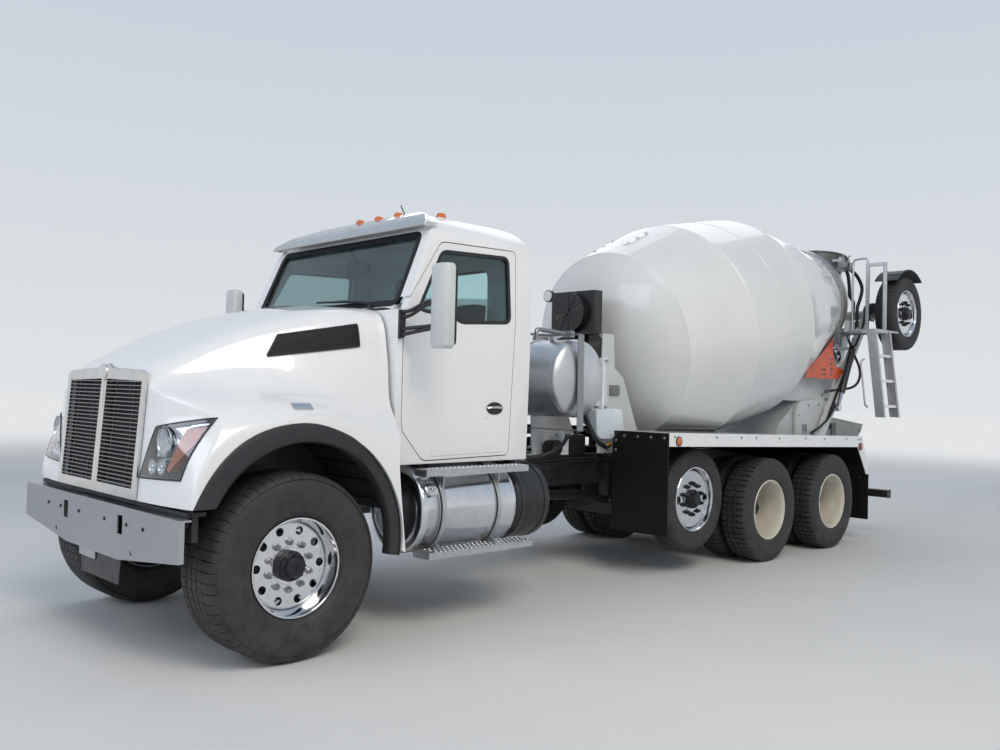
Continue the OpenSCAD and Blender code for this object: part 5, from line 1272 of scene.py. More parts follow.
def cushion(low, high, crown, lean):
    """A stuffed block: its faces swell and its sides pull in between the corners."""
    low, high = Vector(low), Vector(high)
    half, mid = (high - low) / 2, (high + low) / 2
    shape = Shape()
    bmesh.ops.create_cube(shape.bm, size=2)
    bmesh.ops.subdivide_edges(shape.bm, edges=shape.bm.edges, cuts=8, use_grid_fill=True)
    for v in shape.bm.verts:
        p = v.co.copy()
        fall = [1 - abs(c) ** 4 for c in p]
        for k in range(3):
            if abs(p[k]) > 0.999:
                v.co[k] += copysign(crown / half[k] * fall[k - 1] * fall[k - 2], p[k])
        corner = 1 - 0.06 * sum(abs(c) ** 6 for c in p) / 3
        v.co = Vector((v.co.x * half.x * corner, v.co.y * half.y * corner, v.co.z * half.z)) + mid
        v.co.x -= lean * (v.co.z - low.z)
    return shape


FLOOR_Z = 1.185
# Name, rear and front end, half width, foot and top above the floor, swell, lean
SEAT = (("seat_cushion", -1.955, -1.455, 0.25, 0.255, 0.39, 0.015, 0.0), ("seat_back", -1.93, -1.83, 0.23,
    0.41, 0.93, 0.018, 0.085), ("head_rest", -1.985, -1.895, 0.14, 0.95, 1.12, 0.012, 0.06))
for side, s in SIDES.items():
    y = s * 0.5
    base = Shape().box((-1.94, y - 0.22, FLOOR_Z), (-1.52, y + 0.22, FLOOR_Z + 0.24))
    base.piece(f"seat_base_{side}", cast_black, bevel=0.01)
    for name, x0, x1, half, z0, z1, crown, lean in SEAT:
        shape = cushion((x0, y - half, FLOOR_Z + z0), (x1, y + half, FLOOR_Z + z1), crown, lean)
        shape.piece(f"{name}_{side}", vinyl, crease=60)

# Frame, axles and engine keep their CAD shapes with eased edges; bolts and pipes are added

softened(0.004, frame=chassis_enamel, front_axle=chassis_enamel, knuckle_left=chassis_enamel,
    knuckle_right=chassis_enamel, rear_axles=chassis_enamel, pusher_axle=chassis_enamel, engine=engine_paint)
RAIL_Y, RAIL_TOP = 0.432, 1.085
ON_RAIL = moved(0, 0, RAIL_TOP)
shape = Shape()
bolt = Shape().turned([(0, 0), (0.017, 0), (0.017, 0.003), (0.0125, 0.003), (0.0125, 0.011), (0, 0.012)],
    along_y(0, 0, RAIL_Y), 6)
for x, count in ((-3.1, 4), (-4.62, 3), (-6.0, 3), (-7.6, 5), (-2.45, 3), (-0.7, 4), (0.05, 4)):
    for z in (0.865, 0.95, 1.035):
        shape.row(bolt, count, (x, 0, z), (0.085, 0, 0))
shape.both().piece("frame_bolts", black_iron, tidy=False)
shape = Shape()
for y, z, r, x0, x1 in ((0.452, 1.045, 0.01, -3.6, -0.3), (0.45, 1.02, 0.007, -3.6, -0.3),
    (0.449, 0.905, 0.008, -7.4, -3.7)):
    line = [(x0 + (x1 - x0) * i / 9, y, z + 0.006 * sin(i * 2.1)) for i in range(10)]
    shape.tube(smooth_path(line, 3), r, 8)
shape.both().piece("frame_lines", hose_rubber, crease=60)

# Fuel tank: rolled shell with seams, straps with their liners, filler neck and cap
TANK_R, TANK_Y, TANK_Z, TANK_FRONT, TANK_REAR = 0.304, 0.88, 0.81, -0.94, -1.86
STRAPS = (-1.13, -1.65)


def bead(at, rise, half=0.006):
    return [(TANK_R + out, at + up) for out, up in ((0, -half), (rise, -half * 0.4), (rise, half * 0.4),
        (0, half))]


length = TANK_FRONT - TANK_REAR
end = smooth_line([(0.001, 0.018), (0.16, 0.014), (0.24, 0.004), (0.275, 0.01), (0.297, 0.024),
    (TANK_R, 0.046)], 4)
outline = [(0, 0.018), *end, *bead(0.056, 0.002), *bead(length - 0.056, 0.002), *[(r, length - z) for r,
    z in end[::-1]], (0, length - 0.018)]
shape = Shape().turned(outline, along_x(TANK_Y, TANK_Z, TANK_REAR), 128)
shape.piece("fuel_tank_shell", tank_aluminium, replaces="fuel_tank", crease=40)
straps, liners = Shape(), Shape()
for x in STRAPS:
    place = along_x(TANK_Y, TANK_Z, x)
    straps.turned(rect(TANK_R + 0.0005, -0.03, TANK_R + 0.0055, 0.03), place)
    straps.plate(rect(x - 0.03, TANK_Z - 0.16, x + 0.03, TANK_Z + 0.15), RAIL_Y, TANK_Y - 0.28)
    liners.turned(rect(TANK_R + 0.0056, -0.023, TANK_R + 0.0086, 0.023), place, turn=300, start=-60)
straps.piece("tank_straps", mill_aluminium, bevel=0.0015)
liners.piece("strap_liners", hose_rubber)
neck = moved(TANK_FRONT - 0.1, TANK_Y, TANK_Z) @ spun(-60, "X")
cap = ((0.02, -0.01), (0.045, -0.01), (0.045, 0.006), (0.055, 0.006), (0.055, 0.022), (0.05, 0.025),
    (0.02, 0.025))
shape = Shape().turned([(r, TANK_R + up) for r, up in cap], neck, 48)
for i in range(12):
    shape.box((0.053, -0.005, TANK_R + 0.006), (0.0575, 0.005, TANK_R + 0.02), neck @ spun(30 * i, "Z"))
shape.box((-0.03, -0.006, TANK_R + 0.024), (0.03, 0.006, TANK_R + 0.036), neck)
shape.piece("filler_cap", bright_plate, bevel=0.0015, tidy=False)

# Steps: aluminium channels with raised grip rings, on their brackets
STEP_Y, TREAD_H = 1.215, 0.045
TREADS = [(-1.92, -0.95, 1.055, 1.088), (-1.98, -0.99, 0.5, 1.045)]
grip = Shape().turned([(0.008, 0), (0.014, 0), (0.012, 0.0035), (0.009, 0.0035)], steps=12)
shape = Shape()
for x0, x1, z, y0 in TREADS:
    top = z + TREAD_H
    shape.box((x0, y0, top - 0.005), (x1, STEP_Y, top))
    for y in (STEP_Y - 0.006, y0):
        shape.box((x0, y, z), (x1, y + 0.006, top - 0.006))
    for x in (x0, x1 - 0.006):
        shape.box((x, y0 + 0.007, z), (x + 0.006, STEP_Y - 0.007, top - 0.006))
    across = int((STEP_Y - y0 - 0.02) / 0.038)
    for j in range(across):
        y = y0 + 0.024 + j * (STEP_Y - y0 - 0.048) / (across - 1)
        shape.row(grip, int((x1 - x0 - 0.05) / 0.04), (x0 + 0.03, y, top - 0.0005), (0.04, 0, 0))
shape.both().piece("step_treads", mill_aluminium, replaces="side_steps", tidy=False)
# Brackets: bars that hug the tank's straps, a gusset at each tread; on the right they stand on the box
BOX_LOW, BOX_HIGH, STRAP_R, BAR = 0.56, 0.99, 0.313, 0.01
(_, _, top_z, top_y), (_, _, foot_z, foot_y) = TREADS
foot_top, inner_y = foot_z + TREAD_H, foot_y - 0.04
high_angle, low_angle = asin((top_z - TANK_Z) / STRAP_R), -acos((inner_y - TANK_Y) / STRAP_R)
angles = [high_angle + (low_angle - high_angle) * i / 20 for i in range(21)]
arc, bar = ([(TANK_Y + r * cos(a), TANK_Z + r * sin(a)) for a in angles] for r in (STRAP_R, STRAP_R + BAR))
shape = Shape()
for x in STRAPS:
    shape.plate(arc + bar[::-1], x - 0.017, x + 0.017, "yz")
    shape.plate([(STEP_Y - 0.03, top_z), *bar[1:6]], x - 0.004, x + 0.004, "yz")
    shape.plate([(STEP_Y - 0.03, foot_top), (inner_y, foot_top), *bar[:15:-1]], x - 0.004, x + 0.004, "yz")
    shape.box((x - 0.008, 0.008 - STEP_Y, foot_top), (x + 0.008, -foot_y, BOX_LOW))
    shape.box((x - 0.008, 0.008 - STEP_Y, BOX_HIGH), (x + 0.008, -top_y, top_z))
shape.piece("step_brackets", mill_aluminium, bevel=0.0015)

# Fluid tank and its blue cap, treatment housing, battery box and air tanks
softened(0.006, chassis_boxes=cast_black)
place = moved(-2.06, 0.87, 1.105)
shape = Shape().turned([(0, 0), (0.04, 0), (0.04, 0.03), (0.034, 0.038), (0, 0.038)], place, 32)
for i in range(16):
    shape.box((0.038, -0.003, 0.003), (0.043, 0.003, 0.028), place @ spun(22.5 * i, "Z"))
blue = finish("blue moulded plastic", "black_plastic", "#1C4FA0", "#18458C", patch_mm=20, roughness=0.4,
    grain_mm=2, bump_mm=0.04)
shape.piece("fluid_cap", blue, tidy=False)
shape = Shape()
for x in (-2.18, -1.94):
    for r, y, z in ((0.2905, 0.87, 0.81), (0.2005, -0.87, 0.8)):
        shape.turned(rect(r, -0.02, r + 0.0035, 0.02), along_x(y, z, x), 64)
shape.piece("fluid_tank_bands", machine_black)
shape = Shape()
for z in (0.62 + i * 0.04 for i in range(9)):
    shape.box((-1.84, -1.1865, z), (-1.42, -1.1795, z + 0.014))
shape.box((-1.37, -1.186, 0.6), (-1.05, -1.1795, 0.95))
for x in (-1.36, -1.06):
    shape.box((x - 0.015, -1.19, 0.78), (x + 0.015, -1.184, 0.9))
shape.piece("side_box_covers", chassis_enamel, bevel=0.002)

# Fender strips with their flap plates, lamps and bolts
FENDER_FRONT, FENDER_REAR, FENDER_TAIL, TAIL_Z = -3.66, -7.45, -7.62, 0.78
FENDER_Z0, FENDER_Z1, SKIRT, PLATE, FENDER_INNER, FENDER_OUTER = 1.312, 1.222, 0.12, 0.006, 0.665, 1.22
fender_skin_y = FENDER_OUTER + PLATE


def fender_z(x):
    return FENDER_Z0 + (FENDER_Z1 - FENDER_Z0) * (x - FENDER_FRONT) / (FENDER_REAR - FENDER_FRONT)


def fender_strip(top, low, tail, tail_end, back=0.0):
    """Side view of a strip along the fender, its two edges lowered by top and low."""
    return [(FENDER_FRONT, FENDER_Z0 - low), (FENDER_FRONT, FENDER_Z0 - top), (FENDER_REAR, FENDER_Z1 - top),
        (FENDER_TAIL + tail, TAIL_Z), (FENDER_TAIL + tail_end, TAIL_Z), (FENDER_REAR + back, FENDER_Z1 - low)]


shape = Shape().plate(fender_strip(0, PLATE, 0, 0.008), FENDER_INNER, FENDER_OUTER)
shape.plate(fender_strip(0, SKIRT, 0, 0.06, 0.12), FENDER_OUTER, fender_skin_y)
lip = [(FENDER_FRONT, FENDER_Z0 - SKIRT), (FENDER_REAR + 0.12, FENDER_Z1 - SKIRT)]
shape.plate(lip + [(x, z + 0.005) for x, z in lip[::-1]], FENDER_OUTER - 0.022, FENDER_OUTER)
shape.both().piece("fender_strips", white_enamel, replaces="fenders", bevel=0.0015)
shape = Shape()
for x in (-3.7, -4.845, -6.11, -7.4):
    rise = fender_z(x) - PLATE - 0.001
    shape.box((x - 0.028, RAIL_Y, 1.01), (x + 0.028, FENDER_INNER, 1.08))
    shape.box((x - 0.028, FENDER_INNER - 0.06, 1.08), (x + 0.028, FENDER_INNER, rise))
    shape.box((x - 0.028, FENDER_INNER, rise - 0.052), (x + 0.028, FENDER_OUTER - 0.001, rise - 0.004))
    shape.box((x - 0.048, RAIL_Y, 1.0), (x + 0.048, RAIL_Y + 0.01, 1.088))
    for z in (1.027, 1.063):
        shape.tube([(x - 0.04, RAIL_Y + 0.012, z), (x + 0.04, RAIL_Y + 0.012, z)], 0.01, 6)
# Dark undercoat below the white top
shape.plate(fender_strip(PLATE + 0.0005, PLATE + 0.003, 0.0085, 0.011), FENDER_INNER + 0.002, FENDER_OUTER
    - 0.0235)
shape.both().piece("fender_brackets", chassis_enamel)
screw = Shape().turned([(0, 0), (0.013, 0), (0.011, 0.005), (0.006, 0.007), (0, 0.007)],
    along_y(0, 0, fender_skin_y), 12)
shape = Shape()
for x in (-3.74, -4.4, -4.83, -5.1, -5.55, -6.1, -6.52, -7.04, -7.34, -7.4):
    shape.row(screw, 1, (x, 0, fender_z(x) - 0.035), (0, 0, 0))
shape.both().piece("fender_bolts", zinc_plate, tidy=False)
for name, x, z, material in (("fender_marker", -3.8, 1.235, amber_lens), ("fender_tail_lamp", -7.395, 1.105,
    red_lens)):
    place = along_y(x, z, fender_skin_y)
    shape = Shape().turned([(0, 0), (0.038, 0), (0.038, 0.006), (0.028, 0.012), (0, 0.015)], place, 32)
    shape.both().piece(name, material, crease=40)
    shape = Shape().turned([(0.0385, 0), (0.045, 0), (0.043, 0.008), (0.0385, 0.008)], place, 32)
    shape.both().piece(name + "_grommet", hose_rubber)

# Rubber flaps, clamped under a strip with carriage bolts
shape = Shape().plate([(0.605, 1.235), (0.7, 1.305), (1.225, 1.305), (1.225, 0.41), (0.61, 0.405)], -3.66,
    -3.65, "yz")
shape.plate([(0.605, 0.779), (1.225, 0.779), (1.225, 0.252), (0.612, 0.25)], -7.63, -7.62, "yz")
shape.both().piece("rubber_flaps", flap_rubber, replaces="mud_flaps", bevel=0.002)
button = Shape().turned([(0, 0), (0.016, 0), (0.013, 0.006), (0, 0.009)], along_x(0, 0, -3.65), 12)
shape = Shape().row(button, 4, (0, 0.74, 1.262), (0, 0.145, 0)).row(button, 2, (0, 0.64, 1.13), (0, 0, 0.085))
shape.row(button, 2, (-3.97, 0.7, 0.74), (0, 0.42, 0)).both().piece("flap_bolts", zinc_plate, tidy=False)

# Water tank: banded aluminium shell with its legs, strap, sight pipe and top pipes
WATER_X, WATER_Z, WATER_R, WATER_HALF, DOME = -2.93, 1.76, 0.33, 0.8, 0.09
cap = smooth_line([(0.001, DOME), (0.165, DOME * 0.8), (0.264, DOME * 0.45), (0.315, DOME * 0.12),
    (WATER_R, -0.02)], 6)
side = [(0, WATER_HALF + DOME), *[(r, WATER_HALF + y) for r, y in cap], (WATER_R, 0.768),
    (WATER_R + 0.002, 0.765), (WATER_R, 0.758)]
bands = [(WATER_R + rise, y + dy) for y in (0.4, 0.0, -0.4) for rise, dy in ((0, 0.006), (0.0015, 0.002),
    (0.0015, -0.002), (0, -0.006))]
outline = side + bands + [(r, -y) for r, y in side[::-1]]
rolled = finish("rolled tank aluminium", "plain_aluminium", "#D6D8DA", "#C2C5C8", patch_mm=500,
    roughness=0.36, rough_spread=0.04, grain_mm=2, bump_mm=0.015, stretch=(1, 0.04, 1), Metallic=0.9)
shape = Shape().turned(outline[::-1], along_y(WATER_X, WATER_Z), 128)
shape.piece("water_tank_shell", rolled, replaces="water_tank", crease=40)
shape = Shape().plate([(WATER_X - 0.06, RAIL_TOP), (WATER_X + 0.06, RAIL_TOP), (WATER_X + 0.09, WATER_Z
    - 0.3), (WATER_X - 0.09, WATER_Z - 0.3)], 0.33, 0.345)
shape.box((WATER_X - 0.12, 0.33, RAIL_TOP), (WATER_X + 0.12, 0.428, RAIL_TOP + 0.014))
for x in (WATER_X - 0.085, WATER_X + 0.085):
    shape.tube([(x, 0.387, RAIL_TOP + 0.01), (x, 0.387, RAIL_TOP + 0.03)], 0.012, 6)
# Cradle and strap round the shell
shape.turned(rect(WATER_R + 0.0025, 0.3075, WATER_R + 0.008, 0.3675), along_y(WATER_X, WATER_Z), 96)
shape.both().piece("water_tank_cradle", grey_enamel, bevel=0.002)
shape = Shape()
for y in (0.3, -0.25):
    shape.tube([(0, y, -0.005), (0, y, 0.04)], 0.034, 16)
shape.tube(smooth_path([(0, 0.3, 0.03), (0, 0.3, 0.085), (-0.06, 0.3, 0.105), (-0.42, 0.3, 0.085)], 5), 0.02,
    10)
path = [(0, -0.25, 0.03), (-0.05, -0.25, 0.08), (-0.2, -0.1, 0.09), (-0.33, 0.14, 0.075),
    (-0.42, 0.26, 0.085)]
shape.tube(smooth_path(path, 5), 0.012, 8).box((-0.46, 0.255, 0.055), (-0.4, 0.345, 0.115))
shape.turned([(0, 0), (0.075, 0), (0.075, 0.02), (0.062, 0.03), (0, 0.032)], moved(0.02, 0.02, -0.006), 32)
shape.put(moved(WATER_X, 0, WATER_Z + WATER_R)).piece("water_pipes", zinc_plate, crease=45)
# Flat guard bar before the dome, and the sight tube in its white channel behind it
shape = Shape().plate([(-0.045, 1.32), (0.032, 1.32), (0.038, 2.13), (-0.032, 2.13)], 0.894, 0.902)
shape.box((-0.032, 0.56, 2.122), (0.038, 0.902, 2.13)).box((-0.025, 0.56, 2.06), (0.025, 0.568, 2.122))
shape.box((-0.045, 0.345, 1.32), (0.032, 0.902, 1.328)).put(moved(WATER_X + 0.085, 0))
shape.piece("tank_guard_bar", zinc_plate, bevel=0.0015)
GAUGE = moved(WATER_X - 0.345, 0.79)
shape = Shape().plate([(-0.034, 0.02), (0.034, 0.02), (0.034, -0.018), (0.028, -0.018), (0.028, 0.014),
    (-0.028, 0.014), (-0.028, -0.018), (-0.034, -0.018)], 1.5, 1.95, "xy")
for z in (1.56, 1.88):
    shape.box((0.02, -0.05, z - 0.03), (0.12, -0.02, z + 0.03))
shape.put(GAUGE).piece("sight_channel", white_enamel, bevel=0.0015)
shape = Shape().tube([(0, 0.032, z) for z in (1.53, 1.65, 1.8, 1.92)], 0.01, 12)
shape.put(GAUGE).piece("sight_tube", clear_lens)
shape = Shape()
for z in (1.52, 1.925):
    shape.turned(rect(0, 0, 0.017, 0.02), moved(0, 0.032, z - 0.01), 6)
shape.put(GAUGE).piece("sight_tube_nuts", zinc_plate)

# Pump motor, valve chest, control box and hoses on the frame under the water tank
shape = Shape().turned([(0, 0), (0.058, 0), (0.066, 0.008), (0.066, 0.125), (0.06, 0.134), (0.03, 0.136),
    (0.028, 0.142), (0, 0.142)], along_y(-3.045, 0.07, 0.352), 40)
shape.box((-3.095, 0.36, 0), (-2.995, 0.46, 0.02)).box((-3.45, 0.27, 0), (-3.24, 0.452, 0.175))
for z in (0.045, 0.09, 0.135):
    shape.box((-3.44, 0.452, z - 0.014), (-3.25, 0.456, z + 0.014))
shape.put(ON_RAIL).piece("pump_motor_and_box", machine_black, bevel=0.003, crease=40)
shape = Shape().box((-3.225, 0.3, 0), (-3.125, 0.45, 0.165)).box((-3.215, 0.45, 0.03), (-3.135, 0.458, 0.12))
shape.turned([(0, 0), (0.034, 0), (0.034, 0.03), (0.024, 0.034), (0.024, 0.06), (0, 0.06)],
    moved(-3.175, 0.4, 0.165), 24)
for x in (-3.195, -3.155):
    shape.tube([(x, 0.45, 0.14), (x, 0.482, 0.14)], 0.014, 6)
shape.put(ON_RAIL).piece("valve_chest", white_enamel, bevel=0.003)
SUPPLY_HOSES = [(0.018, [(-3.155, 0.48, 0.14), (-3.08, 0.56, 0.17), (-2.96, 0.58, 0.08), (-2.8, 0.52, 0.01),
    (-2.56, 0.46, -0.02)]), (0.022, [(-3.3, 0.56, 0.355), (-3.33, 0.6, 0.255), (-3.4, 0.61, 0.145),
    (-3.52, 0.6, 0.085), (-3.61, 0.56, 0.065)]), (0.014, [(-3.195, 0.48, 0.14), (-3.23, 0.54, 0.19),
    (-3.33, 0.52, 0.23), (-3.44, 0.47, 0.21), (-3.56, 0.44, 0.17)]), (0.014, [(-2.86, 0.18, 0.03),
    (-2.7, 0.28, 0.13), (-2.5, 0.3, 0.12), (-2.3, 0.26, 0.04)])]
shape = Shape()
for r, line in SUPPLY_HOSES:
    shape.tube(smooth_path(line, 8), r, 12)
shape.put(ON_RAIL).piece("supply_hoses", hose_rubber, crease=60)
shape = Shape().turned([(0, 0), (0.026, 0), (0.026, 0.018), (0.02, 0.02), (0.02, 0.05), (0.026, 0.052),
    (0.026, 0.066), (0, 0.066)], moved(-3.61, 0.56, 1.15) @ spun(-70, "Y"), 6)
brass = finish("yellow brass", "bright_trim", "#C9A24A", "#B58E3B", patch_mm=12, roughness=0.25, Metallic=1.0)
shape.piece("hose_union", brass, bevel=0.001)
# Half-clear additive tank beside the pedestal, ribbed at each mark
outline = rounded([(-3.9, 1.225), (-3.56, 1.225), (-3.5, 1.26), (-3.48, 1.5), (-3.86, 1.5)], 0.03)
shape = Shape().plate(outline, 0.455, 0.545)
for i in range(7):
    z = 1.265 + i * 0.033
    shape.box((-3.7, 0.544, z), (-3.64 if i % 2 else -3.6, 0.548, z + 0.005))
shape.turned(head(0.03, 0.022), moved(-3.66, 0.5, 1.499), 24)
milky = finish("milky polyethylene", "white_paint", "#DCE6EC", "#D2DEE6", patch_mm=120, roughness=0.35,
    grain_mm=6, bump_mm=0.1, Subsurface_Weight=0.3, Subsurface_Scale=0.02)
shape.piece("additive_tank", milky, bevel=0.006)

# Front pedestal: a hollow welded box with a hand hole each side, and the bore for the drum's gearbox
DRUM = moved(-4.355, 0, 2.119) @ spun(11.43 - 90, "Y")
PED_HALF, PED_WALL, PED_SKIN = 0.43, 0.014, 0.4305
inside = PED_HALF - PED_WALL
ped_outline = [(-4.28, 1.085), (-4.28, 1.22), (-4.01, 1.8), (-3.88, 1.88), (-3.86, 2.2), (-3.7, 2.2),
    (-3.68, 1.8), (-3.65, 1.25), (-3.65, 1.085)]
hand_hole = rounded(rect(-3.97, 1.6, -3.775, 1.735), 0.045)
hollow = Shape().plate(offset(ped_outline, -PED_WALL), -inside, inside)
bore = Shape().turned(rect(0, -0.72, 0.2, -0.32), DRUM, 64)
shape = Shape().plate(ped_outline, -PED_HALF, PED_HALF).cut(hollow, bore, Shape().plate(hand_hole, -0.48,
    0.48))
shape.piece("front_pedestal_box", grey_enamel, replaces="front_pedestal", bevel=0.003)
shape = Shape().plate(offset(hand_hole, 0.014), PED_SKIN, 0.436, holes=[hand_hole])
for x in (-4.23, -3.7):
    shape.box((x - 0.012, PED_SKIN, 1.09), (x + 0.012, 0.47, 1.23))
shape.box((-4.28, PED_SKIN, 1.0855), (-3.65, 0.475, 1.099)).both().piece("pedestal_ribs", grey_enamel,
    bevel=0.002)
shape = Shape()
for x in (-4.16, -3.98, -3.8):
    shape.turned(head(0.018, 0.012), moved(x, 0.452, 1.099), 6)
shape.both().piece("pedestal_bolts", zinc_plate)
softened(0.004, drum_drive=machine_black)
shape = Shape().row(Shape().box((0, -0.235, 0), (0.004, 0.285, 0.0025)), 44, (-3.7205, 0, 2.225),
    (0, 0, 0.0087))
shape.turned(rect(0.185, 0, 0.192, 0.064), along_x(0.02, 2.415, -3.722), 48)
for r in (0.15, 0.11, 0.07):
    shape.turned(circle(r, 0.061, 0.003, 6), along_x(0.02, 2.415, -3.72), 40)
for a in steps_of(6, pi):
    c, s = 0.187 * cos(a), 0.187 * sin(a)
    shape.tube([(-3.658, 0.02 - c, 2.415 - s), (-3.658, 0.02 + c, 2.415 + s)], 0.003, 6)
shape.turned(head(0.05, 0.03, 0.005), along_x(0.02, 2.415, -3.7), 24).piece("oil_cooler_guard", machine_black,
    tidy=False)
Shape().turned(rect(0, 0, 0.052, 0.004), along_x(-0.34, 2.6, -3.755), 32).piece("gauge_face", white_enamel)

# Drum: rolled cones and belly with weld seams, its roller ring, mouth bead and hatch
HEAD_R, BELLY_R, BELLY_BACK_R, MOUTH_R = 0.95, 1.167, 1.163, 0.56
FRONT_CONE, BELLY_END, CONE_END, BULGE, BOW, SHEET = 0.873, 2.04, 4.15, 0.3, 1.654, 0.01
RING_S, RING_R = 3.78, 0.705


def drum_r(s):
    """Radius of the drum's outside at a distance along its axis behind the front head."""
    if s <= FRONT_CONE:
        return HEAD_R + (BELLY_R - HEAD_R) * s / FRONT_CONE
    if s <= BELLY_END:
        return BELLY_R + (BELLY_BACK_R - BELLY_R) * (s - FRONT_CONE) / (BELLY_END - FRONT_CONE)
    return BELLY_BACK_R + (MOUTH_R - BELLY_BACK_R) * (s - BELLY_END) / (CONE_END - BELLY_END)


def weld(s, rise=0.0035, half=0.009):
    return [(drum_r(s - half), s - half), (drum_r(s) + rise, s - half * 0.4), (drum_r(s) + rise, s + half
        * 0.4), (drum_r(s + half), s + half)]


def dome(r):
    """Where the bulging front head lies along the axis at a radius."""
    return BOW - BULGE - sqrt(BOW * BOW - r * r)


outer = [(HEAD_R * i / 24, dome(HEAD_R * i / 24)) for i in range(24)]
outer += [(HEAD_R - 0.012, -0.012), (HEAD_R + 0.002, -0.006), (HEAD_R + 0.004, 0.004)]
outer += [p for s in (FRONT_CONE, FRONT_CONE + 0.58, BELLY_END, 2.95) for p in weld(s)]
outer += [(MOUTH_R + 0.006, CONE_END - 0.05), (MOUTH_R + 0.01, CONE_END - 0.035), (MOUTH_R + 0.01, CONE_END)]
inner = [(MOUTH_R - SHEET, CONE_END)] + [(drum_r(s) - SHEET, s) for s in (BELLY_END, FRONT_CONE, 0.02)]
inner += [(HEAD_R * i / 12 - (0.008 if i else 0), 0.012 + dome(HEAD_R * i / 12)) for i in range(12, -1, -1)]
Shape().turned(outer + inner, DRUM, 160).piece("drum_shell", drum_enamel, "drum_body", "drum", crease=28)
# Lengthwise welds where each rolled sheet closes, and the rows of the mixing fins' welds
shape = Shape()
for turn, a, b in ((20, 0.02, FRONT_CONE), (96, FRONT_CONE, BELLY_END), (200, BELLY_END, 2.95),
    (64, 2.95, CONE_END - 0.06), (250, FRONT_CONE, BELLY_END), (150, 0.02, FRONT_CONE), (330, 2.04, 2.95)):
    path = [a + (b - a) * i / 8 for i in range(9)]
    shape.tube([DRUM @ spun(turn, "Z") @ Vector((drum_r(s) + 0.0005, 0, s)) for s in path], 0.0045, 6)
shape.piece("drum_welds", drum_enamel, "drum_body", crease=60)
seat_r = drum_r(RING_S) - 0.026
outline = [(seat_r, RING_S - 0.06), (RING_R - 0.012, RING_S - 0.06), (RING_R, RING_S - 0.052),
    (RING_R, RING_S + 0.042), (RING_R - 0.012, RING_S + 0.05), (seat_r, RING_S + 0.05)]
worn = finish("worn ring steel", "worn_steel", "#A4A5A4", "#8B8C8B", patch_mm=60, roughness=0.3, grain_mm=3,
    bump_mm=0.02, Metallic=0.9)
Shape().turned(outline, DRUM, 128).piece("roller_ring", worn, "drum_body")
# Inspection hatch on the front cone: clamped plate with its bolts, bent to the cone
HATCH_S = 0.43
hatch_r = drum_r(HATCH_S)
slope = degrees(atan2(BELLY_R - HEAD_R, FRONT_CONE))
shape = Shape().plate(rounded(rect(-0.2, -0.26, 0.2, 0.26), 0.06), -0.006, 0.012, "xy")
for v in shape.bm.verts:
    v.co.z -= v.co.y ** 2 / (2 * hatch_r)
for x in (-0.165, 0.0, 0.165):
    for y in (-0.225, 0.225):
        shape.turned(head(0.016, 0.014), moved(x, y, 0.01 - y * y / (2 * hatch_r)), 6)
shape.put(DRUM @ spun(-5, "Z") @ moved(hatch_r, 0, HATCH_S) @ spun(90 + slope, "Y"))
shape.piece("drum_hatch", drum_enamel, "drum_body", bevel=0.003)

# Mixing fins seen through the mouth: two spiral blades
FIN_S, FIN_DEEP = 2.3, 0.2
shape = Shape()
for start in (0.0, pi):
    rows = []
    for i in range(73):
        s = FIN_S + (CONE_END - 0.03 - FIN_S) * i / 72
        t = start + (s - FIN_S) * 2.9
        r = drum_r(s) - SHEET - 0.001
        section = ((r, 0.0), (r - FIN_DEEP, 0.02), (r - FIN_DEEP, 0.026), (r, 0.006))
        rows.append([DRUM @ Vector((q * cos(t), q * sin(t), s + ds)) for q, ds in section])
    shape.skin(rows)
scoured = finish("scoured fin steel", "worn_steel", "#77736C", "#5E5B56", patch_mm=90, roughness=0.5,
    grain_mm=5, bump_mm=0.2, Metallic=0.5)
shape.piece("mixing_fins", scoured, "drum_body", crease=40)

# Rear: rollers, hopper, chute and booster keep their CAD shapes with eased edges

hopper_enamel = finish("hopper enamel", "pedestal_grey", "#5B635F", "#555C58", patch_mm=300, roughness=0.42,
    grain_mm=4, bump_mm=0.05, dust="#8A867B", dust_top=2.6, dust_most=0.3)
softened(0.004, roller_left=rod_chrome, roller_right=rod_chrome)
softened(0.003, chute_post=machine_black)
softened(0.002, chute=trough_steel)
softened(0.003, booster_barrels=machine_black)
softened(0.002, booster_rods=rod_chrome)
for name in ("windows", "door_glass_left", "door_glass_right"):
    pane = frame["nodes"][name]
    pane.data.materials.clear()
    pane.data.materials.append(glass)

# Rear pedestal: a dark slot cut through its side plates, and the fairing round its foot
PED_Y = 0.4255
slot = rounded([(-8.01, 1.69), (-8.1, 1.74), (-8.19, 1.735), (-8.16, 1.7), (-8.04, 1.68)], 0.02)
shape = cad_shape("rear_pedestal").cut(Shape().plate(slot, -0.5, 0.5))
shape.piece("rear_pedestal_box", grey_enamel, replaces="rear_pedestal", bevel=0.004)
fairing = [(-7.3, 1.086), (-7.3, 1.5), (-7.4, 1.61), (-7.98, 1.66), (-8.03, 1.6), (-7.905, 1.086)]
shape = Shape().plate(rounded(fairing, 0.05), PED_Y, PED_Y + 0.052)
shape.both().piece("pedestal_fairings", grey_enamel, bevel=0.014)
shape = Shape().box((-7.56, PED_Y + 0.052, 1.2), (-7.44, PED_Y + 0.056, 1.33))
for x, z in ((-7.36, 1.15), (-7.36, 1.44), (-7.6, 1.56), (-7.85, 1.57)):
    shape.turned([(0, 0), (0.016, 0), (0.012, 0.008), (0, 0.01)], along_y(x, z, PED_Y + 0.052), 12)
shape.both().piece("fairing_bolts", zinc_plate)

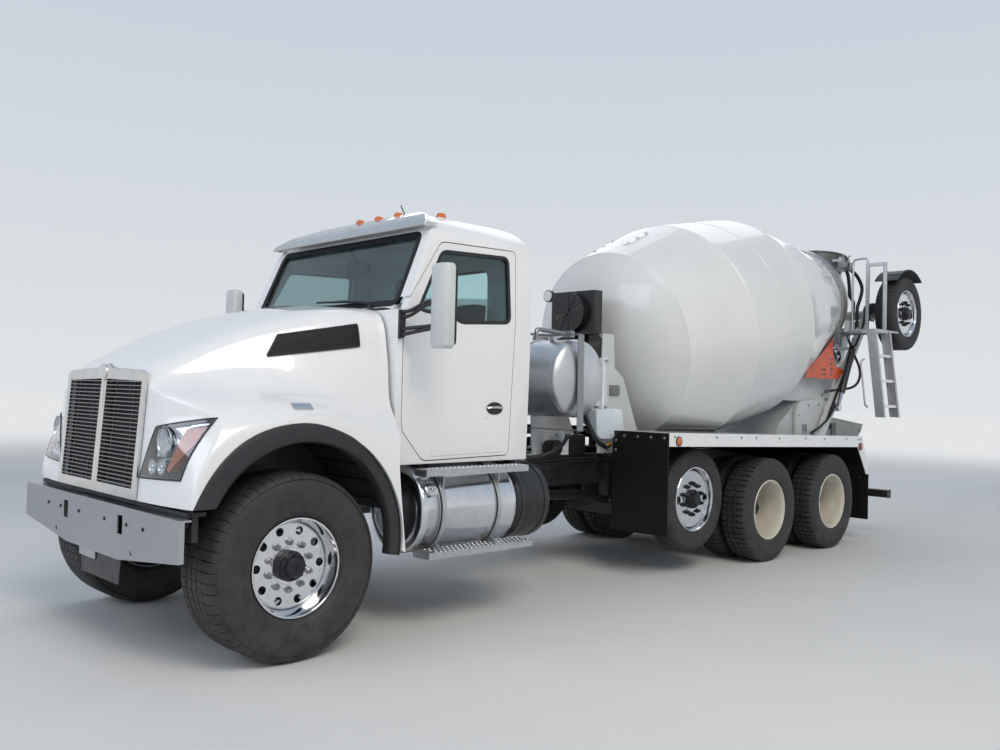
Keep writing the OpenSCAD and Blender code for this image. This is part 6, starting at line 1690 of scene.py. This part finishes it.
# Round charging hopper with a rolled rim on its posts, and the square collector below the drum's mouth
RIM, RIM_R, RIM_TILT, OUTLET, OUTLET_R, OUTLET_TILT = Vector((-8.72, 3.545)), 0.365, 6, Vector((-8.48,
    3.02)), 0.18, 37
HOPPER_WALL = 0.006


def tilted(at, tilt):
    """A place on the middle plane, its front edge raised by a tilt."""
    return moved(at.x, 0, at.y) @ spun(-tilt, "Y")


def oblong(x0, x1, half, z0, z1, lift=0.0, inset=0.0):
    return [(x0 + inset, -half + inset, z0 + lift), (x1 - inset, -half + inset, z1 + lift),
        (x1 - inset, half - inset, z1 + lift), (x0 + inset, half - inset, z0 + lift)]


rings = []
for t in (0.0, 0.12, 0.45, 1.0):
    r = RIM_R + (OUTLET_R - RIM_R) * t + 0.02 * sin(pi * t)
    rings.append((tilted(RIM.lerp(OUTLET, t), RIM_TILT + (OUTLET_TILT - RIM_TILT) * t), r))
rings += [(place, r - HOPPER_WALL) for place, r in rings[::-1]]
shape = Shape().skin([[place @ Vector((*p, 0)) for p in circle(0, 0, r, 72)] for place, r in rings],
    looped=True)
lip = tilted(RIM, RIM_TILT)
shape.turned(circle(RIM_R + 0.001, 0.0, 0.013, 12), lip, 72)
for i in range(8):
    shape.box((-0.002, -0.004, -0.12), (0.03, 0.004, -0.006), lip @ spun(22.5 + 45 * i, "Z")
        @ moved(RIM_R - 0.012, 0))
shape.piece("charging_hopper", hopper_enamel, replaces="hopper", crease=45)
mouth, foot = (-8.93, -8.39, 0.4, 2.6, 2.3), (-8.76, -8.48, 0.165, 1.455, 1.455)
shape = Shape().skin([oblong(*mouth), oblong(*foot), oblong(*foot, inset=0.008), oblong(*mouth, inset=0.008)],
    looped=True)
shape.skin([oblong(*mouth, inset=-0.008), oblong(*mouth, -0.04, -0.002), oblong(*mouth, -0.04, 0.009),
    oblong(*mouth, inset=0.009)], looped=True)
shape.piece("collector", grey_enamel, bevel=0.002)
shape = Shape().box((-8.56, 0.385, 2.24), (-8.52, 0.4107, 3.5)).box((-8.56, 0.29, 3.44), (-8.52, 0.385, 3.48))
shape.both().piece("hopper_posts", grey_enamel, bevel=0.003)


def under_drum(y, gap):
    """The drum's lower edge in side view at a distance beside the middle, lowered by a gap."""
    edge = []
    for s in (2.4 + i * 0.025 for i in range(60)):
        r = max(drum_r(s), RING_R if abs(s - RING_S) < 0.075 else 0) + gap
        p = DRUM @ Vector((-sqrt(r * r - y * y), y, s))
        edge.append((p.x, p.z))
    return edge


# Aprons that close the pedestal's sides up to the drum
under = [p for p in under_drum(PED_Y, 0.022) if -7.9 < p[0] < -6.9]
apron = [*under, (-7.95, under[-1][1] - 0.01), (-8.03, 1.99), (-7.45, 1.612)]
Shape().plate(apron, PED_Y, PED_Y + 0.005).both().piece("pedestal_aprons", grey_enamel, bevel=0.001)

# Orange guards in the gap between the drum and the pedestal, their top edge following the drum
GUARD_Y, GUARD_T = 0.58, 0.003
roller = DRUM @ Vector((-0.8303 * cos(radians(33)), 0, RING_S - 0.005))
top = [(x, z) for x, z in under_drum(GUARD_Y, 0.02) if -8.0 < x < -7.32 and z > 1.905]
guard = [(-7.32, 1.895), *top, (roller.x + 0.19, roller.z + 0.03), (roller.x + 0.11, roller.z - 0.13),
    (roller.x - 0.06, roller.z - 0.155), (-8.3, 2.01), (-8.16, 1.895)]
slots = [slot_hole(-7.96, 1.955 + 0.062 * i, 0.03, 0.022) for i in range(4)]
slots += [slot_hole(-7.78 + 0.07 * (i % 2), 1.945 + 0.055 * (i // 2), 0.024, 0.017) for i in range(4)]
Shape().plate(guard, GUARD_Y, GUARD_Y + GUARD_T, holes=slots).both().piece("drum_guards", orange_enamel)
shape = Shape()
for x, z in ((-7.85, 1.91), (-8.12, 1.94)):
    shape.tube([(x, PED_Y - 0.005, z), (x, GUARD_Y - 0.002, z)], 0.012, 10)
shape.both().piece("guard_stays", grey_enamel)

# Ladder: leaning channels, treads and the deck, drawn with folded sheet
DECK_Z, LEAN, RAIL_Y0, RAIL_DEEP = 2.5, 0.119, 1.05, 0.11
LADDER_FRONT, LADDER_REAR, LADDER_WIDE, LADDER_FOOT = -7.895, -8.335, 0.04, 1.44


def leaning(d, z):
    return RAIL_Y0 + d + LEAN * (DECK_Z - z)


def lean_strip(d0, d1):
    """End view of a strip of the leaning rail, from foot to deck."""
    return [(leaning(d, z), z) for d, z in rect(d0, LADDER_FOOT, d1, DECK_Z - 0.004)]


shape = Shape()
for x, way in ((LADDER_FRONT, -1), (LADDER_REAR, 1)):
    shape.plate(lean_strip(0, RAIL_DEEP), *sorted((x, x + way * 0.007)), "yz")
    for d in (0, RAIL_DEEP - 0.007):
        shape.plate(lean_strip(d, d + 0.007), *sorted((x + way * 0.007, x + way * LADDER_WIDE)), "yz")
shape.piece("ladder_rails", mill_aluminium, replaces="ladder", bevel=0.0015)
teeth = Shape().turned([(0, 0), (0.007, 0), (0.005, 0.0035), (0, 0.0035)], steps=8)
shape = Shape()
x0, x1 = LADDER_REAR + LADDER_WIDE - 0.03, LADDER_FRONT - LADDER_WIDE + 0.03
for i in range(4):
    z = DECK_Z - 0.305 * i - (0 if i else 0.004)
    y0, y1 = leaning(0.012, z), leaning(RAIL_DEEP - 0.012, z)
    shape.box((x0, y0, z - 0.004), (x1, y1, z))
    for y in (y0, y1 - 0.004):
        shape.box((x0, y, z - 0.03), (x1, y + 0.004, z - 0.004))
    for j in range(3):
        shape.row(teeth, 11, (x0 + 0.02, y0 + 0.022 + j * 0.021, z - 0.0005), (0.034, 0, 0))
shape.piece("ladder_treads", white_enamel, tidy=False)

DECK_BACK, DECK_INNER, DECK_SPLIT, DECK_END = -8.62, 0.5, 0.815, -8.56
outer_y = RAIL_Y0 + RAIL_DEEP
deck = [(DECK_BACK, DECK_INNER), (-8.26, DECK_INNER), (-8.26, DECK_SPLIT), (-7.9, DECK_SPLIT),
    (-7.9, outer_y), (DECK_END, outer_y), (DECK_END, DECK_SPLIT), (DECK_BACK, DECK_SPLIT)]
mesh_holes = [slot_hole(x0 + 0.052 * i, y, 0.012, 0.026, 4) for x0, count, rows in ((-8.5, 11,
    (0.88, 0.96, 1.04, 1.115)), (-8.58, 6, (0.65, 0.73))) for i in range(count) for y in rows]
shape = Shape().plate(deck, DECK_Z - 0.003, DECK_Z, "xy", mesh_holes)
rim = offset(deck, 0.005)
for edge in zip(deck, deck[1:] + deck[:1], rim[1:] + rim[:1], rim):
    shape.plate(edge, DECK_Z - 0.02, DECK_Z - 0.003, "xy")
shape.box((DECK_BACK, PED_Y, DECK_Z - 0.02), (-8.525, DECK_INNER, DECK_Z))
shape.box((-8.555, PED_Y, 2.33), (-8.525, PED_Y + 0.012, DECK_Z - 0.02)).piece("ladder_deck", mill_aluminium,
    tidy=False)
shape = Shape().plate(rect(DECK_BACK, DECK_Z, -8.26, DECK_Z + 0.15), 0.6, 0.606)
shape.plate(rect(DECK_BACK, DECK_Z, -8.26, DECK_Z + 0.006), 0.606, 0.64)
shape.piece("deck_side_plate", grey_enamel, bevel=0.0015)

# Hand posts and their loops
POST_X, POST_TOP, POST = -8.39, 3.36, 0.019
shape = Shape().box((POST_X - POST, 0.854, POST_TOP - 0.038), (POST_X + POST, 1.036, POST_TOP))
for y in (0.835, 1.055):
    shape.box((POST_X - POST, y - POST, DECK_Z), (POST_X + POST, y + POST, POST_TOP))
    shape.box((POST_X - 0.045, y - 0.03, DECK_Z), (POST_X + 0.045, y + 0.03, DECK_Z + 0.008))
shape.piece("hand_posts", mill_aluminium, bevel=0.004)
loop = [(0.835, 3.355), (0.832, 3.4), (0.81, 3.425), (0.76, 3.43), (0.7, 3.428), (0.66, 3.415), (0.645, 3.37),
    (0.644, 3.25), (0.643, 3.0), (0.643, 2.75), (0.643, DECK_Z)]
shape = Shape().tube(smooth_path([(POST_X, y, z) for y, z in loop], 5), 0.014, 12)
shape.piece("hand_loop", mill_aluminium, crease=60)
wand = [(-7.87, 1.09, 1.56), (-7.815, 1.09, 1.58), (-7.8, 1.085, 1.64), (-7.8, 1.06, 1.85),
    (-7.8, 1.035, 2.06), (-7.815, 1.035, 2.11), (-7.87, 1.04, 2.13)]
Shape().tube(smooth_path(wand, 6), 0.011, 12).piece("grab_handle", mill_aluminium, crease=60)

# Booster: box arms, axle beam and spindles, with quarter fenders on stays, brake chambers and hoses
BOOST_BODY, BOOST = frame["nodes"]["booster_frame"]["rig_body"], Vector((-9.0386, 2.77))
BOOST_AT, BOOST_AXLE = moved(BOOST.x, 0, BOOST.y), along_y(*BOOST)
shape = Shape().turned(rect(0.0353, 0.5, 0.085, 0.57), along_y(*PIVOT), 48)
run = (BOOST - PIVOT).normalized()
shape.strut(PIVOT + run * 0.06, BOOST, 0.13, 0.504, 0.566)
for at, half, depth, y0, y1 in ((0.9, 0.02, 0.136, 0.501, 0.569), (1.15, 0.02, 0.136, 0.501, 0.569),
    (1.6, 0.02, 0.136, 0.501, 0.569), (0.5, 0.09, 0.14, 0.5, 0.57)):
    shape.strut(PIVOT + run * (at - half), PIVOT + run * (at + half), depth, y0, y1)
shape.strut(BOOST, BOOST + run * 0.07, 0.15, 0.5, 0.57)
shape.turned([(0, 0.77), (0.042, 0.77), (0.042, 0.832), (0.19, 0.832), (0.19, 0.844), (0.042, 0.844),
    (0.042, 1.006), (0, 1.006)], BOOST_AXLE, 48)
shape.both().turned(rect(0, -0.795, 0.062, 0.795), BOOST_AXLE, 48)
shape.piece("booster_arms", grey_enamel, BOOST_BODY, "booster_frame", bevel=0.004)
shape = Shape().tube([(0, 0.77, 0), (0.08, 0.8, 0.3), (0.19, 0.822, 0.515)], 0.014)
shape.tube([(0, 0.77, 0), (-0.12, 0.8, 0.3), (-0.22, 0.822, 0.502)], 0.014).put(BOOST_AT)
shape.both().piece("booster_stays", machine_black, BOOST_BODY, crease=60)
shape = Shape().turned([(0.5495, 0.812), (0.5495, 1.106), (0.556, 1.112), (0.562, 1.11), (0.564, 1.098),
    (0.5575, 1.094), (0.5575, 0.826), (0.564, 0.822), (0.562, 0.81), (0.554, 0.808)], BOOST_AXLE, 48, 84,
    -129)
for a in (60, 92, 122):
    shape.box((0.557, -0.016, 0.83), (0.563, 0.016, 1.09), BOOST_AXLE @ spun(-a, "Z"))
shape.both().piece("booster_fenders", moulded_black, BOOST_BODY, crease=45)
chamber = [(0, 0), (0.045, 0), (0.078, 0.02), (0.082, 0.045), (0.088, 0.048), (0.088, 0.058), (0.082, 0.062),
    (0.08, 0.12), (0.06, 0.14), (0, 0.145)]
shape = Shape().turned(chamber, moved(0.08, 0.69, 0.03) @ spun(70, "Y"), 36)
shape.box((-0.03, 0.61, -0.02), (0.12, 0.63, 0.09)).box((-0.09, 0.575, -0.08), (0.09, 0.605, 0.08))
shape.put(BOOST_AT).both().piece("booster_brakes", machine_black, BOOST_BODY, bevel=0.002, crease=40)
line = [(-7.9, 1.33), (-8.15, 1.66), (-8.45, 2.04), (-8.75, 2.41), (-8.9, 2.64),
    (BOOST.x + 0.12, BOOST.y + 0.06)]
shape = Shape()
for y in (0.586, 0.604):
    shape.tube(smooth_path([(x + 0.06, y, z + 0.045) for x, z in line], 6), 0.008, 8)
shape.both().piece("booster_hoses", hose_rubber, BOOST_BODY, crease=60)

# Hoses behind the drum with their steel ends
HOSES = [(0.022, [(-8.32, 0.55, 3.34), (-8.44, 0.55, 3.25), (-8.485, 0.552, 3.1), (-8.5, 0.555, 2.98),
    (-8.59, 0.56, 2.9), (-8.58, 0.56, 2.76), (-8.56, 0.56, 2.62), (-8.56, 0.56, DECK_Z)]),
    (0.022, [(-8.45, 0.56, 3.33), (-8.6, 0.6, 3.24), (-8.68, 0.63, 3.1), (-8.64, 0.63, 2.96),
    (-8.57, 0.625, 2.83), (-8.56, 0.628, 2.66), (-8.56, 0.63, DECK_Z)]), (0.016, [(-8.48, 0.54, 2.48),
    (-8.47, 0.6, 2.3), (-8.44, 0.72, 2.06), (-8.4, 0.74, 1.9), (-8.3, 0.7, 1.8), (-8.16, 0.56, 1.76),
    (-8.12, 0.43, 1.74)]), (0.014, [(-8.14, 0.43, 1.64), (-8.12, 0.54, 1.63), (-8.02, 0.6, 1.56),
    (-7.88, 0.62, 1.44), (-7.72, 0.6, 1.33), (-7.64, 0.52, 1.24), (-7.64, 0.44, 1.2)])]
shape, ends = Shape(), Shape()
for r, line in HOSES:
    path = smooth_path(line, 8)
    shape.tube(path, r, 14)
    for a, b in ((path[0], path[1]), (path[-1], path[-2])):
        way = (b - a).normalized()
        ends.tube([a - way * 0.012, a + way * 0.07], r + 0.004, 12).tube([a + way * 0.01, a + way * 0.034], r
            + 0.009, 6)
shape.piece("rear_hoses", hose_rubber, crease=60)
ends.piece("rear_hose_ends", zinc_plate, bevel=0.0008)

# Valve blocks where the hoses begin, on a bar between the posts of the hopper
shape = Shape().box((-8.4, 0.412, 3.3), (-8.36, 0.64, 3.34)).box((-8.56, 0.411, 3.3), (-8.36, 0.44, 3.34))
for x, y in ((-8.3, 0.55), (-8.44, 0.56)):
    shape.box((x - 0.045, y - 0.04, 3.32), (x + 0.055, y + 0.04, 3.4))
    shape.turned([(0, 0), (0.018, 0), (0.018, 0.03), (0.008, 0.034), (0.008, 0.09), (0, 0.092)],
        moved(x, y, 3.4), 16)
    shape.box((x - 0.06, y - 0.008, 3.486), (x + 0.014, y + 0.008, 3.494))
shape.both().piece("hopper_valves", zinc_plate, bevel=0.003)

# Beam under the tail on two hangers, and the tail lamps
shape = Shape().plate(rounded(rect(-8.356, 0.454, -8.244, 0.556), 0.012), 1.181, 1.184)
shape.plate([(-7.76, 0.84), (-7.76, 0.96), (-7.898, 0.96), (-8.34, 0.56), (-8.34, 0.551), (-8.262, 0.551)],
    0.36, 0.372)
shape.both().plate(rect(-8.35, 0.46, -8.25, 0.55), -1.18, 1.18)
shape.piece("under_run_beam", chassis_enamel, bevel=0.003)
lenses, housings = Shape(), Shape()
for y in (0.29, 0.382):
    place = along_x(y, 0.945, -7.93) @ spun(180, "X")
    housings.turned([(0, 0), (0.046, 0), (0.052, 0.004), (0.052, 0.026), (0.044, 0.026), (0.044, 0.018),
        (0, 0.018)], place, 32)
    lenses.turned([(0, 0.0185), (0.0435, 0.0185), (0.0435, 0.027), (0.03, 0.031), (0, 0.032)], place, 32)
lenses.both().piece("tail_lamp_lenses", red_lens)
housings.both().piece("tail_lamp_housings", moulded_black)

# Studio: a pale floor, a pale sky with a soft gradient, and three soft lamps

# The floor fades with distance into the same pale grey as the sky, so that no horizon line shows.
PALE, SEEN, LIT = "#EEF0F2", 0.9, 0.64
concrete = finish("studio floor", "machine_black", "#D9D9D7", "#D2D2D0", patch_mm=2500, roughness=0.8,
    grain_mm=40, bump_mm=0.2)
tree = concrete.node_tree
place = node(tree, "ShaderNodeTexCoord").outputs["Object"]
flat = node(tree, "ShaderNodeVectorMath", {"operation": "MULTIPLY"}, {0: place, 1: (1, 1, 0)}).outputs[0]
away = node(tree, "ShaderNodeVectorMath", {"operation": "LENGTH"}, {0: flat}).outputs["Value"]
fade = node(tree, "ShaderNodeMapRange", {"interpolation_type": "SMOOTHERSTEP"}, {"Value": away,
    "From Min": 8.0, "From Max": 28.0}).outputs[0]
glow = node(tree, "ShaderNodeEmission", inputs={"Color": linear(PALE), "Strength": SEEN}).outputs[0]
out = next(n for n in tree.nodes if n.type == "OUTPUT_MATERIAL")
near = out.inputs["Surface"].links[0].from_socket
faded = node(tree, "ShaderNodeMixShader", inputs={0: fade, 1: near, 2: glow}).outputs[0]
tree.links.new(faded, out.inputs["Surface"])
floor = as_object(Shape().plate(circle(0, 0, 120, 96), -0.02, 0.0, "xy").merged().bm, "floor")
floor.data.materials.append(concrete)
floor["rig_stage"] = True

world = bpy.data.worlds.new("studio sky")
bpy.context.scene.world = world
world.use_nodes = True
tree = world.node_tree
back = tree.nodes["Background"]
place = node(tree, "ShaderNodeTexCoord").outputs["Generated"]
height = node(tree, "ShaderNodeSeparateXYZ", inputs={0: place}).outputs[2]
sky = blend(tree, ranged(tree, height, -0.05, 0.75), linear(PALE), linear("#B4C6DC"))
tree.links.new(sky, back.inputs["Color"])
ray = node(tree, "ShaderNodeLightPath").outputs
looked = ray["Is Camera Ray"]
for kind in ("Is Glossy Ray", "Is Transmission Ray"):
    looked = node(tree, "ShaderNodeMath", {"operation": "MAXIMUM"}, {0: looked, 1: ray[kind]}).outputs[0]
tree.links.new(ranged(tree, looked, 0.0, 1.0, LIT, SEEN), back.inputs["Strength"])


def soft_lamp(name, at, target, size, watts, tint="#FFFFFF"):
    data = bpy.data.lights.new(name, "AREA")
    data.shape, data.size, data.energy = "SQUARE", size, watts
    data.color = linear(tint)[:3]
    lamp = bpy.data.objects.new(name, data)
    lamp.location = at
    lamp.rotation_euler = (Vector(target) - Vector(at)).to_track_quat("-Z", "Y").to_euler()
    bpy.context.scene.collection.objects.link(lamp)


soft_lamp("key", (6.0, 11.0, 12.0), (0.0, 0.0, 1.2), 8.0, 1300, "#FFF4E6")
soft_lamp("fill", (13.0, -1.0, 6.0), (2.0, 0.0, 1.2), 6.0, 280, "#EAF1FF")
soft_lamp("rim", (-9.0, -7.0, 9.0), (-1.0, 0.0, 1.5), 12.0, 380)

# Camera, solved from the photograph
CAMERA_AT = Vector((7.3632, 5.9127, 1.6275))
YAW, PITCH, ROLL, LENS = -2.342, 0.0188, 0.0245, 33.0966
ahead = Vector((cos(YAW) * cos(PITCH), sin(YAW) * cos(PITCH), sin(PITCH)))
level = Vector((sin(YAW), -cos(YAW), 0))
over = level.cross(ahead)
right_hand = level * cos(ROLL) + over * sin(ROLL)
upward = over * cos(ROLL) - level * sin(ROLL)
camera = bpy.data.objects.new("camera", bpy.data.cameras.new("camera"))
camera.data.lens = LENS
camera.matrix_world = Matrix((right_hand, upward, -ahead)).transposed().to_4x4()
camera.location = CAMERA_AT
bpy.context.scene.collection.objects.link(camera)
bpy.context.scene.camera = camera
bpy.context.scene.view_settings.view_transform = "Standard"

low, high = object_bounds()
